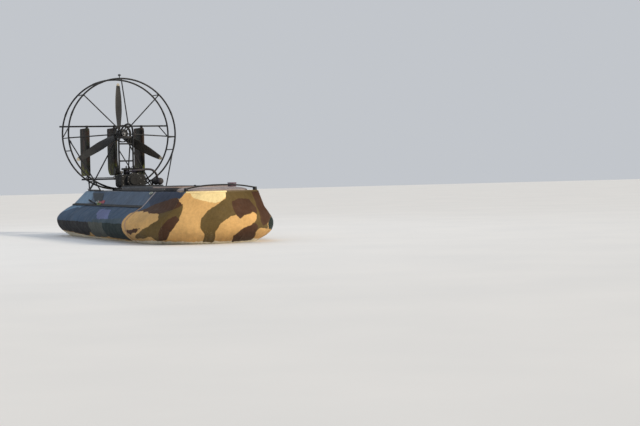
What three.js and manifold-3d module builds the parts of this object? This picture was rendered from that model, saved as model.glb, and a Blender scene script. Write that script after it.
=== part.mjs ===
// An open light hovercraft: a decked hull with a bag skirt, an engine on the after deck, a belt
// driven pusher propeller inside a guard of two hoops, and three rudders in its slipstream.
// Millimetres. The bow points along -Y, port is +X and up is +Z. The hem of the skirt and the
// landing skids are at Z = 0, and the origin is under the middle of the craft.
import * as THREE from 'three';
import { mergeVertices } from 'three/addons/utils/BufferGeometryUtils.js';
import Module from 'manifold-3d';

// Driving dimensions. "Ahead" is measured forward of the front guard hoop.
const RING_Y = 1725;
const DECK_Z = 650;
const RAIL_Z = 450;
const BOTTOM_Z = 120;
const SEAM_AHEAD = 3050;
const STERN_SPLIT_AHEAD = -250;
const BOW_SKIRT_THICK = 28;
const GAP = 0.3;

const SHAFT_Z = 1480;
const HOOP_RADIUS = 811;
const HOOP_TUBE = 12.5;
const HOOP_SPACING = 340;
const SPOKE_TUBE = 9;
const FRONT_BEARING_AHEAD = 62;
const REAR_BEARING_AHEAD = -78;
const BEARING_RADIUS = 45;
const BEARING_LENGTH = 44;
const SHAFT_RADIUS = 16;

const PROP_AHEAD = -170;
const PROP_RADIUS = 750;
const PROP_HUB_RADIUS = 62;
const PROP_HUB_LENGTH = 90;
const PROP_BLADES = 3;

const PULLEY_AHEAD = -10;
const DRIVEN_RADIUS = 122;
const DRIVE_RADIUS = 58;
const DRIVE_Z = 800;
const BELT_WIDTH = 46;
const BELT_THICK = 9;
const PULLEY_SIDES = 36;

const RUDDER_SPACING = 420;
const RUDDER_PIVOT_AHEAD = -420;
const RUDDER_NOSE = 75;
const RUDDER_CHORD = 455;
const RUDDER_THICK = 58;
const RUDDER_BOTTOM_Z = 872;
const RUDDER_TOP_Z = 1580;
const RUDDER_PIN = 9;
const BAR_TUBE = 12;
const TOP_BAR_Z = 1605;
const TOP_BAR_HALF = 834;
const BOTTOM_BAR_Z = 820;
const BOTTOM_BAR_HALF = 518;
const HORN_REACH = 90;
const HORN_Z = 852;
const TIE_ROD_Z = 842;

const COCKPIT_AFT = 1300;
const COCKPIT_FORE = 3450;
const COCKPIT_HALF = 415;
const COCKPIT_CORNER = 110;
const FLOOR_Z = 170;
const COAMING_WIDTH = 32;
const COAMING_TOP = 712;

const FAN_AHEAD = 940;
const DUCT_RADIUS = 275;
const FAN_RADIUS = 262;
const FAN_Z = 560;

const wasm = await Module();
wasm.setup();
const craft = new THREE.Group();

// Places along the craft

function along(ahead) {
  return RING_Y - ahead;
}

// Solids and meshes

function toSolid(geometry) {
  const bare = geometry.clone();
  bare.deleteAttribute('normal');
  bare.deleteAttribute('uv');
  const merged = mergeVertices(bare, 1e-3);
  const index = merged.index.array;
  const kept = [];
  for (let i = 0; i < index.length; i += 3) {
    const [a, b, c] = [index[i], index[i + 1], index[i + 2]];
    if (a !== b && b !== c && c !== a) kept.push(a, b, c);
  }
  const vertProperties = new Float32Array(merged.attributes.position.array);
  return new wasm.Manifold(new wasm.Mesh({ numProp: 3, vertProperties, triVerts: new Uint32Array(kept) }));
}

function toGeometry(solid) {
  const mesh = solid.getMesh();
  const geometry = new THREE.BufferGeometry();
  geometry.setAttribute('position', new THREE.BufferAttribute(mesh.vertProperties, 3));
  geometry.setIndex(new THREE.BufferAttribute(mesh.triVerts, 1));
  return geometry;
}

function join(...solids) {
  return solids.reduce((all, next) => all.add(next));
}

function addPart(name, solid, finish) {
  const geometry = toGeometry(solid);
  geometry.computeVertexNormals();
  const mesh = new THREE.Mesh(geometry, new THREE.MeshStandardMaterial(finish));
  mesh.name = name;
  craft.add(mesh);
  return mesh;
}

// Basic shapes

function block(low, high) {
  const size = high.map((value, axis) => value - low[axis]);
  const geometry = new THREE.BoxGeometry(...size);
  geometry.translate(...low.map((value, axis) => value + size[axis] / 2));
  return toSolid(geometry);
}

function rod(from, to, radius, sides = 10) {
  const start = new THREE.Vector3(...from);
  const end = new THREE.Vector3(...to);
  const reach = end.clone().sub(start);
  const geometry = new THREE.CylinderGeometry(radius, radius, reach.length(), sides);
  const turn = new THREE.Quaternion().setFromUnitVectors(new THREE.Vector3(0, 1, 0), reach.clone().normalize());
  geometry.applyQuaternion(turn);
  geometry.translate(...start.add(end).multiplyScalar(0.5).toArray());
  return toSolid(geometry);
}

function ball(centre, radius, sides = 12) {
  const geometry = new THREE.SphereGeometry(radius, sides, sides / 2 + 1);
  geometry.translate(...centre);
  return toSolid(geometry);
}

function roundPlate(radius, sides = 12) {
  const corners = [];
  for (let i = 0; i < sides; i += 1) {
    const angle = (2 * Math.PI * i) / sides;
    corners.push(new THREE.Vector2(radius * Math.cos(angle), radius * Math.sin(angle)));
  }
  return new THREE.Shape(corners);
}

function bentTube(points, radius, steps, sides = 8) {
  const path = new THREE.CatmullRomCurve3(points.map((p) => new THREE.Vector3(...p)), false, 'centripetal');
  return toSolid(new THREE.ExtrudeGeometry(roundPlate(radius, sides), { extrudePath: path, steps, bevelEnabled: false }));
}

// A closed profile of [radius, offset] pairs turned about a line through centre.
function turned(profile, centre, axis, segments = 24) {
  const points = profile.map(([radius, offset]) => new THREE.Vector2(radius, offset));
  const geometry = new THREE.LatheGeometry(points, segments);
  if (axis === 'z') geometry.rotateX(Math.PI / 2);
  geometry.translate(...centre);
  return toSolid(geometry);
}

function disc(radius, length, centre, axis, segments = 24) {
  const half = length / 2;
  return turned([[0, -half], [radius, -half], [radius, half], [0, half]], centre, axis, segments);
}

function collar(inner, outer, length, centre, axis, segments = 24) {
  const half = length / 2;
  const profile = [[inner, -half], [outer, -half], [outer, half], [inner, half], [inner, -half]];
  return turned(profile, centre, axis, segments);
}

function hoop(ahead, tube, sides = 8, segments = 56) {
  const profile = [];
  for (let i = 0; i <= sides; i += 1) {
    const angle = (2 * Math.PI * i) / sides;
    profile.push([HOOP_RADIUS + tube * Math.cos(angle), tube * Math.sin(angle)]);
  }
  return turned(profile, [0, along(ahead), SHAFT_Z], 'y', segments);
}

// An outline of [ahead, z] corners, given thickness across the craft.
function slabAcross(corners, xLow, xHigh) {
  const shape = new THREE.Shape(corners.map(([ahead, z]) => new THREE.Vector2(along(ahead), z)));
  const geometry = new THREE.ExtrudeGeometry(shape, { depth: xHigh - xLow, bevelEnabled: false });
  geometry.rotateY(Math.PI / 2);
  geometry.rotateX(Math.PI / 2);
  geometry.translate(xLow, 0, 0);
  return toSolid(geometry);
}

// A shape across the craft, [x, z], given length along it.
function slabAlong(shape, aheadLow, aheadHigh) {
  const geometry = new THREE.ExtrudeGeometry(shape, { depth: aheadHigh - aheadLow, bevelEnabled: false, curveSegments: 4 });
  geometry.rotateX(Math.PI / 2);
  geometry.translate(0, along(aheadLow), 0);
  return toSolid(geometry);
}

function flatPlate(shape, zLow, zHigh) {
  const geometry = new THREE.ExtrudeGeometry(shape, { depth: zHigh - zLow, bevelEnabled: false, curveSegments: 6 });
  geometry.translate(0, 0, zLow);
  return toSolid(geometry);
}

// Loops of points joined in order, the first and the last closed by fans about their middles.
function loft(loops) {
  const count = loops[0].length;
  const position = loops.flat(2);
  const index = [];
  const corner = (level, i) => level * count + (i % count);
  for (let level = 0; level + 1 < loops.length; level += 1) {
    for (let i = 0; i < count; i += 1) {
      index.push(corner(level, i), corner(level, i + 1), corner(level + 1, i + 1));
      index.push(corner(level, i), corner(level + 1, i + 1), corner(level + 1, i));
    }
  }
  [0, loops.length - 1].forEach((level, end) => {
    const middle = [0, 1, 2].map((axis) => loops[level].reduce((sum, p) => sum + p[axis], 0) / count);
    const hub = position.push(...middle) / 3 - 1;
    for (let i = 0; i < count; i += 1) {
      const [a, b] = end ? [corner(level, i), corner(level, i + 1)] : [corner(level, i + 1), corner(level, i)];
      index.push(a, b, hub);
    }
  });
  let volume = 0;
  const at = (i) => new THREE.Vector3(...position.slice(3 * i, 3 * i + 3));
  for (let i = 0; i < index.length; i += 3) {
    volume += at(index[i]).dot(at(index[i + 1]).cross(at(index[i + 2])));
  }
  if (volume < 0) index.reverse();
  const geometry = new THREE.BufferGeometry();
  geometry.setAttribute('position', new THREE.Float32BufferAttribute(position, 3));
  geometry.setIndex(index);
  return toSolid(geometry);
}

// Plan outlines. Each runs from the middle of the stern round to the middle of the bow on the port
// side: a rounded stern corner, a straight side as far as the seam, a curve to the crease that
// falls from the corner of the bow deck, and a curve to the nose.
// Columns: half beam, stern, corner radius, then [half, ahead] of the bend before the crease, of
// the crease, and of the bend after it, and the nose.
const PLAN = {
  deck: { half: 500, stern: -450, corner: 220, bend: [498, 3600], crease: [487, 4150], turn: [250, 4172], nose: 4172 },
  wide: { half: 920, stern: -800, corner: 500, bend: [925, 3700], crease: [720, 3960], turn: [400, 4250], nose: 4250 },
  hem: { half: 740, stern: -640, corner: 420, bend: [745, 3450], crease: [620, 3690], turn: [360, 4030], nose: 4030 },
  keel: { half: 560, stern: -520, corner: 240, bend: [556, 3350], crease: [430, 3700], turn: [240, 3800], nose: 3800 },
};
const CORNER_STEPS = 7;
const SIDE_STEPS = 3;
const BEND_STEPS = 9;
const FRONT_STEPS = 7;
const BOW_START = CORNER_STEPS + 1 + SIDE_STEPS;

function halfOutline(plan) {
  const points = [[0, plan.stern]];
  for (let i = 0; i <= CORNER_STEPS; i += 1) {
    const angle = (Math.PI / 2) * (i / CORNER_STEPS);
    const inset = plan.corner * (1 - Math.sin(angle));
    points.push([plan.half - inset, plan.stern + plan.corner * (1 - Math.cos(angle))]);
  }
  const sideStart = plan.stern + plan.corner;
  for (let i = 1; i <= SIDE_STEPS; i += 1) {
    points.push([plan.half, sideStart + ((SEAM_AHEAD - sideStart) * i) / SIDE_STEPS]);
  }
  const at = ([half, ahead]) => new THREE.Vector2(half, ahead);
  const seam = new THREE.Vector2(plan.half, SEAM_AHEAD);
  const side = new THREE.QuadraticBezierCurve(seam, at(plan.bend), at(plan.crease));
  const front = new THREE.QuadraticBezierCurve(at(plan.crease), at(plan.turn), at([0, plan.nose]));
  side.getPoints(BEND_STEPS).slice(1).forEach((p) => points.push([p.x, p.y]));
  front.getPoints(FRONT_STEPS).slice(1).forEach((p) => points.push([p.x, p.y]));
  return points;
}

function blendOutline(first, second, share) {
  return first.map(([half, ahead], i) => [
    half + (second[i][0] - half) * share,
    ahead + (second[i][1] - ahead) * share,
  ]);
}

// Moves every point outwards along the outline's normal, and those of the bow by bowGrow as well.
function grown(outline, grow, bowGrow = 0) {
  return outline.map(([half, ahead], i) => {
    const before = outline[Math.max(i - 1, 0)];
    const after = outline[Math.min(i + 1, outline.length - 1)];
    const slope = new THREE.Vector2(after[0] - before[0], after[1] - before[1]).normalize();
    const middle = i === 0 || i === outline.length - 1;
    const normal = middle ? new THREE.Vector2(0, i === 0 ? -1 : 1) : new THREE.Vector2(slope.y, -slope.x);
    const reach = grow + (i > BOW_START ? bowGrow : 0);
    return [middle ? 0 : half + normal.x * reach, ahead + normal.y * reach];
  });
}

function ringAt(outline, z) {
  const port = outline.map(([half, ahead]) => [half, along(ahead), z]);
  const starboard = outline.slice(1, -1).reverse().map(([half, ahead]) => [-half, along(ahead), z]);
  return [...port, ...starboard];
}

const deckLine = halfOutline(PLAN.deck);
const wideLine = halfOutline(PLAN.wide);
const hemLine = halfOutline(PLAN.hem);
const keelLine = halfOutline(PLAN.keel);

// The outside of the craft in section. Columns: height, share of the way from the deck edge out to
// the widest line above it, or from there in to the hem below it.
const ABOVE_WIDE = [[650, 0], [550, 0.226], [450, 0.452], [400, 0.66], [340, 0.86], [290, 0.965], [250, 1]];
const BELOW_WIDE = [[200, 0.02], [140, 0.14], [80, 0.42], [30, 0.78], [0, 1]];
const RAIL_SHARE = 0.452;
const railLine = blendOutline(deckLine, wideLine, RAIL_SHARE);

function outside(topZ) {
  const above = ABOVE_WIDE.filter(([z]) => z <= topZ).map(([z, share]) => ringAt(blendOutline(deckLine, wideLine, share), z));
  const below = BELOW_WIDE.map(([z, share]) => ringAt(blendOutline(wideLine, hemLine, share), z));
  return loft([...above, ...below]);
}

function stretch(aftAhead, foreAhead, xLow = -2000, xHigh = 2000) {
  return block([xLow, along(foreAhead), -50], [xHigh, along(aftAhead), 1000]);
}

// Hull, deck moulding and cockpit

const CAMO = { color: 0x6b6a58, roughness: 0.7, metalness: 0 };
const BLACK_STEEL = { color: 0x17181a, roughness: 0.5, metalness: 0.6 };
const BLACK_RUBBER = { color: 0x121212, roughness: 0.85, metalness: 0 };

function hullBody(lowZ, highZ, grow) {
  const keel = grown(keelLine, grow);
  const rail = grown(railLine, grow, -BOW_SKIRT_THICK);
  const edge = grown(deckLine, grow, -BOW_SKIRT_THICK);
  const levels = [ringAt(keel, BOTTOM_Z), ringAt(rail, RAIL_Z), ringAt(edge, DECK_Z)];
  if (grow > 0) {
    levels.unshift(ringAt(keel, BOTTOM_Z - grow));
    levels.push(ringAt(edge, DECK_Z + grow));
  }
  return loft(levels).intersect(block([-2000, -4000, lowZ], [2000, 4000, highZ]));
}

function roundedPlan(half, aft, fore, corner) {
  const shape = new THREE.Shape();
  const [near, far] = [along(fore), along(aft)];
  shape.moveTo(-half + corner, near);
  shape.lineTo(half - corner, near);
  shape.absarc(half - corner, near + corner, corner, -Math.PI / 2, 0, false);
  shape.absarc(half - corner, far - corner, corner, 0, Math.PI / 2, false);
  shape.absarc(-half + corner, far - corner, corner, Math.PI / 2, Math.PI, false);
  shape.absarc(-half + corner, near + corner, corner, Math.PI, 1.5 * Math.PI, false);
  return shape;
}

const cockpitWell = flatPlate(roundedPlan(COCKPIT_HALF, COCKPIT_AFT, COCKPIT_FORE, COCKPIT_CORNER), FLOOR_Z, 900);
const ductBore = disc(DUCT_RADIUS, 1200, [0, along(FAN_AHEAD), 400], 'z', 32);
const hullSpaces = join(cockpitWell, ductBore);

addPart('hull', hullBody(0, RAIL_Z - GAP / 2, 0).subtract(hullSpaces), CAMO);
addPart('deck', hullBody(RAIL_Z + GAP / 2, 900, 0).subtract(hullSpaces), CAMO);

const coamingOuter = roundedPlan(
  COCKPIT_HALF + COAMING_WIDTH, COCKPIT_AFT - COAMING_WIDTH, COCKPIT_FORE + COAMING_WIDTH, COCKPIT_CORNER + COAMING_WIDTH,
);
const coaming = flatPlate(coamingOuter, DECK_Z + GAP, COAMING_TOP).subtract(cockpitWell);
addPart('cockpit_coaming', coaming, { color: 0x2b2c2c, roughness: 0.8 });

// Skirt

const SKIRT_SEAT = 0.6;
const hullHollow = hullBody(0, 900, SKIRT_SEAT);
const chamber = loft([
  ringAt(grown(hemLine, -60), -1),
  ringAt(grown(keelLine, -8), BOTTOM_Z + 5),
]);
const skirtSpaces = join(hullHollow, chamber);

const bowSkirt = outside(DECK_Z).intersect(stretch(SEAM_AHEAD + GAP, 5000)).subtract(skirtSpaces);
addPart('skirt_bow', bowSkirt, { ...CAMO, color: 0x9a7f55 });

const sideSkirts = outside(RAIL_Z).subtract(skirtSpaces);
for (const [name, xLow, xHigh] of [['port', 0, 2000], ['starboard', -2000, 0]]) {
  const panel = sideSkirts.intersect(stretch(STERN_SPLIT_AHEAD, SEAM_AHEAD, xLow, xHigh));
  addPart(`skirt_${name}`, panel, { ...CAMO, color: 0x5f6672 });
}
addPart('skirt_stern', sideSkirts.intersect(stretch(-2000, STERN_SPLIT_AHEAD - GAP)), { ...CAMO, color: 0x5f6672 });

// Rub rail along the joint of hull and deck, from the seam round the stern to the other seam

const RAIL_PROUD = 16;
const RAIL_HEIGHT = 30;
const railBand = loft([
  ringAt(grown(railLine, RAIL_PROUD), RAIL_Z + 2 * GAP),
  ringAt(grown(railLine, RAIL_PROUD), RAIL_Z + RAIL_HEIGHT * 0.6),
  ringAt(grown(railLine, RAIL_PROUD - 30), RAIL_Z + RAIL_HEIGHT),
]);
addPart('rub_rail', railBand.intersect(stretch(-2000, SEAM_AHEAD)).subtract(hullBody(0, 900, 2 * GAP)), BLACK_RUBBER);

// Landing skids under the hull

const SKID_X = 260;
const SKID_WIDTH = 64;
const skidProfile = [[60, BOTTOM_Z - GAP], [160, 0], [2700, 0], [2860, BOTTOM_Z - GAP]];
for (const [name, side] of [['port', 1], ['starboard', -1]]) {
  const centre = side * SKID_X;
  const skid = slabAcross(skidProfile, centre - SKID_WIDTH / 2, centre + SKID_WIDTH / 2);
  addPart(`landing_skid_${name}`, skid, { color: 0x3a3a38, roughness: 0.7 });
}

// Propeller guard

const frontHoopClear = hoop(0, HOOP_TUBE + GAP);
const hoopsClear = join(frontHoopClear, hoop(-HOOP_SPACING, HOOP_TUBE + GAP));
const CROSSBAR_TUBE = 8;
const CROSSBAR_DEGREES = [-3.6, 45, 90, 135, 183.6, 197, 238, 302, 343];

function onHoop(degrees, ahead, radius = HOOP_RADIUS) {
  const angle = THREE.MathUtils.degToRad(degrees);
  return [radius * Math.cos(angle), along(ahead), SHAFT_Z + radius * Math.sin(angle)];
}

const crossbarsOf = (radius) => CROSSBAR_DEGREES.map(
  (degrees) => rod(onHoop(degrees, 0), onHoop(degrees, -HOOP_SPACING), radius, 8),
);
addPart('guard_hoop_front', hoop(0, HOOP_TUBE), BLACK_STEEL);
const backHoop = join(hoop(-HOOP_SPACING, HOOP_TUBE), ...crossbarsOf(CROSSBAR_TUBE));
addPart('guard_hoop_back', backHoop.subtract(frontHoopClear), BLACK_STEEL);
const guardClear = join(hoopsClear, ...crossbarsOf(CROSSBAR_TUBE + GAP));

// The spokes meet in a ring round the after end of the front bearing.
const SPIDER_INNER = BEARING_RADIUS + GAP;
const SPIDER_OUTER = 66;
const SPIDER_LENGTH = 16;
const SPIDER_AHEAD = FRONT_BEARING_AHEAD - (BEARING_LENGTH - SPIDER_LENGTH) / 2;
const SPOKE_DEGREES = [-3.6, 45, 135, 183.6];
const spiderCentre = [0, along(SPIDER_AHEAD), SHAFT_Z];
const spokes = SPOKE_DEGREES.map((degrees) => rod(
  onHoop(degrees, 0), onHoop(degrees, SPIDER_AHEAD, SPIDER_OUTER - 6), SPOKE_TUBE, 8,
));
const spider = join(collar(SPIDER_INNER, SPIDER_OUTER, SPIDER_LENGTH, spiderCentre, 'y', 32), ...spokes);
addPart('guard_spokes', spider.subtract(guardClear), BLACK_STEEL);

const LIGHT_AHEAD = -90;
const LIGHT_TOP_Z = 2362;
const LIGHT_CAP_HEIGHT = 22;
const lightPoint = (z) => [0, along(LIGHT_AHEAD), z];
const lightStem = rod(lightPoint(SHAFT_Z + HOOP_RADIUS), lightPoint(LIGHT_TOP_Z - LIGHT_CAP_HEIGHT), 7, 8);
const lightCap = turned([[0, 0], [9, 0], [23, 12], [23, LIGHT_CAP_HEIGHT], [0, LIGHT_CAP_HEIGHT]], lightPoint(LIGHT_TOP_Z - LIGHT_CAP_HEIGHT), 'z', 16);
addPart('top_light', join(lightStem, lightCap).subtract(guardClear), { color: 0x202020, roughness: 0.4 });

// Bearings, pylon and struts

const shaftClear = disc(SHAFT_RADIUS + 0.5, 900, [0, along(100), SHAFT_Z], 'y', 24);

function bearing(ahead) {
  return disc(BEARING_RADIUS, BEARING_LENGTH, [0, along(ahead), SHAFT_Z], 'y', 32).subtract(shaftClear);
}
addPart('bearing_front', bearing(FRONT_BEARING_AHEAD), BLACK_STEEL);
addPart('bearing_rear', bearing(REAR_BEARING_AHEAD), BLACK_STEEL);
const bearingsClear = join(...[FRONT_BEARING_AHEAD, REAR_BEARING_AHEAD].map(
  (ahead) => disc(BEARING_RADIUS + GAP, BEARING_LENGTH + 2 * GAP, [0, along(ahead), SHAFT_Z], 'y', 32),
));

// The pylon is an arch that leans forward over the shaft, with a saddle under the front bearing and
// a stay from its crown up to the front hoop. Columns: x, ahead, height.
const LEG_X = 106;
const PYLON_AHEAD = 150;
const PYLON_TUBE = 13;
const PYLON_FOOT_Z = DECK_Z + GAP;
const PYLON_CROWN = [0, 292, 1612];
const PYLON_SHOULDER = [
  [LEG_X, PYLON_AHEAD, PYLON_FOOT_Z], [LEG_X, PYLON_AHEAD, 900], [LEG_X, PYLON_AHEAD, 1260],
  [105, 166, 1400], [92, 208, 1500], [58, 262, 1580],
];
const pylonPath = [
  ...PYLON_SHOULDER.map(([x, ahead, z]) => [-x, along(ahead), z]),
  [PYLON_CROWN[0], along(PYLON_CROWN[1]), PYLON_CROWN[2]],
  ...PYLON_SHOULDER.toReversed().map(([x, ahead, z]) => [x, along(ahead), z]),
];
const pylonPoint = (x, z) => [x, along(PYLON_AHEAD), z];
const SADDLE_Z = SHAFT_Z - BEARING_RADIUS - 14;
const PYLON_CROSS_Z = [1080, 1330];
const pylonArch = bentTube(pylonPath, PYLON_TUBE, 48);
const pylonBars = PYLON_CROSS_Z.map((z) => rod(pylonPoint(-LEG_X, z), pylonPoint(LEG_X, z), PYLON_TUBE - 2));
const pylonBrace = rod(pylonPoint(-LEG_X, 1240), pylonPoint(LEG_X * 0.6, 960), 8, 8);
const pylonTie = rod(pylonPoint(LEG_X, 960), pylonPoint(0, 960), 9, 8);
const pylonSaddle = block(
  [-LEG_X, along(PYLON_AHEAD + 22), SADDLE_Z - 14],
  [LEG_X, along(SPIDER_AHEAD + SPIDER_LENGTH / 2 + GAP), SHAFT_Z - BEARING_RADIUS + 4],
);
const pylonStay = rod(
  [PYLON_CROWN[0], along(PYLON_CROWN[1]), PYLON_CROWN[2]], onHoop(90, 0), SPOKE_TUBE, 8,
);
const pylonFeet = [-LEG_X, LEG_X].map((x) => block(
  [x - 40, along(PYLON_AHEAD) - 50, PYLON_FOOT_Z], [x + 40, along(PYLON_AHEAD) + 50, PYLON_FOOT_Z + 8],
));
const shaftWay = disc(SHAFT_RADIUS + 6, 900, [0, along(100), SHAFT_Z], 'y', 24);
const pylon = join(pylonArch, ...pylonBars, pylonBrace, pylonTie, pylonSaddle, pylonStay, ...pylonFeet);
addPart('pylon', pylon.subtract(join(bearingsClear, guardClear)), BLACK_STEEL);

const FOOT_X = 490;
const FOOT_AHEAD = -100;
const FORE_FOOT_AHEAD = 470;
const STRUT_TUBE = 10;
const STRUT_DEGREES = 302;
const SIDE_STAY_DEGREES = 5;
const deckTop = block([-2000, -4000, 0], [2000, 4000, DECK_Z + GAP]);
const strutSpaces = join(guardClear, bearingsClear, shaftWay, deckTop);
for (const [name, side] of [['port', 1], ['starboard', -1]]) {
  const degrees = side > 0 ? STRUT_DEGREES : 540 - STRUT_DEGREES;
  const footZ = DECK_Z + GAP + 12;
  const foot = [side * FOOT_X, along(FOOT_AHEAD), footZ];
  const foreFoot = [side * FOOT_X, along(FORE_FOOT_AHEAD), footZ];
  const bearingPoint = [side * 40, along(REAR_BEARING_AHEAD), SHAFT_Z - 25];
  const pads = [foot, foreFoot].map(([x, y]) => block(
    [Math.min(x - side * 45, x), y - 40, DECK_Z + GAP], [Math.max(x - side * 45, x), y + 40, footZ],
  ));
  const frame = join(
    ...pads,
    rod(foot, foreFoot, STRUT_TUBE, 8),
    rod(foot, onHoop(degrees, 0), STRUT_TUBE, 8),
    rod(foot, onHoop(degrees, -HOOP_SPACING), STRUT_TUBE, 8),
    rod(foot, bearingPoint, STRUT_TUBE, 8),
    rod(foreFoot, onHoop(side > 0 ? -SIDE_STAY_DEGREES : 180 + SIDE_STAY_DEGREES, 0), STRUT_TUBE - 1, 8),
  );
  addPart(`guard_strut_${name}`, frame.subtract(strutSpaces), BLACK_STEEL);
}

// Propeller, its shaft and the driven pulley

// Blade sections. Columns: radius, chord, thickness, pitch in degrees.
const BLADE = [[40, 70, 34, 50], [150, 120, 24, 44], [330, 138, 17, 30], [540, 112, 12, 21], [PROP_RADIUS, 52, 6, 15]];
const BLADE_SECTION = [[-0.5, 0], [-0.3, 0.42], [0.05, 0.5], [0.5, 0.06], [0.5, -0.06], [0.05, -0.5], [-0.3, -0.42]];

function blade(turn) {
  const loops = BLADE.map(([radius, chord, thick, pitch]) => {
    const lean = THREE.MathUtils.degToRad(pitch);
    return BLADE_SECTION.map(([c, t]) => {
      const across = c * chord;
      const deep = t * thick;
      const x = across * Math.cos(lean) - deep * Math.sin(lean);
      const y = across * Math.sin(lean) + deep * Math.cos(lean);
      const point = new THREE.Vector3(x, y, radius);
      point.applyAxisAngle(new THREE.Vector3(0, 1, 0), turn);
      return [point.x, point.y + along(PROP_AHEAD), point.z + SHAFT_Z];
    });
  });
  return loft(loops);
}

const propHub = disc(PROP_HUB_RADIUS, PROP_HUB_LENGTH, [0, along(PROP_AHEAD), SHAFT_Z], 'y', 28);
const spinner = turned([[0, -50], [40, -45], [30, 30], [0, 44]], [0, along(PROP_AHEAD) + 60, SHAFT_Z], 'y', 24);
const blades = Array.from({ length: PROP_BLADES }, (_, i) => blade((2 * Math.PI * i) / PROP_BLADES));
addPart('propeller', join(propHub, spinner, ...blades), { color: 0x1b1b1b, roughness: 0.45 });

const shaftAft = PROP_AHEAD + PROP_HUB_LENGTH / 2 + GAP;
const shaftFore = FRONT_BEARING_AHEAD + 34;
addPart('prop_shaft', rod([0, along(shaftAft), SHAFT_Z], [0, along(shaftFore), SHAFT_Z], SHAFT_RADIUS, 20), {
  color: 0x8a8d90, roughness: 0.35, metalness: 0.9,
});

function pulleyWheel(radius, hubRadius, boreRadius, z, spokeCount) {
  const centre = [0, along(PULLEY_AHEAD), z];
  const rim = collar(radius - 12, radius, BELT_WIDTH + 8, centre, 'y', PULLEY_SIDES);
  const hub = disc(hubRadius, BELT_WIDTH + 14, centre, 'y', PULLEY_SIDES);
  const arms = Array.from({ length: spokeCount }, (_, i) => {
    const angle = (2 * Math.PI * i) / spokeCount;
    const reach = radius - 6;
    return rod(centre, [reach * Math.cos(angle), centre[1], z + reach * Math.sin(angle)], 9, 8);
  });
  const wheel = join(rim, hub, ...arms);
  return boreRadius ? wheel.subtract(disc(boreRadius, 400, centre, 'y', 24)) : wheel;
}
addPart('driven_pulley', pulleyWheel(DRIVEN_RADIUS, 34, SHAFT_RADIUS + GAP, SHAFT_Z, 6), BLACK_STEEL);

const DRIVE_STUB_AHEAD = 84;
const DRIVE_STUB_RADIUS = 15;
const driveSolid = disc(DRIVE_RADIUS, BELT_WIDTH + 8, [0, along(PULLEY_AHEAD), DRIVE_Z], 'y', PULLEY_SIDES);
const driveStub = rod([0, along(PULLEY_AHEAD), DRIVE_Z], [0, along(DRIVE_STUB_AHEAD), DRIVE_Z], DRIVE_STUB_RADIUS, 20);
addPart('drive_pulley', join(driveSolid, driveStub), BLACK_STEEL);

function beltOutline(extra) {
  const lower = DRIVE_RADIUS + extra;
  const upper = DRIVEN_RADIUS + extra;
  const lean = Math.asin((upper - lower) / (SHAFT_Z - DRIVE_Z));
  const steps = PULLEY_SIDES / 2;
  const shape = [];
  for (let i = 0; i <= steps; i += 1) {
    const angle = -lean + ((Math.PI + 2 * lean) * i) / steps;
    shape.push(new THREE.Vector2(upper * Math.cos(angle), SHAFT_Z + upper * Math.sin(angle)));
  }
  for (let i = 0; i <= steps; i += 1) {
    const angle = Math.PI + lean + ((Math.PI - 2 * lean) * i) / steps;
    shape.push(new THREE.Vector2(lower * Math.cos(angle), DRIVE_Z + lower * Math.sin(angle)));
  }
  return shape;
}
const beltShape = new THREE.Shape(beltOutline(BELT_THICK));
beltShape.holes.push(new THREE.Path(beltOutline(1.1)));
const beltGeometry = new THREE.ExtrudeGeometry(beltShape, { depth: BELT_WIDTH, bevelEnabled: false });
beltGeometry.rotateX(Math.PI / 2);
beltGeometry.translate(0, along(PULLEY_AHEAD) + BELT_WIDTH / 2, 0);
addPart('drive_belt', toSolid(beltGeometry), BLACK_RUBBER);

// Rudders, their bars and the tie rod

const barStubs = (half, z) => [-1, 1].map((side) => {
  const reach = Math.sqrt(HOOP_RADIUS ** 2 - (SHAFT_Z - z) ** 2);
  const x = side * Math.min(half - 10, reach);
  return rod([x, along(-HOOP_SPACING), z], [x, along(RUDDER_PIVOT_AHEAD), z], 10, 8);
});
const topBar = rod([-TOP_BAR_HALF, along(RUDDER_PIVOT_AHEAD), TOP_BAR_Z], [TOP_BAR_HALF, along(RUDDER_PIVOT_AHEAD), TOP_BAR_Z], BAR_TUBE, 12);
const topDiagonals = [-1, 1].map((side) => rod(
  [side * 690, along(RUDDER_PIVOT_AHEAD), TOP_BAR_Z], onHoop(side > 0 ? -2 : 182, -HOOP_SPACING), 8, 8,
));
const bars = join(topBar, ...barStubs(TOP_BAR_HALF, TOP_BAR_Z), ...topDiagonals);
addPart('rudder_bar_top', bars.subtract(hoopsClear), BLACK_STEEL);

const bottomBar = rod(
  [-BOTTOM_BAR_HALF, along(RUDDER_PIVOT_AHEAD), BOTTOM_BAR_Z], [BOTTOM_BAR_HALF, along(RUDDER_PIVOT_AHEAD), BOTTOM_BAR_Z], BAR_TUBE, 12,
);
addPart('rudder_bar_bottom', join(bottomBar, ...barStubs(BOTTOM_BAR_HALF, BOTTOM_BAR_Z)).subtract(hoopsClear), BLACK_STEEL);

// Rudder section. Columns: share of the chord behind the nose, share of the thickness.
const RUDDER_SECTION = [[0, 0.3], [0.03, 0.75], [0.12, 1], [0.35, 0.95], [0.7, 0.55], [1, 0.12]];
const RUDDER_FINISH = { color: 0x1c1c1b, roughness: 0.7 };

const RUDDER_FORE = RUDDER_PIVOT_AHEAD + RUDDER_NOSE;
const RUDDER_AFT = RUDDER_FORE - RUDDER_CHORD;

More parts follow.
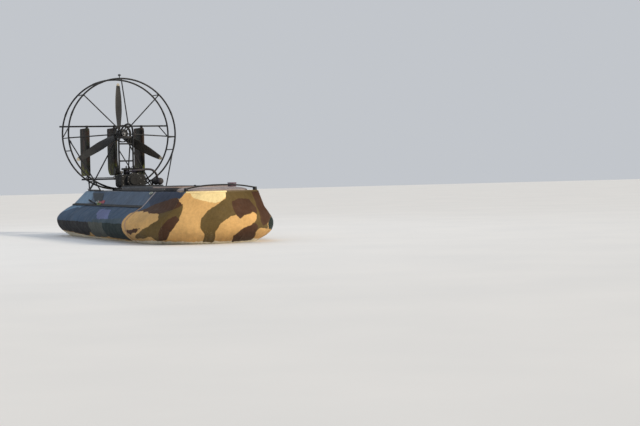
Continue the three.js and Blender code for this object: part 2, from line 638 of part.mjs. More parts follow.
// The side view of a rudder: a rounded leading top corner and a heel cut away in a curve.
function rudderOutline(heelLength, heelHeight) {
  const corners = [
    [RUDDER_FORE + 5, RUDDER_BOTTOM_Z - 5], [RUDDER_FORE + 5, RUDDER_TOP_Z - 60], [RUDDER_FORE - 14, RUDDER_TOP_Z - 20],
    [RUDDER_FORE - 50, RUDDER_TOP_Z], [RUDDER_AFT + 14, RUDDER_TOP_Z], [RUDDER_AFT, RUDDER_TOP_Z - 14],
  ];
  for (let i = 0; i <= 4; i += 1) {
    const angle = (Math.PI / 8) * i;
    corners.push([RUDDER_AFT + heelLength * (1 - Math.cos(angle)), RUDDER_BOTTOM_Z + heelHeight * (1 - Math.sin(angle))]);
  }
  corners.push([RUDDER_AFT + heelLength, RUDDER_BOTTOM_Z - 5]);
  return corners;
}

function rudderBlade(x, heelLength, heelHeight) {
  const noseY = along(RUDDER_FORE);
  const side = (s) => RUDDER_SECTION.map(([back, thick]) => [x + (s * thick * RUDDER_THICK) / 2, noseY + back * RUDDER_CHORD]);
  const plan = [...side(1), ...side(-1).reverse()];
  const levels = [RUDDER_BOTTOM_Z, RUDDER_TOP_Z].map((z) => plan.map(([px, py]) => [px, py, z]));
  return loft(levels).intersect(slabAcross(rudderOutline(heelLength, heelHeight), -800, 800));
}

for (const [name, place] of [['port', 1], ['centre', 0], ['starboard', -1]]) {
  const x = place * RUDDER_SPACING;
  const y = along(RUDDER_PIVOT_AHEAD);
  const pin = rod([x, y, BOTTOM_BAR_Z + BAR_TUBE + GAP], [x, y, TOP_BAR_Z - BAR_TUBE - GAP], RUDDER_PIN, 12);
  const horn = block([x - 9, y, HORN_Z], [x + 9, y + HORN_REACH + 10, HORN_Z + 6]);
  const panel = place === 0 ? rudderBlade(x, 160, 130) : rudderBlade(x, 80, 105);
  addPart(`rudder_${name}`, join(panel, pin, horn), RUDDER_FINISH);
}

const tieY = along(RUDDER_PIVOT_AHEAD) + HORN_REACH;
const tieRod = rod([-RUDDER_SPACING - 12, tieY, TIE_ROD_Z], [RUDDER_SPACING + 12, tieY, TIE_ROD_Z], 6, 8);
const tieBosses = [-1, 0, 1].map((place) => rod(
  [place * RUDDER_SPACING, tieY, TIE_ROD_Z], [place * RUDDER_SPACING, tieY, HORN_Z - GAP], 7, 10,
));
addPart('rudder_tie_rod', join(tieRod, ...tieBosses), BLACK_STEEL);

// Engine on its bed, ahead of the pylon: a twin with finned barrels side by side

const ENGINE_BED_Z = DECK_Z + GAP;
const BED_TOP_Z = ENGINE_BED_Z + 45;
const BED_RAIL_X = 172;
const bedRails = [-1, 1].map((side) => block(
  [side * BED_RAIL_X - 20, along(560), ENGINE_BED_Z], [side * BED_RAIL_X + 20, along(60), BED_TOP_Z],
));
const bedTies = [215, 470].map((ahead) => block(
  [-BED_RAIL_X, along(ahead + 30), ENGINE_BED_Z], [BED_RAIL_X, along(ahead), ENGINE_BED_Z + 30],
));
addPart('engine_bed', join(...bedRails, ...bedTies), BLACK_STEEL);

function roundedSection(half, low, high, corner) {
  const shape = new THREE.Shape();
  shape.moveTo(-half + corner, low);
  shape.lineTo(half - corner, low);
  shape.absarc(half - corner, low + corner, corner, -Math.PI / 2, 0, false);
  shape.absarc(half - corner, high - corner, corner, 0, Math.PI / 2, false);
  shape.absarc(-half + corner, high - corner, corner, Math.PI / 2, Math.PI, false);
  shape.absarc(-half + corner, low + corner, corner, Math.PI, 1.5 * Math.PI, false);
  return shape;
}

const CASE_AFT = 200;
const CASE_FORE = 490;
const CASE_TOP_Z = 880;
const PTO_AFT = 86;
const crankcase = join(
  slabAlong(roundedSection(186, BED_TOP_Z + GAP, CASE_TOP_Z, 42), CASE_AFT, CASE_FORE),
  slabAlong(roundedSection(80, 715, CASE_TOP_Z - 10, 30), PTO_AFT, CASE_AFT + 10),
  disc(56, 40, [0, along(PTO_AFT), DRIVE_Z], 'y', 24),
  disc(108, 56, [0, along(CASE_FORE + 20), DRIVE_Z], 'y', 28),
  disc(70, 22, [0, along(CASE_FORE + 56), DRIVE_Z], 'y', 24),
);
const stubClear = disc(DRIVE_STUB_RADIUS + 0.5, 80, [0, along(DRIVE_STUB_AHEAD - 20), DRIVE_Z], 'y', 24);
addPart('engine_crankcase', crankcase.subtract(stubClear), BLACK_STEEL);

const BARREL_X = 62;
const BARREL_AHEAD = 350;
const BARREL_LOW_Z = CASE_TOP_Z + GAP;
const BARREL_TOP_Z = 948;
const FIN_RADIUS = 56;
const barrelPoint = (x, z) => [x, along(BARREL_AHEAD), z];
const barrelParts = [-BARREL_X, BARREL_X].flatMap((x) => [
  disc(42, BARREL_TOP_Z - BARREL_LOW_Z, barrelPoint(x, (BARREL_LOW_Z + BARREL_TOP_Z) / 2), 'z', 16),
  ...[0, 1, 2, 3].map((i) => disc(FIN_RADIUS, 5, barrelPoint(x, BARREL_LOW_Z + 14 + i * 14), 'z', 18)),
  disc(9, 40, barrelPoint(x, BARREL_TOP_Z + 40), 'z', 8),
]);
const headBlock = slabAlong(roundedSection(120, BARREL_TOP_Z - 2, BARREL_TOP_Z + 26, 12), BARREL_AHEAD - 62, BARREL_AHEAD + 62);
addPart('engine_cylinders', join(...barrelParts, headBlock), BLACK_STEEL);
const barrelsClear = join(...[-BARREL_X, BARREL_X].map(
  (x) => disc(FIN_RADIUS + GAP, 100, barrelPoint(x, BARREL_LOW_Z + 40), 'z', 18),
));

// Intake on the starboard side
const INTAKE_Z = 912;
const intakePoint = (x) => [x, along(BARREL_AHEAD), INTAKE_Z];
const intake = join(
  rod(intakePoint(-100), intakePoint(-190), 16, 12),
  block([-160, along(BARREL_AHEAD + 26), INTAKE_Z - 24], [-128, along(BARREL_AHEAD - 26), INTAKE_Z + 24]),
  turned([[0, -34], [44, -34], [54, -24], [54, 24], [44, 34], [0, 34]], [0, 0, 0], 'z', 20)
    .rotate([0, 90, 0]).translate([-206, along(BARREL_AHEAD), INTAKE_Z + 18]),
);
addPart('engine_intake', intake.subtract(barrelsClear), { color: 0x2a2b2d, roughness: 0.6 });

// Exhaust: a pipe from each barrel, and a silencer on the port side deck. Columns: x, ahead, height.
const SILENCER_X = 400;
const SILENCER_Z = 775;
const PIPE_Z = 915;
const portPipe = [
  [BARREL_X, 395, PIPE_Z], [72, 440, 922], [130, 470, 940], [225, 462, 952], [320, 430, 930], [378, 395, 868], [SILENCER_X, 380, 800],
];
const starboardPipe = [[-BARREL_X, 395, PIPE_Z], [-52, 440, 920], [0, 472, 930], [70, 480, 938], [150, 470, 942]];
const pipes = [portPipe, starboardPipe].map((points) => bentTube(points.map(([x, ahead, z]) => [x, along(ahead), z]), 16, 20));
const silencer = turned(
  [[0, -150], [30, -150], [48, -128], [48, 128], [30, 150], [0, 150]], [SILENCER_X, along(380), SILENCER_Z], 'y', 20,
);
const silencerFeet = [290, 470].map((ahead) => join(
  block([SILENCER_X - 6, along(ahead) - 14, DECK_Z + GAP], [SILENCER_X + 6, along(ahead) + 14, SILENCER_Z - 30]),
  block([SILENCER_X - 24, along(ahead) - 18, DECK_Z + GAP], [SILENCER_X + 24, along(ahead) + 18, DECK_Z + 6]),
));
const tailPipe = rod([SILENCER_X, along(240), SILENCER_Z], [SILENCER_X, along(170), SILENCER_Z], 18, 12);
const exhaust = join(...pipes, silencer, ...silencerFeet, tailPipe).subtract(barrelsClear);
addPart('engine_exhaust', exhaust, { color: 0x5a4a40, roughness: 0.6, metalness: 0.7 });

// Lift fan in its duct between the engine and the cockpit

const DUCT_LIP_TOP = 718;
const ductCentre = (z) => [0, along(FAN_AHEAD), z];
const lipHeight = DUCT_LIP_TOP - DECK_Z - GAP;
addPart('fan_duct_lip', collar(DUCT_RADIUS, DUCT_RADIUS + 22, lipHeight, ductCentre(DECK_Z + GAP + lipHeight / 2), 'z', 32), BLACK_STEEL);

const fanBlade = (i) => {
  const loops = [40, FAN_RADIUS].map((radius) => [[-46, -16], [46, 12], [46, 17], [-46, -11]].map(([x, z]) => {
    const point = new THREE.Vector3(x, radius, z).applyAxisAngle(new THREE.Vector3(0, 0, 1), (i * Math.PI) / 3);
    return [point.x, point.y + along(FAN_AHEAD), point.z + FAN_Z];
  }));
  return loft(loops);
};
const fanHub = disc(58, 60, ductCentre(FAN_Z), 'z', 24);
addPart('lift_fan', join(fanHub, ...[0, 1, 2, 3, 4, 5].map(fanBlade)), { color: 0x2a2a2a, roughness: 0.5 });

const STAY_Z = 470;
const fanStays = [0, 1].map((i) => {
  const arm = DUCT_RADIUS - 1.6;
  const [dx, dy] = i ? [0, 1] : [1, 0];
  return block(
    [-arm * dx - 12 * dy, along(FAN_AHEAD) - arm * dy - 12 * dx, STAY_Z],
    [arm * dx + 12 * dy, along(FAN_AHEAD) + arm * dy + 12 * dx, STAY_Z + 24],
  );
});
const fanSpindle = rod(ductCentre(STAY_Z), ductCentre(FAN_Z - 30 - GAP), 22, 16);
addPart('fan_mount', join(...fanStays, fanSpindle), BLACK_STEEL);

// Wire grille over the duct

const GRILLE_Z = DUCT_LIP_TOP + GAP + 5;
const grilleRings = [90, 180, DUCT_RADIUS + 8].map((radius) => collar(radius - 5, radius + 5, 10, ductCentre(GRILLE_Z), 'z', 24));
const grilleArms = [0, 1, 2, 3].map((i) => {
  const angle = (i * Math.PI) / 4;
  const reach = DUCT_RADIUS + 6;
  const [dx, dy] = [reach * Math.cos(angle), reach * Math.sin(angle)];
  return rod([-dx, along(FAN_AHEAD) - dy, GRILLE_Z], [dx, along(FAN_AHEAD) + dy, GRILLE_Z], 4, 8);
});
addPart('fan_grille', join(...grilleRings, ...grilleArms), BLACK_STEEL);

// Seats, console and steering

const SEAT_AFT = 2200;
const SEAT_FORE = 2740;
const SEAT_HALF = 360;
const SEAT_BASE_TOP = 232;
const SEAT_TOP = 310;
addPart('seat_base', block([-SEAT_HALF, along(SEAT_FORE), FLOOR_Z + GAP], [SEAT_HALF, along(SEAT_AFT), SEAT_BASE_TOP]), {
  color: 0x4b4d4a, roughness: 0.8,
});
addPart('seat_cushion', block([-SEAT_HALF + 10, along(SEAT_FORE - 10), SEAT_BASE_TOP + GAP], [SEAT_HALF - 10, along(SEAT_AFT + 90), SEAT_TOP]), {
  color: 0x30322f, roughness: 0.9,
});
const backCorners = [[SEAT_AFT, SEAT_BASE_TOP + GAP], [SEAT_AFT + 85, SEAT_BASE_TOP + GAP], [SEAT_AFT + 5, 640], [SEAT_AFT - 80, 640]];
addPart('seat_back', slabAcross(backCorners, -SEAT_HALF + 10, SEAT_HALF - 10), { color: 0x30322f, roughness: 0.9 });

const CONSOLE_HALF = 130;
const PANEL_LOW = [3180, 560];
const PANEL_HIGH = [3300, 668];
const consoleCorners = [[3120, FLOOR_Z + GAP], [3430, FLOOR_Z + GAP], [3430, 640], PANEL_HIGH, PANEL_LOW];
addPart('helm_console', slabAcross(consoleCorners, -CONSOLE_HALF, CONSOLE_HALF), { color: 0x2e302f, roughness: 0.6 });

// The steering column stands square on the middle of the console's sloping panel.
const HELM_LEAN = Math.atan2(PANEL_HIGH[1] - PANEL_LOW[1], PANEL_HIGH[0] - PANEL_LOW[0]);
const HELM_AHEAD = (PANEL_LOW[0] + PANEL_HIGH[0]) / 2;
const HELM_Z = (PANEL_LOW[1] + PANEL_HIGH[1]) / 2;
const helmPoint = (x, up, fore = 0) => [
  x,
  along(HELM_AHEAD - up * Math.sin(HELM_LEAN) + fore * Math.cos(HELM_LEAN)),
  HELM_Z + up * Math.cos(HELM_LEAN) + fore * Math.sin(HELM_LEAN),
];
const column = rod(helmPoint(0, GAP), helmPoint(0, 130), 14, 12);
const barPoints = [[-300, 150, -40], [-190, 138, -10], [0, 124, 0], [190, 138, -10], [300, 150, -40]];
const helmBar = bentTube(barPoints.map(([x, up, fore]) => helmPoint(x, up, fore)), 11, 14);
addPart('steering_bar', join(column, helmBar), BLACK_STEEL);

// Crowned foredeck, bow rail between two posts, and a small box

// Levels of the foredeck. Columns: height, half width, front edge.
const FOREDECK = [[DECK_Z + GAP, 402, 4092], [676, 386, 4072], [694, 330, 4010], [702, 250, 3930]];
const FOREDECK_AFT = COCKPIT_FORE + COAMING_WIDTH + 12;
const foredeckLoops = FOREDECK.map(([z, half, fore]) => {
  const outline = roundedPlan(half, FOREDECK_AFT, fore, 40 + half / 4);
  return outline.getPoints(4).slice(1).map((point) => [point.x, point.y, z]);
});
addPart('foredeck_cap', loft(foredeckLoops), { color: 0x8f7f74, roughness: 0.7 });

const BOW_RAIL_AHEAD = 4110;
const POST_X = 450;
const POST_HEIGHT = 46;
const bowRailPoints = [
  [-POST_X, DECK_Z + 30], [-436, 694], [-360, 712], [-180, 724], [0, 728], [180, 724], [360, 712], [436, 694], [POST_X, DECK_Z + 30],
];
const bowRailTube = bentTube(bowRailPoints.map(([x, z]) => [x, along(BOW_RAIL_AHEAD), z]), 9, 32);
const bowPosts = [-1, 1].map((side) => disc(
  26, POST_HEIGHT, [side * POST_X, along(BOW_RAIL_AHEAD), DECK_Z + GAP + POST_HEIGHT / 2], 'z', 16,
));
addPart('bow_rail', join(bowRailTube, ...bowPosts), BLACK_STEEL);

const CROWN_Z = FOREDECK.at(-1)[0];
addPart('foredeck_box', block([206, along(3905), CROWN_Z + GAP], [286, along(3800), CROWN_Z + 50]), { color: 0x2c2833, roughness: 0.6 });

export default craft;
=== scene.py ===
"""Looks of an open light hovercraft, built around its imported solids.

Sizes are in millimetres: x to port, ahead from the guard's front hoop towards the bow, and z up from the
ground. spot() turns them into the frame's metres.
"""

import logging
import math
import random
from dataclasses import dataclass, field
from enum import Enum
from functools import cache
from typing import Callable, Iterable, Sequence

import bmesh
import bpy
import numpy as np
from mathutils import Matrix, Quaternion, Vector, noise


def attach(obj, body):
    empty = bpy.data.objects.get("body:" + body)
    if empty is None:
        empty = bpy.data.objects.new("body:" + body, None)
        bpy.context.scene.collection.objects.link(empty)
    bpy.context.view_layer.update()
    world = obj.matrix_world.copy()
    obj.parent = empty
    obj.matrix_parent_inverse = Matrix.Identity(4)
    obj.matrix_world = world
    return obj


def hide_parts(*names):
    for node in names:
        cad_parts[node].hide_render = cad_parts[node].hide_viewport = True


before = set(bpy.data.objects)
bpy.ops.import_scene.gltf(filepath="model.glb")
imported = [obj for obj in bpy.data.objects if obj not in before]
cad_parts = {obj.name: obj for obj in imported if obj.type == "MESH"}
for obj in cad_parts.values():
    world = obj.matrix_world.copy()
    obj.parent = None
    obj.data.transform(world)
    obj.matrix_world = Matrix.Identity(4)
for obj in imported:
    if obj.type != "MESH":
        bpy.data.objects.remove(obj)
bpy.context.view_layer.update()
log = logging.getLogger("hovercraft")

Colour = tuple[float, float, float, float]
Outline = tuple[tuple[float, float], ...]

FRONT_HOOP_LINE = 1725
UP = Vector((0, 0, 1))
FORWARD = Vector((0, -1, 0))
ACROSS = Vector((1, 0, 0))


# Places


def spot(x: float, ahead: float, z: float) -> Vector:
    """Turns millimetres across, ahead and up into a point of the frame, in metres."""
    return Vector((x, FRONT_HOOP_LINE - ahead, z)) / 1000


def bell(offset: float, width: float) -> float:
    """Gives a share that falls from one to nought as the offset grows past the width."""
    return math.exp(-(offset / width) ** 2)


def ringed(radius: float, degrees: float, ahead: float, z: float) -> Vector:
    """Gives the point at an angle from port on an upright ring about the propeller's line."""
    turn = math.radians(degrees)
    return spot(radius * math.cos(turn), ahead, z + radius * math.sin(turn))


# Modelling tools

SMOOTH_ANGLE = 32
MERGE_REACH = 0.00001
FACE_OUTWARDS = ("normals_make_consistent", {"inside": False})


def picked(*pieces: bpy.types.Object) -> None:
    """Leaves object mode and selects only these pieces, with the first one active."""
    if bpy.context.object and bpy.context.object.mode != "OBJECT":
        bpy.ops.object.mode_set(mode="OBJECT")
    bpy.ops.object.select_all(action="DESELECT")
    for piece in pieces:
        piece.select_set(True)
    if pieces:
        bpy.context.view_layer.objects.active = pieces[0]


def named(name: str) -> bpy.types.Object:
    """Names the active object and settles its place, turn and scale into its mesh."""
    piece = bpy.context.object
    picked(piece)
    bpy.ops.object.transform_apply(location=True, rotation=True, scale=True)
    piece.name = piece.data.name = name
    return piece


def shaped(piece: bpy.types.Object, *steps: tuple[str, dict]) -> bpy.types.Object:
    """Runs edit-mode operators on a piece with everything selected.

    Args:
        piece: the object to work on.
        steps: pairs of a mesh operator's name and its settings.

    Returns:
        The same object, back in object mode.
    """
    picked(piece)
    bpy.ops.object.mode_set(mode="EDIT")
    bpy.ops.mesh.select_all(action="SELECT")
    for operator, settings in steps:
        getattr(bpy.ops.mesh, operator)(**settings)
    bpy.ops.object.mode_set(mode="OBJECT")
    return piece


def outward(piece: bpy.types.Object) -> bpy.types.Object:
    """Merges a piece's doubled points and turns its faces outwards."""
    return shaped(piece, ("remove_doubles", {"threshold": MERGE_REACH}), FACE_OUTWARDS)


def worked(piece: bpy.types.Object, kind: str, **settings: object) -> bpy.types.Object:
    """Adds a modifier with these settings to a piece and applies it."""
    picked(piece)
    modifier = piece.modifiers.new(kind.title(), kind)
    for key, value in settings.items():
        setattr(modifier, key, value)
    bpy.ops.object.modifier_apply(modifier=modifier.name)
    return piece


def rounded(piece: bpy.types.Object, width: float, segments: int = 2, angle: float = 35) -> bpy.types.Object:
    """Rounds a piece's sharper edges by a width in millimetres."""
    return worked(piece, "BEVEL", width=width / 1000, segments=segments, limit_method="ANGLE",
                  angle_limit=math.radians(angle), use_clamp_overlap=True, harden_normals=False)


def smooth(piece: bpy.types.Object, angle: float = SMOOTH_ANGLE) -> bpy.types.Object:
    """Shades a piece smooth up to an angle between its faces."""
    picked(piece)
    bpy.ops.object.shade_smooth_by_angle(angle=math.radians(angle))
    return piece


def joined(name: str, *pieces: bpy.types.Object) -> bpy.types.Object:
    """Joins pieces into one object of that name."""
    picked(*pieces)
    if len(pieces) > 1:
        bpy.ops.object.join()
    return named(name)


def cut(piece: bpy.types.Object, *tools: bpy.types.Object) -> bpy.types.Object:
    """Takes the tools out of a piece and removes them."""
    for tool in tools:
        worked(piece, "BOOLEAN", operation="DIFFERENCE", solver="EXACT", object=tool)
        bpy.data.objects.remove(tool)
    return piece


def doubled(piece: bpy.types.Object) -> bpy.types.Object:
    """Copies an object with its own mesh."""
    twin = piece.copy()
    twin.data = piece.data.copy()
    bpy.context.scene.collection.objects.link(twin)
    return twin


def copies(name: str, piece: bpy.types.Object, moves: Iterable[Matrix]) -> bpy.types.Object:
    """Copies a piece, each copy with its own mesh, and joins the copies.

    Args:
        name: the joined object's name.
        piece: the pattern, which is removed afterwards.
        moves: where each copy goes.

    Returns:
        The joined object.
    """
    made = []
    for move in moves:
        made.append(doubled(piece))
        made[-1].data.transform(move)
    bpy.data.objects.remove(piece)
    return joined(name, *made)


def block(name: str, low: Vector, high: Vector, edge: float = 2, segments: int = 2) -> bpy.types.Object:
    """Makes a block between two corners with rounded edges."""
    picked()
    low, high = Vector(map(min, low, high)), Vector(map(max, low, high))
    bpy.ops.mesh.primitive_cube_add(size=1, location=(low + high) / 2, scale=high - low)
    return rounded(named(name), edge, segments)


def turned_to(axis: Vector) -> Quaternion:
    """Gives the turn that lays the local z along an axis."""
    return axis.to_track_quat("Z", "Y")


def laid_at(point: Vector, axis: Vector) -> Matrix:
    """Gives the move that takes the origin to a point and the local z along an axis."""
    return Matrix.Translation(point) @ turned_to(axis).to_matrix().to_4x4()


def rod(name: str, start: Vector, end: Vector, radius: float, sides: int = 20,
        rim: float = 0) -> bpy.types.Object:
    """Makes a straight round rod between two points, with an eased rim where rim is given."""
    picked()
    axis = end - start
    bpy.ops.mesh.primitive_cylinder_add(vertices=sides, radius=radius / 1000, depth=axis.length,
                                        location=(start + end) / 2, rotation=turned_to(axis).to_euler())
    piece = named(name)
    return rounded(piece, rim, 2, 50) if rim else piece


def tube(name: str, points: Sequence[Vector], radius: float, steps: int = 8, sides: int = 4,
         closed: bool = False, soft: bool = True) -> bpy.types.Object:
    """Bends a round tube through points.

    Args:
        name: the piece's name.
        points: the points that the tube's middle passes through.
        radius: its radius in millimetres.
        steps: pieces between two points.
        sides: a quarter of the sides of its section.
        closed: whether the ends meet.
        soft: whether it curves through the points or runs straight between them.

    Returns:
        The tube as a mesh.
    """
    picked()
    bpy.ops.curve.primitive_bezier_curve_add()
    curve = bpy.context.object.data
    spline = curve.splines[0]
    spline.bezier_points.add(len(points) - len(spline.bezier_points))
    handle = "AUTO" if soft else "VECTOR"
    for knot, point in zip(spline.bezier_points, points):
        knot.handle_left_type = knot.handle_right_type = handle
        knot.co = knot.handle_left = knot.handle_right = point
    for knot in spline.bezier_points:
        knot.handle_left_type = knot.handle_right_type = handle
    spline.use_cyclic_u = closed
    curve.resolution_u = steps
    curve.bevel_depth = radius / 1000
    curve.bevel_resolution = sides
    curve.use_fill_caps = True
    bpy.ops.object.convert(target="MESH")
    return outward(named(name))


def hoop(name: str, centre: Vector, axis: Vector, radius: float, thick: float, segments: int = 120,
         sides: int = 14) -> bpy.types.Object:
    """Makes a round ring of tube."""
    picked()
    bpy.ops.mesh.primitive_torus_add(major_radius=radius / 1000, minor_radius=thick / 1000,
                                     major_segments=segments, minor_segments=sides, location=centre,
                                     rotation=turned_to(axis).to_euler())
    return named(name)


def spun(name: str, profile: Sequence[tuple[float, float]], centre: Vector, axis: Vector,
         steps: int = 48) -> bpy.types.Object:
    """Spins a profile about an axis, as on a lathe.

    Args:
        name: the piece's name.
        profile: pairs of radius and height along the axis, in millimetres.
        centre: the point of the axis at height nought.
        axis: the direction of the axis.
        steps: pieces round the axis.

    Returns:
        The turned piece, with faces outwards.
    """
    picked()
    bpy.ops.mesh.primitive_circle_add(vertices=max(3, len(profile)), fill_type="NOTHING")
    piece = bpy.context.object
    mesh = piece.data
    mesh.clear_geometry()
    mesh.from_pydata([(radius / 1000, 0, height / 1000) for radius, height in profile],
                     [(i, i + 1) for i in range(len(profile) - 1)], [])
    shaped(piece, ("spin", {"steps": steps, "angle": math.tau, "center": (0, 0, 0), "axis": (0, 0, 1)}))
    outward(piece)
    piece.data.transform(laid_at(centre, axis))
    return named(name)


def lofted(name: str, sections: Sequence[Sequence[Vector]]) -> bpy.types.Object:
    """Extrudes a face from section to section.

    Args:
        name: the piece's name.
        sections: loops with equal counts of points, in order.

    Returns:
        A closed piece through all the sections.
    """
    picked()
    bpy.ops.mesh.primitive_circle_add(vertices=len(sections[0]), fill_type="NGON")
    piece = bpy.context.object
    for vertex, point in zip(piece.data.vertices, sections[0]):
        vertex.co = point
    bpy.ops.object.mode_set(mode="EDIT")
    bpy.ops.mesh.select_all(action="SELECT")
    for before, after in zip(sections, sections[1:]):
        bpy.ops.mesh.extrude_region_move()
        mesh = bmesh.from_edit_mesh(piece.data)
        goal = {tuple(round(c, 6) for c in old): new for old, new in zip(before, after)}
        for vertex in [v for v in mesh.verts if v.select]:
            vertex.co = goal[tuple(round(c, 6) for c in vertex.co)]
        bmesh.update_edit_mesh(piece.data)
    bpy.ops.object.mode_set(mode="OBJECT")
    return outward(named(name))


def plate(name: str, outline: Sequence[Vector], depth: Vector, edge: float = 0,
          segments: int = 2) -> bpy.types.Object:
    """Cuts a plate to an outline, with its thickness given as a vector in metres."""
    piece = lofted(name, [list(outline), [point + depth for point in outline]])
    return rounded(piece, edge, segments) if edge else piece


def round_cornered(half: float, low: float, high: float, corner: float,
                   steps: int) -> list[tuple[float, float]]:
    """Gives a rounded oblong about the middle line.

    Args:
        half: half its size across.
        low: its lower end the other way.
        high: its upper end.
        corner: the corners' radius.
        steps: pieces in a corner.

    Returns:
        Pairs of a place across and a place between the ends.
    """
    points = []
    for x, y, first in [(1, 1, 0), (-1, 1, 90), (-1, -1, 180), (1, -1, 270)]:
        for step in range(steps + 1):
            turn = math.radians(first + 90 * step / steps)
            points.append((x * (half - corner) + corner * math.cos(turn),
                           (high if y > 0 else low) - y * corner + corner * math.sin(turn)))
    return points


def oblong(half: float, aft: float, fore: float, corner: float, z: float, steps: int = 8) -> list[Vector]:
    """Gives the rounded oblong in plan with these sides, in millimetres."""
    return [spot(x, ahead, z) for x, ahead in round_cornered(half, aft, fore, corner, steps)]


def draped(name: str, grid: np.ndarray) -> bpy.types.Object:
    """Makes a surface over a grid of points.

    Args:
        name: the piece's name.
        grid: the points by row and column, in metres.

    Returns:
        The open surface, one face between each four points.
    """
    rows, columns = grid.shape[:2]
    faces = [(r * columns + c, (r + 1) * columns + c, (r + 1) * columns + c + 1, r * columns + c + 1)
             for r in range(rows - 1) for c in range(columns - 1)]
    mesh = bpy.data.meshes.new(name)
    mesh.from_pydata(grid.reshape(-1, 3).tolist(), [], faces)
    piece = bpy.data.objects.new(name, mesh)
    bpy.context.scene.collection.objects.link(piece)
    return piece


def bolts(name: str, places: Sequence[tuple[Vector, Vector]], size: float = 8) -> bpy.types.Object:
    """Sets hexagon bolts with washers.

    Args:
        name: the joined piece's name.
        places: pairs of a point on a surface and the direction that the head faces.
        size: the bolt's thread in millimetres.

    Returns:
        The bolts as one piece.
    """
    picked()
    rim = [(0, 0), (0.95, 0), (1.05, 0.1), (0.95, 0.22), (0, 0.22)]
    washer = spun("washer", [(size * radius, size * height) for radius, height in rim], Vector(), UP, 16)
    head = rod("head", UP * size * 0.0001, UP * size * 0.00085, size * 0.88, 6, size * 0.12)
    return copies(name, joined("bolt", washer, head), [laid_at(point, way) for point, way in places])


# Shader tools


class Web:
    """A shader node tree while its nodes are placed and joined."""

    def __init__(self, tree: bpy.types.NodeTree) -> None:
        """Keeps the tree that the nodes go into."""
        self.tree = tree

    def feed(self, socket: bpy.types.NodeSocket, value: object) -> None:
        """Links a socket to another one or gives it a value."""
        if isinstance(value, bpy.types.NodeSocket):
            self.tree.links.new(value, socket)
        else:
            socket.default_value = value

    def put(self, kind: str, settings: dict | None = None, **values: object) -> bpy.types.Node:
        """Places a node.

        Args:
            kind: the node's type without its ShaderNode prefix.
            settings: the node's own properties.
            values: its inputs by name, with _ for a space, each a value or a socket.

        Returns:
            The node.
        """
        node = self.tree.nodes.new("ShaderNode" + kind)
        for key, value in (settings or {}).items():
            setattr(node, key, value)
        return self.fill(node, **values)

    def fill(self, node: bpy.types.Node, **values: object) -> bpy.types.Node:
        """Feeds a node's inputs by name, with _ for a space, and gives it back."""
        for key, value in values.items():
            self.feed(node.inputs[key.replace("_", " ")], value)
        return node

    def reckon(self, operation: str, *values: object, clamp: bool = False) -> bpy.types.NodeSocket:
        """Joins a Math node and gives its result."""
        node = self.put("Math", {"operation": operation, "use_clamp": clamp})
        for socket, value in zip(node.inputs, values):
            self.feed(socket, value)
        return node.outputs[0]

    def times(self, first: object, second: object) -> bpy.types.NodeSocket:
        """Multiplies two values."""
        return self.reckon("MULTIPLY", first, second)

    def blend(self, share: object, first: object, second: object, way: str = "MIX") -> bpy.types.NodeSocket:
        """Mixes two colours by a share."""
        node = self.put("Mix", {"data_type": "RGBA", "blend_type": way, "clamp_factor": True})
        for socket, value in zip((node.inputs[0], node.inputs[6], node.inputs[7]), (share, first, second)):
            self.feed(socket, value)
        return node.outputs[2]

    def shaded(self, colour: object, shade: object) -> bpy.types.NodeSocket:
        """Multiplies a colour by one value."""
        grey = self.put("CombineColor", None, Red=shade, Green=shade, Blue=shade).outputs[0]
        return self.blend(1, colour, grey, "MULTIPLY")

    def stretched(self, place: object, scale: tuple[float, float, float]) -> bpy.types.NodeSocket:
        """Scales a place along each axis."""
        return self.put("Mapping", None, Vector=place, Scale=scale).outputs[0]

    def part(self, place: object, axis: str) -> bpy.types.NodeSocket:
        """Gives one part of a place: X, Y or Z."""
        return self.put("SeparateXYZ", None, Vector=place).outputs[axis]

    def between(self, value: object, low: float, high: float, to_low: float = 0, to_high: float = 1,
                soft: bool = False) -> bpy.types.NodeSocket:
        """Maps a value from one range to another, held at both ends."""
        node = self.put("MapRange", {"interpolation_type": "SMOOTHSTEP" if soft else "LINEAR"}, Value=value,
                        From_Min=low, From_Max=high, To_Min=to_low, To_Max=to_high)
        return node.outputs[0]

    def cloud(self, place: object, scale: float, detail: float = 3, rough: float = 0.5,
              warp: float = 0) -> bpy.types.NodeSocket:
        """Joins a Noise texture and gives its value."""
        return self.put("TexNoise", None, Vector=place, Scale=scale, Detail=detail, Roughness=rough,
                        Distortion=warp).outputs[0]

    def here(self) -> bpy.types.NodeSocket:
        """Gives the Object coordinates."""
        return self.put("TexCoord").outputs["Object"]

    def stored(self, name: str, output: str = "Fac") -> bpy.types.NodeSocket:
        """Reads an attribute of the mesh."""
        return self.put("Attribute", {"attribute_name": name}).outputs[output]

    def bump(self, height: object, depth: float, strength: float = 1,
             onto: object = None) -> bpy.types.NodeSocket:
        """Gives a bumped normal, depth in metres."""
        node = self.put("Bump", None, Strength=strength, Distance=depth, Height=height)
        if onto is not None:
            self.feed(node.inputs["Normal"], onto)
        return node.outputs[0]

    def effect(self, group: bpy.types.NodeTree, **values: object) -> bpy.types.Node:
        """Places a node group with its own values."""
        node = self.tree.nodes.new("ShaderNodeGroup")
        node.node_tree = group
        return self.fill(node, **values)


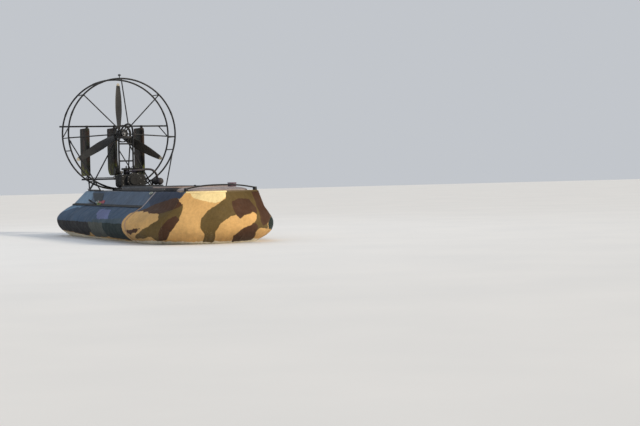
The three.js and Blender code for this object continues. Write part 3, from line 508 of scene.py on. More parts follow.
def new_group(name: str, takes: dict[str, str], gives: dict[str, str]) -> tuple[Web, dict, bpy.types.Node]:
    """Starts a shader node group.

    Args:
        name: the group's name.
        takes: the inputs and their socket types, such as Float.
        gives: the outputs and their socket types.

    Returns:
        The web to build in, the inputs by name, and the output node.
    """
    tree = bpy.data.node_groups.new(name, "ShaderNodeTree")
    for key, kind in takes.items():
        tree.interface.new_socket(key, in_out="INPUT", socket_type="NodeSocket" + kind)
    for key, kind in gives.items():
        tree.interface.new_socket(key, in_out="OUTPUT", socket_type="NodeSocket" + kind)
    inside = tree.nodes.new("NodeGroupInput")
    return Web(tree), {key: inside.outputs[key] for key in takes}, tree.nodes.new("NodeGroupOutput")


@cache
def grain_effect() -> bpy.types.NodeTree:
    """Builds the group for fine moulded or sprayed grain: a height and a value that varies the gloss."""
    web, takes, gives = new_group("fine_grain", {"Place": "Vector", "Scale": "Float"},
                                  {"Height": "Float", "Gloss": "Float"})
    fine = web.put("TexNoise", None, Vector=takes["Place"], Scale=takes["Scale"], Detail=4).outputs[0]
    cells = web.put("TexVoronoi", None, Vector=takes["Place"], Scale=takes["Scale"]).outputs["Distance"]
    web.feed(gives.inputs["Height"], web.reckon("ADD", fine, web.times(cells, 0.6)))
    broad = web.cloud(takes["Place"], 9, 4, 0.6)
    web.feed(gives.inputs["Gloss"], web.reckon("MULTIPLY_ADD", fine, 0.3, web.times(broad, 0.7)))
    return web.tree


@cache
def wear_effect() -> bpy.types.NodeTree:
    """Builds the group that finds worn edges: a mask broken up by noise."""
    web, takes, gives = new_group("edge_wear", {"Place": "Vector", "Width": "Float", "Amount": "Float"},
                                  {"Mask": "Float"})
    eased = web.put("Bevel", {"samples": 4}, Radius=takes["Width"]).outputs[0]
    true = web.put("NewGeometry").outputs["Normal"]
    facing = web.put("VectorMath", {"operation": "DOT_PRODUCT"})
    for socket, value in zip(facing.inputs, (eased, true)):
        web.feed(socket, value)
    turn = web.reckon("SUBTRACT", 1, facing.outputs["Value"])
    chips = web.cloud(takes["Place"], 60, 5, 0.65)
    edge = web.between(turn, 0.02, 0.2)
    broken = web.between(chips, 0.45, 0.62)
    web.feed(gives.inputs["Mask"], web.times(web.times(edge, broken), takes["Amount"]))
    return web.tree


@cache
def grime_effect() -> bpy.types.NodeTree:
    """Builds the group for dried spray and dust: a mask that is stronger low down."""
    web, takes, gives = new_group("dried_spray", {"Place": "Vector", "Amount": "Float"},
                                  {"Mask": "Float", "Spots": "Float"})
    broad = web.cloud(takes["Place"], 3.5, 6, 0.62, 0.4)
    spots = web.cloud(takes["Place"], 45, 3, 0.6)
    height = web.part(takes["Place"], "Z")
    low = web.between(height, 0.05, 0.75, 1, 0.25)
    mask = web.times(web.times(web.between(broad, 0.42, 0.7), low), takes["Amount"])
    web.feed(gives.inputs["Mask"], mask)
    web.feed(gives.inputs["Spots"], web.times(web.between(spots, 0.62, 0.7), takes["Amount"]))
    return web.tree


@cache
def weave_effect() -> bpy.types.NodeTree:
    """Builds the group for coated woven cloth: crossing threads as a height."""
    web, takes, gives = new_group("coated_weave", {"Place": "Vector", "Threads": "Float"},
                                  {"Height": "Float"})
    waves = []
    for axis in "XY":
        threads = web.times(web.part(takes["Place"], axis), takes["Threads"])
        waves.append(web.reckon("ABSOLUTE", web.reckon("SINE", threads)))
    web.feed(gives.inputs["Height"], web.reckon("MAXIMUM", *waves))
    return web.tree


@cache
def patch_effect() -> bpy.types.NodeTree:
    """Builds the group that turns a patch's distance into a mask with a ragged sprayed edge."""
    web, takes, gives = new_group("patch_edge", {"Distance": "Float", "Lay": "Vector"}, {"Mask": "Float"})
    broad = web.reckon("SUBTRACT", web.cloud(takes["Lay"], 9, 3, 0.55), 0.5)
    fine = web.reckon("SUBTRACT", web.cloud(takes["Lay"], 55, 2, 0.5), 0.5)
    ragged = web.reckon("ADD", takes["Distance"],
                        web.reckon("MULTIPLY_ADD", fine, 0.006, web.times(broad, 0.045)))
    web.feed(gives.inputs["Mask"], web.between(ragged, -0.004, 0.004, soft=True))
    return web.tree


# Finishes


@dataclass(frozen=True)
class Finish:
    """One finish of the craft, as a procedural material.

    Attributes:
        slot: the record's material slot that it belongs to.
        colour: its main colour, linear.
        second: the colour of its lighter or dustier places.
        roughness: its middle roughness.
        metallic: 0 or 1.
        grain: bumps a metre.
        depth: the bumps' depth in metres.
        wear: how much its edges show bare.
        bare: the colour under a worn edge.
        dirt: how much dried spray lies on it.
        coat: clear coat.
        broad: how strongly broad noise varies the colour.
        shine: level of its mirror-like reflection.
    """

    slot: str
    colour: Colour
    second: Colour = (0.25, 0.23, 0.2, 1)
    roughness: float = 0.5
    metallic: float = 0
    grain: float = 700
    depth: float = 0.0003
    wear: float = 0.5
    bare: Colour = (0.35, 0.34, 0.32, 1)
    dirt: float = 0.5
    coat: float = 0
    broad: float = 0.25
    shine: float = 0.5

    @cache
    def material(self) -> bpy.types.Material:
        """Builds the material, or gives it again."""
        made = bpy.data.materials.new(self.slot)
        made.use_nodes = True
        made.node_tree.nodes.clear()
        web = Web(made.node_tree)
        out = web.put("OutputMaterial")
        shader = web.put("BsdfPrincipled", None, Metallic=float(self.metallic), Coat_Weight=self.coat,
                         Specular_IOR_Level=self.shine)
        self.paint(web, shader)
        made.node_tree.links.new(shader.outputs[0], out.inputs[0])
        made.diffuse_color = self.colour
        return made

    def paint(self, web: Web, shader: bpy.types.Node) -> None:
        """Feeds the shader its colour, roughness and normal."""
        here = web.here()
        grain = web.effect(grain_effect(), Place=here, Scale=self.grain)
        worn = web.effect(wear_effect(), Place=here, Width=0.0025, Amount=self.wear).outputs["Mask"]
        dirt = web.effect(grime_effect(), Place=here, Amount=self.dirt)
        shade = web.between(web.cloud(here, 6, 5, 0.6), 0.3, 0.7, 1 - self.broad, 1 + self.broad)
        colour = web.shaded(self.colour, shade)
        colour = web.blend(web.times(dirt.outputs["Mask"], 0.7), colour, self.second)
        colour = web.blend(web.times(dirt.outputs["Spots"], 0.35), colour, self.second)
        colour = web.blend(worn, colour, self.bare)
        web.fill(shader, Base_Color=colour)
        rough = web.between(grain.outputs["Gloss"], 0.3, 0.7, self.roughness * 0.8,
                            min(1, self.roughness * 1.2))
        web.fill(shader, Roughness=web.reckon("MULTIPLY_ADD", dirt.outputs["Mask"], 0.25, rough, clamp=True))
        web.fill(shader, Normal=web.bump(grain.outputs["Height"], self.depth, 0.6))


@dataclass(frozen=True)
class BrushedMetal(Finish):
    """Bare metal with fine lines drawn along one way and darker stains."""

    stretch: tuple[float, float, float] = (4, 400, 4)
    grime: Colour = (0.12, 0.1, 0.08, 1)

    def paint(self, web: Web, shader: bpy.types.Node) -> None:
        """Feeds the shader drawn lines, stains and their gloss."""
        here = web.here()
        lines = web.cloud(web.stretched(here, self.stretch), 2, 4, 0.7)
        stain = web.cloud(here, 14, 5, 0.65, 0.6)
        dirt = web.effect(grime_effect(), Place=here, Amount=self.dirt)
        colour = web.blend(web.between(lines, 0.3, 0.7), self.colour, self.second)
        colour = web.blend(web.between(stain, 0.5, 0.72, 0, 0.6), colour, self.bare)
        web.fill(shader, Base_Color=web.blend(web.times(dirt.outputs["Mask"], 0.5), colour, self.grime))
        gloss = web.between(lines, 0.3, 0.7, self.roughness * 0.75, self.roughness * 1.25)
        web.fill(shader, Roughness=web.reckon("MULTIPLY_ADD", web.between(stain, 0.45, 0.7), 0.2, gloss,
                                              clamp=True))
        web.fill(shader, Normal=web.bump(lines, self.depth, 0.4))


class Tone(Enum):
    """The colours of the camouflage and of its painted shade and sky reflection, each with its linear colour.
    """

    # The first five, blue-grey tones are painted shade and painted sky reflection of the side turned from the
    # key light.
    SHADE_SLATE = (0.044, 0.076, 0.124, 1)
    MIST = (0.128, 0.215, 0.310, 1)
    SHADE_NAVY = (0.030, 0.041, 0.069, 1)
    SHADE_LILAC = (0.120, 0.142, 0.262, 1)
    SHADE_TEAL = (0.049, 0.074, 0.093, 1)
    SAGE = (0.068, 0.074, 0.063, 1)
    # A pale hem band, brightened as a painted highlight along the hem that faces down.
    CREAM_HIGHLIGHT = (0.800, 0.720, 0.560, 1)
    STRAW = (0.745, 0.590, 0.300, 1)
    GREEN = (0.009, 0.021, 0.020, 1)
    OLIVE = (0.110, 0.072, 0.024, 1)
    BROWN = (0.064, 0.029, 0.015, 1)
    DARK = (0.013, 0.013, 0.015, 1)

    @property
    def layer(self) -> str:
        """Names the mesh attribute that holds the distance into this tone's patches."""
        return "into_" + self.name.lower()


@dataclass(frozen=True)
class CamouflageCloth(Finish):
    """Coated cloth in patches of several tones, some of them painted shade, with dried spray, scuffs and a
    weave.
    """

    cloth: bool = True
    silt: Colour = (0.11, 0.085, 0.055, 1)
    fleck: Colour = (0.62, 0.50, 0.33, 1)

    def paint(self, web: Web, shader: bpy.types.Node) -> None:
        """Feeds the shader the patches, their fading and the weave."""
        lay = web.stored("lay", "Vector")
        here = web.here()
        colour = self.colour
        for tone in Tone:
            mask = web.effect(patch_effect(), Distance=web.stored(tone.layer), Lay=lay).outputs["Mask"]
            colour = web.blend(mask, colour, tone.value)
        fade = web.between(web.cloud(lay, 2.2, 5, 0.6, 0.3), 0.3, 0.7, 0.78, 1.2)
        mottle = web.between(web.cloud(lay, 24, 4, 0.7), 0.3, 0.7, 0.86, 1.12)
        shade = web.times(fade, mottle)
        colour = web.shaded(colour, shade)
        dirt = web.effect(grime_effect(), Place=here, Amount=self.dirt)
        colour = web.blend(web.times(dirt.outputs["Mask"], 0.45), colour, self.second)
        height = web.part(here, "Z")
        streaks = web.cloud(web.stretched(lay, (30, 3, 1)), 1, 4, 0.6)
        damp = web.times(web.between(height, 0.16, 0.02), web.between(streaks, 0.38, 0.62))
        colour = web.blend(web.times(damp, 0.14), colour, self.silt)
        flecks = web.times(web.between(web.cloud(lay, 120, 3, 0.6), 0.60, 0.66),
                           web.between(web.cloud(lay, 5, 3), 0.5, 0.6))
        flecks = web.times(flecks, web.between(height, 0.24, 0.12))
        colour = web.blend(web.times(flecks, 0.55), colour, self.fleck)
        web.fill(shader, Base_Color=colour)
        gloss = web.between(web.cloud(lay, 13, 4, 0.6), 0.3, 0.7, self.roughness * 0.85,
                            self.roughness * 1.15)
        web.fill(shader, Roughness=web.reckon("MULTIPLY_ADD", damp, -0.18, gloss, clamp=True))
        creases = web.cloud(web.stretched(lay, (9, 16, 1)), 1, 5, 0.55, 0.5)
        folds = web.bump(creases, 0.012 if self.cloth else 0.002, 0.7)
        if self.cloth:
            threads = web.effect(weave_effect(), Place=lay, Threads=2600.0).outputs["Height"]
            folds = web.bump(threads, 0.0002, 0.5, folds)
        web.fill(shader, Normal=folds)


@dataclass(frozen=True)
class LeatherCloth(Finish):
    """Seat vinyl with pebbled grain and soft creases."""

    groove: Colour = (0.008, 0.008, 0.008, 1)

    def paint(self, web: Web, shader: bpy.types.Node) -> None:
        """Feeds the shader the pebbles, creases and rubbed places."""
        here = web.here()
        pebbles = web.put("TexVoronoi", {"feature": "DISTANCE_TO_EDGE"}, Vector=here,
                          Scale=self.grain).outputs["Distance"]
        rubbed = web.between(web.cloud(here, 7, 4, 0.6), 0.45, 0.7)
        dirt = web.effect(grime_effect(), Place=here, Amount=self.dirt)
        colour = web.blend(web.times(rubbed, 0.4), self.colour, self.second)
        colour = web.blend(web.between(pebbles, 0, 0.06, 0.5, 0), colour, self.groove)
        web.fill(shader, Base_Color=web.blend(web.times(dirt.outputs["Mask"], 0.4), colour, self.bare))
        web.fill(shader, Roughness=web.between(rubbed, 0, 1, self.roughness, self.roughness * 0.75))
        creased = web.bump(web.cloud(here, 28, 4, 0.55, 0.8), 0.0016, 0.6)
        web.fill(shader, Normal=web.bump(web.between(pebbles, 0, 0.12), self.depth, 0.7, creased))


@dataclass(frozen=True)
class TrimRoll(LeatherCloth):
    """The coaming's padding: brown round the fore part of the cockpit, dark behind it."""

    aft: Colour = (0.020, 0.025, 0.034, 1)
    change: float = -1.07
    change_half: float = 0.02

    def paint(self, web: Web, shader: bpy.types.Node) -> None:
        """Feeds the shader the padding's vinyl, and the darker one from the change on."""
        super().paint(web, shader)
        vinyl = shader.inputs["Base Color"].links[0].from_socket
        along = web.part(web.here(), "Y")
        share = web.between(along, self.change - self.change_half, self.change + self.change_half)
        web.fill(shader, Base_Color=web.blend(share, vinyl, self.aft))


@dataclass(frozen=True)
class TippedBlade(Finish):
    """Propeller composite with fine lamination, pale tips and small nicks."""

    nick: Colour = (0.2, 0.18, 0.15, 1)
    tip_start: float = 0.712

    def paint(self, web: Web, shader: bpy.types.Node) -> None:
        """Feeds the shader the layers, tips and chips."""
        here = web.here()
        reach = web.stored("reach")
        layers = web.put("TexWave", {"wave_type": "BANDS", "bands_direction": "Y"}, Vector=here, Scale=60.0,
                         Distortion=3.0, Detail=3.0).outputs[0]
        colour = web.blend(web.between(layers, 0, 1, 0, 0.5), self.colour, self.second)
        rim = web.reckon("ADD", reach, web.times(web.cloud(here, 60, 2), 0.004))
        colour = web.blend(web.between(rim, self.tip_start, self.tip_start + 0.002), colour, self.bare)
        nicks = web.between(web.cloud(here, 160, 3, 0.7), 0.66, 0.7)
        web.fill(shader, Base_Color=web.blend(web.times(nicks, 0.5), colour, self.nick))
        web.fill(shader, Roughness=web.between(web.cloud(here, 22, 4), 0.3, 0.7, self.roughness * 0.8,
                                               self.roughness * 1.3))
        web.fill(shader, Normal=web.bump(web.cloud(here, self.grain, 3), self.depth, 0.5))


@dataclass(frozen=True)
class MottledSkin(Finish):
    """Painted skin in soft drifting patches of two tones, near black and moss, with rubbed edges."""

    moss: Colour = (0.105, 0.110, 0.022, 1)
    deep: Colour = (0.014, 0.012, 0.012, 1)

    def paint(self, web: Web, shader: bpy.types.Node) -> None:
        """Feeds the shader the patches, streaks and rubbed edges."""
        here = web.here()
        drift = web.stretched(here, (1, 1, 0.7))
        colour = web.blend(web.between(web.cloud(drift, 5.5, 2, 0.5, 0.4), 0.49, 0.52), self.colour,
                           self.second)
        colour = web.blend(web.between(web.cloud(drift, 8.0, 2, 0.5, 0.6), 0.55, 0.58), colour, self.deep)
        height = web.part(here, "Z")
        heel = web.times(web.between(height, 1.08, 0.98),
                         web.between(web.cloud(drift, 9.0, 2, 0.5, 0.3), 0.47, 0.50))
        colour = web.blend(web.times(heel, 0.85), colour, self.moss)
        streaks = web.cloud(web.stretched(here, (40, 40, 2)), 1, 4, 0.6)
        shade = web.between(streaks, 0.3, 0.7, 0.75, 1.3)
        colour = web.shaded(colour, shade)
        worn = web.effect(wear_effect(), Place=here, Width=0.004, Amount=self.wear).outputs["Mask"]
        web.fill(shader, Base_Color=web.blend(worn, colour, self.bare))
        web.fill(shader, Roughness=web.between(streaks, 0.3, 0.7, self.roughness * 0.85,
                                               self.roughness * 1.15))
        web.fill(shader, Normal=web.bump(web.cloud(here, self.grain, 3), self.depth, 0.5))


@dataclass(frozen=True)
class HeatedSteel(Finish):
    """Exhaust steel that is scaled and tinted by heat."""

    blued: Colour = (0.024, 0.024, 0.052, 1)

    def paint(self, web: Web, shader: bpy.types.Node) -> None:
        """Feeds the shader scale, rust and blued bands."""
        here = web.here()
        scale = web.cloud(here, 30, 6, 0.7, 0.5)
        colour = web.blend(web.between(scale, 0.4, 0.6), self.colour, self.second)
        tint = web.cloud(web.stretched(here, (9, 9, 9)), 1, 2, 0.4)
        colour = web.blend(web.between(tint, 0.5, 0.65, 0, 0.55), colour, self.blued)
        rust = web.between(web.cloud(here, 75, 4, 0.7), 0.58, 0.7)
        web.fill(shader, Base_Color=web.blend(web.times(rust, 0.7), colour, self.bare))
        web.fill(shader, Roughness=web.between(scale, 0.35, 0.65, self.roughness * 0.8,
                                               self.roughness * 1.25))
        web.fill(shader, Normal=web.bump(scale, self.depth, 0.6))


TAN = (0.578, 0.345, 0.130, 1)
SKIRT_CLOTH = CamouflageCloth("camo_skirt", TAN, (0.36, 0.31, 0.24, 1), roughness=0.66, dirt=0.09, shine=0.14)
HULL_SHELL = CamouflageCloth("camo_hull", TAN, (0.36, 0.31, 0.24, 1), roughness=0.5, dirt=0.09, shine=0.2,
                             cloth=False)
SEAM_TAPE = Finish("camo_skirt", (0.30, 0.27, 0.28, 1), (0.34, 0.3, 0.26, 1), roughness=0.7, grain=900,
                   wear=0, dirt=0.8, shine=0.25)
LOW_TAPE = Finish("camo_skirt", (0.40, 0.235, 0.135, 1), (0.34, 0.3, 0.26, 1), roughness=0.7, grain=900,
                  wear=0, dirt=0.5, shine=0.25)
SEAM_THREAD = Finish("camo_skirt", (0.20, 0.145, 0.090, 1), (0.24, 0.19, 0.13, 1), roughness=0.7, grain=900,
                     wear=0, dirt=0.4, shine=0.2)
FRAME_BLACK = Finish("black_frame", (0.007, 0.007, 0.008, 1), (0.06, 0.055, 0.05, 1), roughness=0.45,
                     wear=0.5, dirt=0.2, bare=(0.16, 0.15, 0.14, 1), shine=0.3)
ENGINE_CAST = Finish("engine_metal", (0.013, 0.013, 0.013, 1), (0.045, 0.042, 0.034, 1), roughness=0.62,
                     grain=420, depth=0.0006, wear=0.7, bare=(0.14, 0.13, 0.12, 1), dirt=0.35, shine=0.25)
ALLOY = Finish("engine_metal", (0.085, 0.085, 0.088, 1), (0.11, 0.10, 0.09, 1), roughness=0.5, metallic=1,
               grain=500, wear=0.3, dirt=0.7)
BARE_STEEL = BrushedMetal("bare_steel", (0.20, 0.20, 0.205, 1), (0.32, 0.32, 0.325, 1), roughness=0.38,
                          metallic=1, bare=(0.10, 0.08, 0.065, 1))
RUBBER = Finish("black_rubber", (0.010, 0.010, 0.010, 1), (0.10, 0.095, 0.085, 1), roughness=0.78, grain=300,
                depth=0.0005, wear=0.3, bare=(0.06, 0.058, 0.055, 1), dirt=0.6)
RUDDER_SKIN = MottledSkin("rudder_skin", (0.026, 0.027, 0.018, 1), (0.040, 0.026, 0.020, 1), roughness=0.72,
                          grain=240, depth=0.0006, wear=0.6, bare=(0.16, 0.11, 0.05, 1), shine=0.12)
PROP_SKIN = TippedBlade("prop_composite", (0.012, 0.012, 0.012, 1), (0.03, 0.028, 0.026, 1), roughness=0.4,
                        grain=500, bare=(0.36, 0.33, 0.27, 1), shine=0.4)
DECK_TRIM = Finish("deck_trim", (0.020, 0.020, 0.023, 1), (0.16, 0.15, 0.13, 1), roughness=0.6, grain=480,
                   depth=0.0005, wear=0.5, dirt=0.4)
TRIM_PAD = TrimRoll("deck_trim", (0.25, 0.185, 0.165, 1), (0.33, 0.26, 0.22, 1), roughness=0.6, grain=520,
                    depth=0.0004, bare=(0.3, 0.27, 0.22, 1))
FOREDECK_SKIN = Finish("foredeck_panel", (0.255, 0.205, 0.195, 1), (0.38, 0.34, 0.30, 1), roughness=0.55,
                       grain=260, depth=0.0006, wear=0.2, dirt=0.6, coat=0.1)
SEAT_VINYL = LeatherCloth("seat_vinyl", (0.022, 0.022, 0.024, 1), (0.06, 0.058, 0.056, 1), roughness=0.5,
                          grain=480, depth=0.0004, bare=(0.16, 0.14, 0.12, 1))
TUB_MOULDING = Finish("cockpit_moulding", (0.060, 0.062, 0.060, 1), (0.2, 0.18, 0.15, 1), roughness=0.7,
                      grain=340, depth=0.0008, wear=0.3, dirt=0.7)
DECK_GRIP = Finish("camo_hull", (0.040, 0.046, 0.055, 1), (0.20, 0.18, 0.15, 1), roughness=0.82, grain=520,
                   depth=0.0012, wear=0.2, dirt=0.7)
PALE_TRIM = Finish("deck_trim", (0.60, 0.55, 0.45, 1), (0.3, 0.27, 0.22, 1), roughness=0.5, grain=300,
                   wear=0.2, dirt=0.5)
LAMP_SMOKED = Finish("light_lens", (0.045, 0.045, 0.050, 1), (0.12, 0.11, 0.10, 1), roughness=0.15, grain=120,
                     depth=0.0003, wear=0, dirt=0.2, coat=0.2, broad=0.08)
# The exhaust's base colour is darkened and cooled towards blue as painted shade.
SHADED_HOT_STEEL = HeatedSteel("exhaust_steel", (0.017, 0.016, 0.019, 1), (0.036, 0.030, 0.030, 1), roughness=0.6,
                        bare=(0.060, 0.026, 0.013, 1), depth=0.0008, shine=0.35)
BOX_SHELL = Finish("box_moulding", (0.095, 0.045, 0.070, 1), (0.20, 0.17, 0.16, 1), roughness=0.5, grain=420,
                   wear=0.5)
STEP_RUBBER = Finish("black_rubber", (0.045, 0.055, 0.065, 1), (0.11, 0.10, 0.09, 1), roughness=0.8,
                     grain=260, depth=0.0006, wear=0.4, bare=(0.10, 0.10, 0.10, 1), dirt=0.5, shine=0.3)
RED_WEBBING = LeatherCloth("seat_vinyl", (0.30, 0.045, 0.065, 1), (0.36, 0.10, 0.10, 1), roughness=0.7,
                           grain=900, depth=0.0002, bare=(0.2, 0.12, 0.1, 1))
LIME_ROPE = LeatherCloth("seat_vinyl", (0.20, 0.24, 0.035, 1), (0.30, 0.32, 0.10, 1), roughness=0.8,
                         grain=700, depth=0.0003, bare=(0.2, 0.18, 0.12, 1))
PALE_ROPE = LeatherCloth("seat_vinyl", (0.42, 0.44, 0.36, 1), (0.55, 0.54, 0.46, 1), roughness=0.85,
                         grain=700, depth=0.0003, bare=(0.3, 0.27, 0.22, 1))
SKID_WEAR = Finish("skid_wear", (0.045, 0.044, 0.042, 1), (0.2, 0.18, 0.15, 1), roughness=0.7, grain=200,
                   depth=0.001, wear=0.9, dirt=0.9)


def show(piece: bpy.types.Object, finish: Finish, body: str, *nodes: str) -> bpy.types.Object:
    """Dresses a piece and places it on its body.

    Args:
        piece: the finished object.
        finish: what it is covered with.
        body: the body that it rides on.
        nodes: the solids that it stands for.

    Returns:
        The same object.
    """
    piece.data.materials.clear()
    piece.data.materials.append(finish.material())
    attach(piece, body)
    if nodes:
        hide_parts(*nodes)
    log.info("%s: %s faces on %s", piece.name, len(piece.data.polygons), body)
    return piece


def fitted(name: str, pieces: Iterable[bpy.types.Object], finish: Finish, node: str = "", body: str = "craft",
           angle: float = SMOOTH_ANGLE) -> None:
    """Joins pieces, dresses them and places them on their body.

    Args:
        name: the joined piece's name.
        pieces: what it is made of.
        finish: what it is covered with.
        node: the solid that it stands for, if there is one.
        body: the body that it rides on.
        angle: the widest angle between faces that is shaded smooth.
    """
    show(smooth(joined(name, *pieces), angle), finish, body, *filter(None, [node]))


def bolted(name: str, places: Sequence[tuple[Vector, Vector]], size: float, body: str = "craft") -> None:
    """Sets steel bolts at places, as bolts() does, on their body."""
    show(smooth(bolts(name, places, size)), BARE_STEEL, body)


def riveted(name: str, profile: Sequence[tuple[float, float]], places: Sequence[tuple[Vector, Vector]],
            steps: int, finish: Finish, body: str = "craft") -> None:
    """Sets turned rivet heads on a body.

    Args:
        name: the joined piece's name.
        profile: the head's radius and height from its edge to its top.
        places: pairs of a point on a surface and the direction that the head faces.
        steps: pieces round a head.
        finish: what they are made of.
        body: the body that they ride on.
    """
    head = spun("rivet", profile, Vector(), UP, steps)
    show(smooth(copies(name, head, [laid_at(point, way) for point, way in places])), finish, body)


def redress(node: str, finish: Finish) -> None:
    """Gives a solid that stays its detailed material."""
    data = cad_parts[node].data
    if not data.materials:
        data.materials.append(None)
    for index in range(len(data.materials)):
        data.materials[index] = finish.material()
    log.info("%s stays, in %s", node, finish.slot)


# The craft's outlines and its skirt


@dataclass(frozen=True)
class PlanLine:
    """Half an outline of the craft in plan, from the middle of the stern to the nose."""

    half: float
    stern: float
    corner: float
    bend: tuple[float, float]
    crease: tuple[float, float]
    turn: tuple[float, float]
    nose: float

    STERN_STEPS = 14
    CORNER_STEPS = 26
    SIDE_STEPS = 130
    BEND_STEPS = 54
    FRONT_STEPS = 40
    SEAM_AHEAD = 3050

    def points(self) -> np.ndarray:
        """Gives the outline as rows of half width and ahead."""
        corner_start = self.half - self.corner
        rows = [(corner_start * i / self.STERN_STEPS, self.stern) for i in range(self.STERN_STEPS)]
        for i in range(self.CORNER_STEPS + 1):
            turn = math.pi / 2 * i / self.CORNER_STEPS
            rows.append((self.half - self.corner * (1 - math.sin(turn)),
                         self.stern + self.corner * (1 - math.cos(turn))))
        side_start = self.stern + self.corner
        rows += [(self.half, side_start + (self.SEAM_AHEAD - side_start) * i / self.SIDE_STEPS)
                 for i in range(1, self.SIDE_STEPS + 1)]
        rows += self.curve((self.half, self.SEAM_AHEAD), self.bend, self.crease, self.BEND_STEPS)
        rows += self.curve(self.crease, self.turn, (0, self.nose), self.FRONT_STEPS)
        return np.array(rows, float)

    @staticmethod
    def curve(start: tuple, pull: tuple, end: tuple, steps: int) -> list[tuple[float, float]]:
        """Gives the points after the first one of a curve drawn towards one pulling point."""
        shares = [i / steps for i in range(1, steps + 1)]
        return [tuple((1 - t) ** 2 * a + 2 * t * (1 - t) * b + t * t * c
                      for a, b, c in zip(start, pull, end)) for t in shares]

    @classmethod
    def seam_column(cls) -> int:
        """Gives the outline's point at the seam between side and bow."""
        return cls.STERN_STEPS + cls.CORNER_STEPS + cls.SIDE_STEPS


DECK_LINE = PlanLine(500, -450, 220, (498, 3600), (487, 4150), (250, 4172), 4172).points()
WIDE_LINE = PlanLine(920, -800, 500, (925, 3700), (720, 3960), (400, 4250), 4250).points()
HEM_LINE = PlanLine(740, -640, 420, (745, 3450), (620, 3690), (360, 4030), 4030).points()
KEEL_LINE = PlanLine(560, -520, 240, (556, 3350), (430, 3700), (240, 3800), 3800).points()
RAIL_SHARE = 0.452
DECK_Z = 650
ON_DECK = DECK_Z + 0.4
RAIL_Z = 450
KEEL_Z = 120
BOW_THICK = 28
DUCT_AHEAD = 940
DUCT_RADIUS = 275
CRANK_Z = 800


def drawn(first: np.ndarray, second: np.ndarray, share: float) -> np.ndarray:
    """Gives the outline a share of the way from one to another."""
    return first + (second - first) * share


def grown(line: np.ndarray, reach: float, bow_reach: float = 0) -> np.ndarray:
    """Moves an outline outwards, and its bow by bow_reach as well."""
    slope = np.gradient(line, axis=0)
    slope /= np.linalg.norm(slope, axis=1, keepdims=True)
    normal = np.stack([slope[:, 1], -slope[:, 0]], axis=1)
    reaches = np.full(len(line), float(reach))
    reaches[PlanLine.seam_column() + 1:] += bow_reach
    moved = line + normal * reaches[:, None]
    moved[[0, -1], 0] = 0
    moved[0, 1], moved[-1, 1] = line[0, 1] - reach, line[-1, 1] + reach + bow_reach
    return moved


def whole(line: np.ndarray) -> np.ndarray:
    """Gives both sides of an outline, from the stern along port to the bow and back along starboard."""
    back = line[1:-1][::-1] * (-1, 1)
    return np.concatenate([line, back])


RAIL_LINE = drawn(DECK_LINE, WIDE_LINE, RAIL_SHARE)
LAY_LENGTH = np.concatenate([[0], np.cumsum(np.linalg.norm(np.diff(WIDE_LINE, axis=0), axis=1))])
LAY_ALONG = (LAY_LENGTH[-1] - LAY_LENGTH) / 1000
CAMERA_PLACE = Vector((-6.6512, -20.4658, 0.857))
CAMERA_YAW, CAMERA_PITCH, CAMERA_ROLL = 23.81, -1.5, -1.23
FOCAL_PIXELS, FRAME_WIDTH = 1564, 640


@dataclass(frozen=True)
class Patch:
    """A patch of camouflage as a polygon over the lay.

    Attributes:
        tone: its colour.
        corners: metres along the widest line from the bow, below nought to starboard, and metres up.
    """

    tone: Tone
    corners: tuple[tuple[float, float], ...]

    def depth(self, lay: np.ndarray) -> np.ndarray:
        """Gives how far each point of the lay is inside the patch, below nought outside it.

        Args:
            lay: rows of distance along and height.

        Returns:
            One signed distance for each row, in metres.
        """
        nearest = np.full(len(lay), 9.0)
        inside = np.zeros(len(lay), bool)
        ends = np.array(self.corners)
        for start, end in zip(ends, np.roll(ends, -1, axis=0)):
            side = end - start
            share = np.clip(((lay - start) @ side) / (side @ side), 0, 1)
            nearest = np.minimum(nearest, np.linalg.norm(lay - start - share[:, None] * side, axis=1))
            crosses = (start[1] > lay[:, 1]) != (end[1] > lay[:, 1])
            rise = side[1] if side[1] else 1e-9
            inside ^= crosses & (lay[:, 0] < start[0] + side[0] * (lay[:, 1] - start[1]) / rise)
        return np.where(inside, nearest, -nearest)


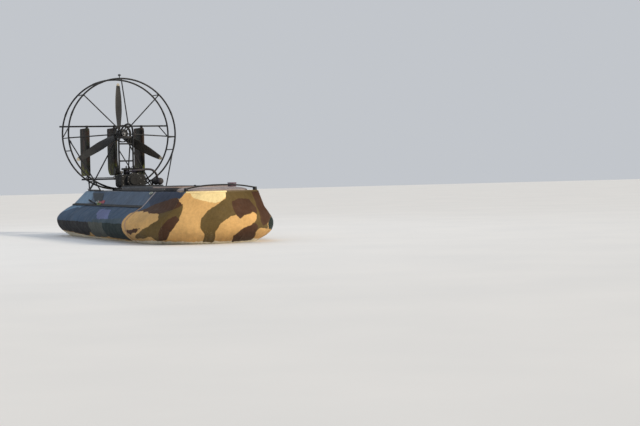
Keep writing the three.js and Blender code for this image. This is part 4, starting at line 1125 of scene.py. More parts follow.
@dataclass
class Camouflage:
    """The whole pattern: the patches that are given, and drifting ones along the port side.

    Attributes:
        patches: the patches, from the lowest layer to the top one of each tone.
        drift_tones: the tones that the drifting patches take in turn.
        drift_heights: the heights that they take in turn, in metres.
        drift_count: how many there are.
    """

    patches: list[Patch] = field(default_factory=list)
    drift_tones: tuple[Tone, ...] = (Tone.BROWN, Tone.OLIVE, Tone.DARK, Tone.OLIVE, Tone.SAGE, Tone.BROWN,
                                     Tone.GREEN)
    drift_heights: tuple[float, ...] = (0.16, 0.46, 0.30)
    drift_count: int = 13

    FAR = 0.9

    def __post_init__(self) -> None:
        """Adds the drifting patches, from the port corner of the bow aft."""
        rng = random.Random(41)
        for step in range(self.drift_count):
            middle = 1.75 + step * 0.37 + rng.uniform(-0.06, 0.06)
            height = self.drift_heights[step % len(self.drift_heights)] + rng.uniform(-0.05, 0.05)
            tone = self.drift_tones[step % len(self.drift_tones)]
            self.patches.append(self.drift(rng, tone, middle, height))

    @staticmethod
    def drift(rng: random.Random, tone: Tone, middle: float, height: float) -> Patch:
        """Makes a leaf-like patch about a point of the lay, with a smooth outline."""
        length, width, lean = rng.uniform(0.30, 0.50), rng.uniform(0.10, 0.19), rng.uniform(0.1, 0.8)
        waves = [(rng.uniform(0.06, 0.2), rng.uniform(0, math.tau), count) for count in (2, 3, 5)]
        corners = []
        for turn in np.linspace(0, math.tau, 24, endpoint=False):
            reach = 1 + sum(size * math.sin(count * turn + start) for size, start, count in waves)
            x, y = length * reach * math.cos(turn), width * reach * math.sin(turn)
            corners.append((middle + x * math.cos(lean) - y * math.sin(lean),
                            height + x * math.sin(lean) * 0.6 + y * math.cos(lean)))
        return Patch(tone, tuple(corners))

    def store(self, piece: bpy.types.Object, lay: np.ndarray) -> None:
        """Writes the lay and the distance into each tone's patches on a piece's points."""
        mesh = piece.data
        layer = mesh.attributes.new("lay", "FLOAT_VECTOR", "POINT")
        flat = np.column_stack([lay, np.zeros(len(lay))])
        layer.data.foreach_set("vector", flat.astype(np.float32).ravel())
        for tone in Tone:
            depth = np.full(len(lay), -self.FAR)
            for patch in self.patches:
                if patch.tone is tone:
                    depth = np.maximum(depth, patch.depth(lay))
            layer = mesh.attributes.new(tone.layer, "FLOAT", "POINT")
            layer.data.foreach_set("value", depth.astype(np.float32))


# The bow and the starboard side, as they show from the camera, and the port side's stern made to match.
SEEN_PATCHES = [
    # The next five blue-grey patches are painted shade and painted sky reflection over the starboard side and
    # its bow corner.
    Patch(Tone.SHADE_SLATE, ((-6.4, 0.75), (-0.68, 0.75), (-0.79, 0.575), (-1.22, 0.495), (-1.58, 0.41),
                       (-1.86, 0.39), (-1.87, 0.21), (-6.4, 0.20))),
    Patch(Tone.MIST, ((-6.4, 0.75), (-4.66, 0.75), (-4.60, 0.62), (-4.30, 0.53), (-4.42, 0.45),
                      (-4.80, 0.415), (-5.25, 0.33), (-5.60, 0.30), (-6.4, 0.29))),
    Patch(Tone.SHADE_NAVY, ((-2.02, 0.75), (-0.78, 0.75), (-0.79, 0.575), (-1.22, 0.49), (-1.45, 0.47),
                      (-1.70, 0.55), (-1.90, 0.64))),
    Patch(Tone.SHADE_LILAC, ((-3.48, 0.415), (-2.90, 0.415), (-2.50, 0.285), (-3.02, 0.275))),
    Patch(Tone.SHADE_TEAL, ((-3.30, 0.285), (-2.60, 0.30), (-1.94, 0.325), (-1.92, 0.20), (-3.30, 0.20))),
    Patch(Tone.SAGE, ((-3.50, 0.247), (-2.76, 0.248), (-2.60, 0.16), (-2.84, 0.05), (-3.60, 0.03))),
    Patch(Tone.DARK, ((-6.4, 0.24), (-3.46, 0.243), (-3.43, 0.12), (-3.90, 0.04), (-4.60, 0.07),
                      (-6.4, 0.12))),
    Patch(Tone.GREEN, ((-2.78, 0.245), (-1.88, 0.25), (-1.885, 0.03), (-2.80, 0.05))),
    # A pale band along the hem, painted as a highlight.
    Patch(Tone.CREAM_HIGHLIGHT, ((-6.4, 0.13), (-4.60, 0.065), (-3.95, 0.03), (-1.9, 0.02), (-1.9, -0.1),
                       (-6.4, -0.1))),
    # A painted shadow under the bulge of the bow's starboard corner, in the brown tone.
    Patch(Tone.BROWN, ((-1.82, 0.16), (-1.53, 0.185), (-1.20, 0.215), (-1.34, 0.155), (-1.60, 0.122))),
    Patch(Tone.BROWN, ((-1.62, 0.42), (-1.25, 0.515), (-0.86, 0.585), (-0.69, 0.49), (-0.83, 0.42),
                       (-0.97, 0.385))),
    Patch(Tone.OLIVE, ((-0.98, 0.395), (-0.87, 0.45), (-0.69, 0.50), (-0.60, 0.39), (-0.585, 0.31),
                       (-0.64, 0.22), (-0.70, 0.16), (-0.74, 0.055), (-0.90, 0.045), (-1.02, 0.10),
                       (-1.26, 0.07), (-1.55, 0.075), (-1.28, 0.15), (-1.00, 0.245), (-0.87, 0.315))),
    Patch(Tone.BROWN, ((-0.66, 0.37), (-0.575, 0.31), (-0.63, 0.22), (-0.70, 0.15), (-0.735, 0.05),
                       (-0.87, 0.055), (-0.86, 0.14), (-0.79, 0.24), (-0.73, 0.32))),
    Patch(Tone.STRAW, ((-0.70, 0.66), (-0.30, 0.75), (0.095, 0.75), (0.09, 0.60), (-0.04, 0.525),
                       (-0.13, 0.50), (-0.30, 0.53), (-0.56, 0.58))),
    Patch(Tone.OLIVE, ((0.095, 0.75), (0.95, 0.75), (0.95, 0.33), (0.80, 0.305), (0.69, 0.225),
                       (0.755, 0.155), (0.56, 0.183), (0.515, 0.155), (0.49, 0.13), (0.55, 0.06),
                       (0.56, 0.02), (0.40, 0.02), (0.41, 0.12), (0.375, 0.22), (0.48, 0.30), (0.512, 0.352),
                       (0.453, 0.382), (0.295, 0.342), (0.209, 0.305), (0.165, 0.365), (0.031, 0.316),
                       (-0.070, 0.243), (-0.122, 0.148), (-0.105, 0.02), (-0.245, 0.03), (-0.262, 0.13),
                       (-0.31, 0.21), (-0.31, 0.315), (-0.25, 0.415), (-0.09, 0.50), (0.05, 0.56))),
    Patch(Tone.BROWN, ((0.15, 0.52), (0.30, 0.555), (0.50, 0.545), (0.58, 0.43), (0.52, 0.36), (0.455, 0.39),
                       (0.30, 0.348), (0.209, 0.312), (0.165, 0.372), (0.145, 0.44))),
    Patch(Tone.BROWN, ((0.168, 0.02), (0.130, 0.10), (0.204, 0.157), (0.308, 0.214), (0.362, 0.215),
                       (0.44, 0.25), (0.50, 0.20), (0.485, 0.12), (0.55, 0.02))),
    Patch(Tone.BROWN, ((0.60, 0.75), (1.25, 0.75), (1.28, 0.44), (0.95, 0.36), (0.80, 0.305), (0.70, 0.235),
                       (0.60, 0.205), (0.55, 0.25), (0.57, 0.36), (0.62, 0.50))),
    Patch(Tone.GREEN, ((0.765, 0.15), (0.70, 0.225), (0.80, 0.30), (0.98, 0.36), (1.24, 0.31), (1.10, 0.21),
                       (0.92, 0.14))),
    # A pale band along the bow's hem, painted as a highlight.
    Patch(Tone.CREAM_HIGHLIGHT, ((-1.9, 0.030), (-1.05, 0.048), (-0.5, 0.036), (0.0, 0.032), (0.6, 0.040), (1.0, 0.030),
                       (1.0, -0.1), (-1.9, -0.1))),
    # Painted shade and painted sky reflection, copied onto the port stern to match the starboard side.
    Patch(Tone.SHADE_SLATE, ((6.4, 0.75), (5.62, 0.75), (5.48, 0.60), (5.74, 0.52), (5.66, 0.43), (5.38, 0.36),
                       (5.58, 0.27), (5.50, 0.20), (6.4, 0.20))),
    Patch(Tone.MIST, ((6.4, 0.75), (6.05, 0.75), (5.95, 0.60), (6.12, 0.50), (6.02, 0.40), (6.18, 0.29),
                      (6.4, 0.29))),
    Patch(Tone.DARK, ((6.4, 0.24), (5.86, 0.25), (5.60, 0.20), (5.72, 0.11), (6.4, 0.12))),
    # A pale band along the hem, painted as a highlight.
    Patch(Tone.CREAM_HIGHLIGHT, ((6.4, 0.13), (5.80, 0.09), (5.2, 0.03), (1.0, 0.026), (1.0, -0.1), (6.4, -0.1))),
]
CAMOUFLAGE = Camouflage(list(SEEN_PATCHES))
FLARE_OUT, FLARE_UP = 0.725, 0.688


def column_at(along: float) -> float:
    """Gives the outline's point, with a fraction, at a distance along the widest line from the bow."""
    return float(np.interp(-abs(along), -LAY_ALONG, np.arange(len(LAY_ALONG))))


def flare_spot(along: float, z: float, lift: float = 0) -> Vector:
    """Gives a point of the deck's sloping side.

    Args:
        along: metres along the widest line from the bow, below nought to starboard.
        z: height in millimetres.
        lift: millimetres off the surface.

    Returns:
        The point in metres.
    """
    line = grown(drawn(DECK_LINE, RAIL_LINE, (DECK_Z - z) / (DECK_Z - RAIL_Z)), lift * FLARE_OUT)
    low = min(int(column_at(along)), len(line) - 2)
    half, ahead = line[low] + (line[low + 1] - line[low]) * (column_at(along) - low)
    return spot(math.copysign(half, along), ahead, z + lift * FLARE_UP)


@dataclass(frozen=True)
class Swell:
    """A noise that lifts the cloth: its depth in metres, its waves a metre along and up, and its seed."""

    depth: float
    waves_along: float
    waves_up: float
    seed: float

    def at(self, along: float, height: float) -> float:
        """Gives the lift at a place of the lay, in metres."""
        return self.depth * noise.noise(Vector((along * self.waves_along, height * self.waves_up, self.seed)))


@dataclass(frozen=True)
class Pucker:
    """The pucker along an edge of the cloth: how far in it reaches, its depth and its spacing, in metres."""

    reach: float
    depth: float
    spacing: float

    def at(self, along: float, away: float) -> float:
        """Gives the lift at a place along the edge and away from it, in the units of the reach."""
        wave = abs(math.sin(along * math.pi / self.spacing)) - 0.6
        return math.exp(-away / self.reach) * self.depth * wave


BROAD_SWELL = Swell(0.0045, 2.1, 3.2, 3)
LONG_FOLDS = Swell(0.0030, 8.5, 3.5, 11)
FINE_FOLDS = Swell(0.0011, 24, 15, 5)
HEM_PUCKER = Pucker(0.05, 0.0035, 0.11)
TOP_PUCKER = Pucker(0.08, 0.003, 0.09)


@dataclass
class Skirt:
    """The bag skirt: cloth panels blown full, taped seams and the strips that hold them.

    Attributes:
        bow_knots: the bow's section. Columns: height, share out from the deck edge to the widest line, share
            in from there to the hem, share in from the hem to the keel, and millimetres moved outwards.
        side_top: the rows that start the sides' and the stern's section in place of the bow's first rows.
        rows_between: rows of the mesh from one knot to the next.
        cloth_thick: thickness of the cloth.
        lowest_stitch: height that the rows of stitches end at, in metres.
        tape_turn: the row where the tape over a seam changes from the pale length to the tan one.
        seams_along: places of the upright seams, in metres of the lay.
        corner_along: the bow's corner, in metres of the lay, where the folds are deeper.
        seam_sunk: how far the cloth is drawn in at a seam, in metres.
        tape_rows: the rows that the tapes leave out at the top and at the bottom of the bow's cloth.
        tape_lift: how far a tape's middle stands off the cloth, in metres.
        tape_thick: a tape's thickness in metres.
        stitch_lift: how far the thread's middle stands off the cloth, in metres.
        stitch_spacing: metres from one stitch to the next.
        grids: the cloths' points, normals and lays by name, as they are made.
    """

    bow_knots: tuple[tuple[float, ...], ...] = (
        (646, 0, 0, 0, -24), (650, 0, 0, 0, -14), (649, 0, 0, 0, -4), (641, 0.02, 0, 0, 0),
        (600, 0.113, 0, 0, 0), (550, 0.226, 0, 0, 0), (500, 0.335, 0, 0, 0), (450, 0.46, 0, 0, 0),
        (400, 0.66, 0, 0, 0), (340, 0.86, 0, 0, 0), (290, 0.965, 0, 0, 0), (250, 1, 0, 0, 0),
        (200, 1, 0.02, 0, 0), (140, 1, 0.14, 0, 0), (80, 1, 0.42, 0, 0), (34, 1, 0.76, 0, 0),
        (9, 1, 0.95, 0, 0), (1, 1, 1, 0, -6), (1, 1, 1, 0.02, -34), (10, 1, 1, 0.08, -58),
        (60, 1, 1, 0.48, -36), (121, 1, 1, 1, -8),
    )
    side_top: tuple[tuple[float, ...], ...] = (
        (447, 0.452, 0, 0, -8), (449.6, 0.452, 0, 0, -2), (444, 0.475, 0, 0, 0), (425, 0.56, 0, 0, 0),
    )
    rows_between: int = 3
    cloth_thick: float = 2.5
    lowest_stitch: float = 0.004
    tape_turn: int = 21
    seams_along: tuple[float, ...] = (0.80, 1.80, 3.2, 4.6)
    corner_along: float = 0.95
    seam_sunk: float = 0.004
    tape_rows: tuple[int, int] = (6, 9)
    tape_lift: float = 0.0016
    tape_thick: float = 0.0012
    stitch_lift: float = 0.0026
    stitch_spacing: float = 0.009
    grids: dict[str, tuple] = field(default_factory=dict)

    STERN_SPLIT = -250
    BOW_CLOTH = "skirt_bow_cloth"

    def section(self, knots: Sequence[Sequence[float]]) -> np.ndarray:
        """Runs a smooth curve through the rows of a section table."""
        table = np.array(knots, float)
        padded = np.vstack([2 * table[0] - table[1], table, 2 * table[-1] - table[-2]])
        rows = []
        for i in range(len(table) - 1):
            before, start, end, after = padded[i:i + 4]
            for step in range(self.rows_between):
                t = step / self.rows_between
                rows.append(0.5 * (2 * start + (end - before) * t
                                   + (2 * before - 5 * start + 4 * end - after) * t * t
                                   + (3 * start - before - 3 * end + after) * t ** 3))
        return np.vstack([rows, table[-1]])

    def surface(self, knots: Sequence[Sequence[float]], columns: slice) -> tuple[np.ndarray, np.ndarray]:
        """Lays out a stretch of the half skirt.

        Args:
            knots: the section's table.
            columns: the outline's points that the stretch takes in.

        Returns:
            The points by row and column in metres, and each one's lay.
        """
        points, lays = [], []
        for z, out, to_hem, to_keel, reach in self.section(knots):
            line = drawn(drawn(DECK_LINE, WIDE_LINE, out), HEM_LINE, to_hem)
            line = grown(drawn(line, KEEL_LINE, to_keel), reach)[columns]
            points.append([spot(half, ahead, max(z, 0)) for half, ahead in line])
            lays.append(np.column_stack([LAY_ALONG[columns], np.full(len(line), z / 1000)]))
        return np.array(points), np.array(lays)

    def both_sides(self, points: np.ndarray, lays: np.ndarray) -> tuple[np.ndarray, np.ndarray]:
        """Mirrors a half stretch whose last or first column lies on the middle line."""
        at_end = abs(points[0, -1, 0]) < 1e-6
        keep = slice(None, -1) if at_end else slice(1, None)
        twin, twin_lay = points[:, keep][:, ::-1] * (-1, 1, 1), lays[:, keep][:, ::-1] * (-1, 1)
        order = (points, twin) if at_end else (twin, points)
        lay_order = (lays, twin_lay) if at_end else (twin_lay, lays)
        return np.concatenate(order, axis=1), np.concatenate(lay_order, axis=1)

    def billow(self, lay: Sequence[float], row_share: float) -> float:
        """Gives how far the full cloth stands off its smooth form at a point, in metres."""
        along, height = lay
        more_at_corner = 1 + 1.6 * bell(abs(along) - self.corner_along, 0.35)
        folds = LONG_FOLDS.at(along, height) * more_at_corner + FINE_FOLDS.at(along, height)
        edges = HEM_PUCKER.at(along, height) + TOP_PUCKER.at(along, row_share)
        seams = -self.seam_sunk * sum(bell(abs(along) - seam, 0.022) for seam in self.seams_along)
        return BROAD_SWELL.at(along, height) + folds + edges + seams + self.creases(along, height)

    @staticmethod
    def creases(along: float, height: float) -> float:
        """Gives the slanting creases and the deep fold behind the corner, and the tucks above the hem."""
        side = abs(along)
        drawn_in = bell(side - 1.60, 0.20) * bell(height - 0.30, 0.10)
        slants = drawn_in * math.sin((side * 0.75 + height * 1.25) * math.tau / 0.052)
        tucks = bell(side - 0.2, 0.34) * bell(height - 0.07, 0.05) * math.sin(along * math.tau / 0.064)
        deep_fold = bell(side - 1.22 - height * 0.5, 0.028) * bell(height - 0.27, 0.12)
        return 0.0036 * slants + 0.0026 * tucks - 0.0060 * deep_fold

    def cloth(self, name: str, points: np.ndarray, lays: np.ndarray) -> bpy.types.Object:
        """Makes the cloth over a grid of points, blown and wrinkled.

        Args:
            name: the piece's name.
            points: the grid, in metres.
            lays: each point's lay.

        Returns:
            The cloth, still without its thickness.
        """
        rows, columns = points.shape[:2]
        down, across = np.gradient(points, axis=0), np.gradient(points, axis=1)
        normal = np.cross(across, down)
        normal /= np.maximum(np.linalg.norm(normal, axis=2, keepdims=True), 1e-9)
        middle = rows // 2
        if (normal[middle] * (points[middle] - points[middle].mean(axis=0))).sum() < 0:
            normal = -normal
        lift = np.array([[self.billow(lays[r, c], r / rows) for c in range(columns)] for r in range(rows)])
        lift[:2] *= 0.2
        moved = points + normal * lift[:, :, None]
        moved[:, :, 2] = np.maximum(moved[:, :, 2], 0.0005)
        piece = draped(name, moved)
        CAMOUFLAGE.store(piece, lays.reshape(-1, 2))
        self.grids[name] = (moved, normal, lays)
        return piece

    def build(self) -> None:
        """Makes the four panels, their seams and the strips along their edges."""
        seam = PlanLine.seam_column()
        bow = self.cloth(self.BOW_CLOTH, *self.both_sides(*self.surface(self.bow_knots, slice(seam, None))))
        aft_knots = (*self.side_top, *self.bow_knots[8:])
        half, half_lay = self.surface(aft_knots, slice(0, seam + 1))
        aft = self.cloth("skirt_aft", *self.both_sides(half, half_lay))
        split_y = spot(0, self.STERN_SPLIT, 0)[1]
        bow_start = spot(0, PlanLine.SEAM_AHEAD + 0.4, 0)[1]
        self.finish(bow, "skirt_bow", [((0, bow_start, 0), (0, -1, 0))])
        for side, name in ((1, "port"), (-1, "starboard")):
            panel = joined(f"skirt_{name}_cloth", doubled(aft))
            planes = [((0, split_y - 0.0002, 0), (0, -1, 0)), ((0, 0, 0), (side, 0, 0))]
            self.finish(panel, f"skirt_{name}", planes)
        aft.name = "skirt_stern_cloth"
        self.finish(aft, "skirt_stern", [((0, split_y + 0.0002, 0), (0, 1, 0))])
        self.tapes()

    def finish(self, piece: bpy.types.Object, node: str, planes: Sequence[tuple]) -> None:
        """Trims a panel, thickens it and puts it in its solid's place.

        Args:
            piece: the cloth.
            node: the solid that it stands for.
            planes: pairs of a point and the direction of the side that is kept.
        """
        for point, kept in planes:
            shaped(piece, ("bisect", {"plane_co": point, "plane_no": kept, "clear_inner": True}))
        shaped(piece, FACE_OUTWARDS)
        middle = max(piece.data.polygons,
                     key=lambda face: abs(face.center.x) + abs(face.center.y - 0.5) * 0.2)
        if middle.normal.dot(Vector((middle.center.x, 0, 0))) < 0:
            shaped(piece, ("flip_normals", {}))
        worked(piece, "SOLIDIFY", thickness=self.cloth_thick / 1000, offset=-1, use_rim=True)
        smooth(piece, 50)
        show(piece, SKIRT_CLOTH, "craft", node)

    def line_down(self, rows: slice, column: float, lift: float) -> np.ndarray:
        """Gives the points down the bow's cloth, lifted off it.

        Args:
            rows: the rows that it passes.
            column: the column, with a fraction.
            lift: how far it stands off, in metres.

        Returns:
            One point for each row.
        """
        moved, normal, _ = self.grids[self.BOW_CLOTH]
        low = min(int(column), moved.shape[1] - 2)
        share = column - low
        line = (moved + normal * lift)[rows]
        return line[:, low] * (1 - share) + line[:, low + 1] * share

    def strip(self, name: str, rows: slice, columns: Sequence[float]) -> bpy.types.Object:
        """Lays a strip of tape over the bow's cloth.

        Args:
            name: the strip's name.
            rows: the rows that it covers.
            columns: the strip's edges and middle, as columns with a fraction.

        Returns:
            The strip with its thickness.
        """
        lines = [self.line_down(rows, column, self.tape_lift) for column in columns]
        piece = draped(name, np.stack(lines, axis=1))
        worked(piece, "SOLIDIFY", thickness=self.tape_thick, offset=0, use_rim=True)
        for vertex in piece.data.vertices:
            vertex.co.z = max(vertex.co.z, 0.0003)
        return smooth(piece, 50)

    def tapes(self) -> None:
        """Lays the tapes over the seams between the panels, with their rows of stitches."""
        moved, _, lays = self.grids[self.BOW_CLOTH]
        count, columns = moved.shape[:2]
        first, last = self.tape_rows[0], count - self.tape_rows[1]
        strips, low_strips, stitches = [], [], []
        for name, place in (("a", 0.0), ("b", columns - 3.11)):
            edges = [place + step * 0.35 for step in range(7)]
            strips.append(self.strip(f"tape_{name}", slice(first, self.tape_turn + 1), edges))
            low_strips.append(self.strip(f"low_tape_{name}", slice(self.tape_turn, last), edges))
            stitches += self.stitch_line(slice(first, last), (edges[1], edges[-2]))
        for seam in (self.seams_along[0], -self.seams_along[0]):
            place = float(np.interp(-seam, -lays[0, :, 0], np.arange(columns)))
            stitches += self.stitch_line(slice(first, last), (place - 0.25, place + 0.25))
        show(joined("seam_tapes_high", *strips), SEAM_TAPE, "craft")
        show(joined("seam_tapes_low", *low_strips), LOW_TAPE, "craft")
        thread = rod("thread", ACROSS * -0.0022, ACROSS * 0.0022, 0.7, 6, 0.2)
        show(copies("seam_stitches", thread, stitches), SEAM_THREAD, "craft")

    def stitch_line(self, rows: slice, columns: Sequence[float]) -> list[Matrix]:
        """Gives the place of each stitch along lines that run down the bow's cloth."""
        places = []
        for column in columns:
            line = self.line_down(rows, column, self.stitch_lift)
            lengths = np.concatenate([[0], np.cumsum(np.linalg.norm(np.diff(line, axis=0), axis=1))])
            for reach in np.arange(0.01, lengths[-1], self.stitch_spacing):
                here = np.array([np.interp(reach, lengths, line[:, axis]) for axis in range(3)])
                ahead = np.array([np.interp(reach + 0.002, lengths, line[:, axis]) for axis in range(3)])
                way = Vector(ahead - here)
                if way.length > 1e-5 and here[2] > self.lowest_stitch:
                    places.append(Matrix.Translation(Vector(here))
                                  @ way.to_track_quat("X", "Z").to_matrix().to_4x4())
        return places


# Hull, deck and cockpit


@dataclass
class Shell:
    """Hull and deck mouldings with the cockpit's well, its coaming and the rub rail."""

    well_half: float = 415
    well_aft: float = 1300
    well_fore: float = 3450
    well_corner: float = 110
    floor_z: float = 170
    coaming_top: float = 712

    def well_ring(self, out: float, z: float, steps: int) -> list[Vector]:
        """Gives the outline of the well at a height, moved outwards."""
        return oblong(self.well_half + out, self.well_aft - out, self.well_fore + out,
                      self.well_corner + out, z, steps)

    def well(self) -> bpy.types.Object:
        """Makes the solid that cuts the cockpit's well, with an eased foot."""
        piece = plate("well", self.well_ring(0, self.floor_z, 12), UP * 0.8)
        picked(piece)
        foot = self.floor_z / 1000 + 0.001
        for edge in piece.data.edges:
            edge.select = all(piece.data.vertices[i].co.z < foot for i in edge.vertices)
        weight = piece.data.attributes.new("bevel_weight_edge", "FLOAT", "EDGE")
        for edge in piece.data.edges:
            weight.data[edge.index].value = float(edge.select)
        return worked(piece, "BEVEL", width=0.034, segments=5, limit_method="WEIGHT", use_clamp_overlap=False)

    def bore(self) -> bpy.types.Object:
        """Makes the solid that cuts the lift fan's duct."""
        return rod("bore", spot(0, DUCT_AHEAD, 20), spot(0, DUCT_AHEAD, 900), DUCT_RADIUS, 96)

    def levels(self, rows: Sequence[tuple[float, float, float]]) -> list[list[Vector]]:
        """Gives the moulding's loops.

        Args:
            rows: height, share from keel to rail or, above the rail, from deck to rail, and millimetres
                inwards.

        Returns:
            A closed loop of points for each row.
        """
        loops = []
        for z, share, inset in rows:
            base = KEEL_LINE if z < RAIL_Z else DECK_LINE
            bow = -BOW_THICK if z > KEEL_Z + 60 else 0
            line = grown(drawn(base, RAIL_LINE, share), -inset, bow)
            both = whole(line[::2] if len(line) % 2 else line)
            loops.append([spot(half, ahead, z) for half, ahead in both])
        return loops

    def build(self) -> None:
        """Makes the mouldings and what is fixed along their edges."""
        hull = lofted("hull_moulding", self.levels([(KEEL_Z, 0, 14), (KEEL_Z + 4, 0.004, 4),
                                                    (KEEL_Z + 14, 0.04, 0), (280, 0.485, 0),
                                                    (RAIL_Z - 0.2, 1, 0)]))
        deck = lofted("deck_moulding", self.levels([(RAIL_Z + 0.2, 1, 0), (500, 0.75, 0), (550, 0.5, 0),
                                                    (600, 0.25, 0), (632, 0.09, 0), (641, 0.045, 1.5),
                                                    (646.5, 0.018, 4), (DECK_Z, 0, 10)]))
        for piece, node in ((hull, "hull"), (deck, "deck")):
            cut(piece, self.well(), self.bore())
            outward(piece)
            self.patterned(piece)
            show(smooth(piece, 40), HULL_SHELL, "craft", node)
            self.lined(piece)
        self.coaming()
        self.rub_rail()

    def lined(self, piece: bpy.types.Object) -> None:
        """Gives the well, the duct's bore and the deck's top their own finishes."""
        for finish in (DECK_GRIP, TUB_MOULDING, DECK_TRIM):
            piece.data.materials.append(finish.material())
        top, well, duct = 1, 2, 3
        for face in piece.data.polygons:
            x, ahead, z = face.center.x * 1000, FRONT_HOOP_LINE - face.center.y * 1000, face.center.z * 1000
            in_well = abs(x) < self.well_half + 0.5 and self.well_aft - 0.5 < ahead < self.well_fore + 0.5
            if in_well and self.floor_z - 1 < z < DECK_Z - 1:
                face.material_index = well
            elif math.hypot(x, ahead - DUCT_AHEAD) < DUCT_RADIUS + 0.5:
                face.material_index = duct
            elif z > DECK_Z - 3 and face.normal.z > 0.7:
                face.material_index = top

    @staticmethod
    def patterned(piece: bpy.types.Object) -> None:
        """Lays the camouflage over a moulding by the nearest place along the widest line."""
        count = len(piece.data.vertices)
        places = np.zeros(count * 3)
        piece.data.vertices.foreach_get("co", places)
        places = places.reshape(-1, 3)
        line = np.column_stack([WIDE_LINE[:, 0], FRONT_HOOP_LINE - WIDE_LINE[:, 1]]) / 1000
        flat = np.column_stack([abs(places[:, 0]), places[:, 1]])
        nearest = np.array([np.argmin(((line - point) ** 2).sum(axis=1)) for point in flat])
        lay = np.column_stack([LAY_ALONG[nearest] * np.sign(places[:, 0] + 1e-9), places[:, 2]])
        CAMOUFLAGE.store(piece, lay)

    def coaming(self) -> None:
        """Makes the coaming: a dark moulded band with a padded roll along its top."""
        band = plate("coaming_band", self.well_ring(32, DECK_Z + 0.3, 14),
                     UP * (self.coaming_top - DECK_Z - 12.3) / 1000, 7, 3)
        inner = plate("inner", self.well_ring(0, 600, 14), UP * 0.3)
        show(smooth(cut(band, inner)), DECK_TRIM, "craft", "cockpit_coaming")
        middle = self.well_ring(16, self.coaming_top - 13, 6)
        roll = tube("coaming_roll", middle, 13, 3, 3, closed=True)
        for vertex in roll.data.vertices:
            vertex.co.x *= 1.004
        show(smooth(roll, 60), TRIM_PAD, "craft")

    def rub_rail(self) -> None:
        """Makes the rubber rail over the joint of hull and deck, with its rivets."""
        seam = PlanLine.seam_column()
        profile = [(0.6, 1), (14, 1), (17, 4), (17, 14), (14, 18), (2, 22), (-9, 29), (-13, 29), (-2, 14)]
        lines = []
        for reach, rise in profile:
            z = RAIL_Z + 0.4 + rise
            lines.append((z, grown(drawn(DECK_LINE, RAIL_LINE, (DECK_Z - z) / (DECK_Z - RAIL_Z)),
                                   max(reach, 0.5))))
        port, starboard = ([[spot(side * line[index][0], line[index][1], z) for z, line in lines]
                            for index in range(0, seam + 1, 2)] for side in (1, -1))
        show(smooth(lofted("rub_rail_band", starboard[:0:-1] + port), 40), RUBBER, "craft", "rub_rail")
        places = []
        line = grown(drawn(DECK_LINE, RAIL_LINE, 0.94), 17.4)
        for index in range(4, seam, 6):
            for side in (1, -1):
                half, ahead = line[index]
                before, after = line[index - 1], line[index + 1]
                way = Vector((side * (after[1] - before[1]), after[0] - before[0], 0)).normalized()
                places.append((spot(side * half, ahead, RAIL_Z + 10), way))
        head = [(0, 0), (4.4, 0), (3.6, 1.4), (1.6, 2.2), (0, 2.3)]
        riveted("rub_rail_rivets", head, places, 12, ALLOY)


# Guard, pylon and struts

SHAFT_Z = 1480
HOOP_RADIUS = 811
HOOP_TUBE = 12.5
BACK_HOOP = -340
PIVOT_AHEAD = -420


def beads(name: str, places: Sequence[tuple[Vector, Vector, float]], thick: float = 2.4) -> bpy.types.Object:
    """Lays a weld bead round each place where a tube meets another.

    Args:
        name: the joined piece's name.
        places: a point, the tube's direction there and the tube's radius.
        thick: radius of the bead in millimetres.

    Returns:
        The beads as one piece.
    """
    made = []
    for index, (point, way, radius) in enumerate(places):
        bead = hoop(f"bead_{index}", point, way, radius + thick * 0.3, thick, 22, 6)
        for vertex in bead.data.vertices:
            vertex.co += (vertex.co - point) * 0.06 * noise.noise(vertex.co * 400)
        made.append(bead)
    return joined(name, *made)


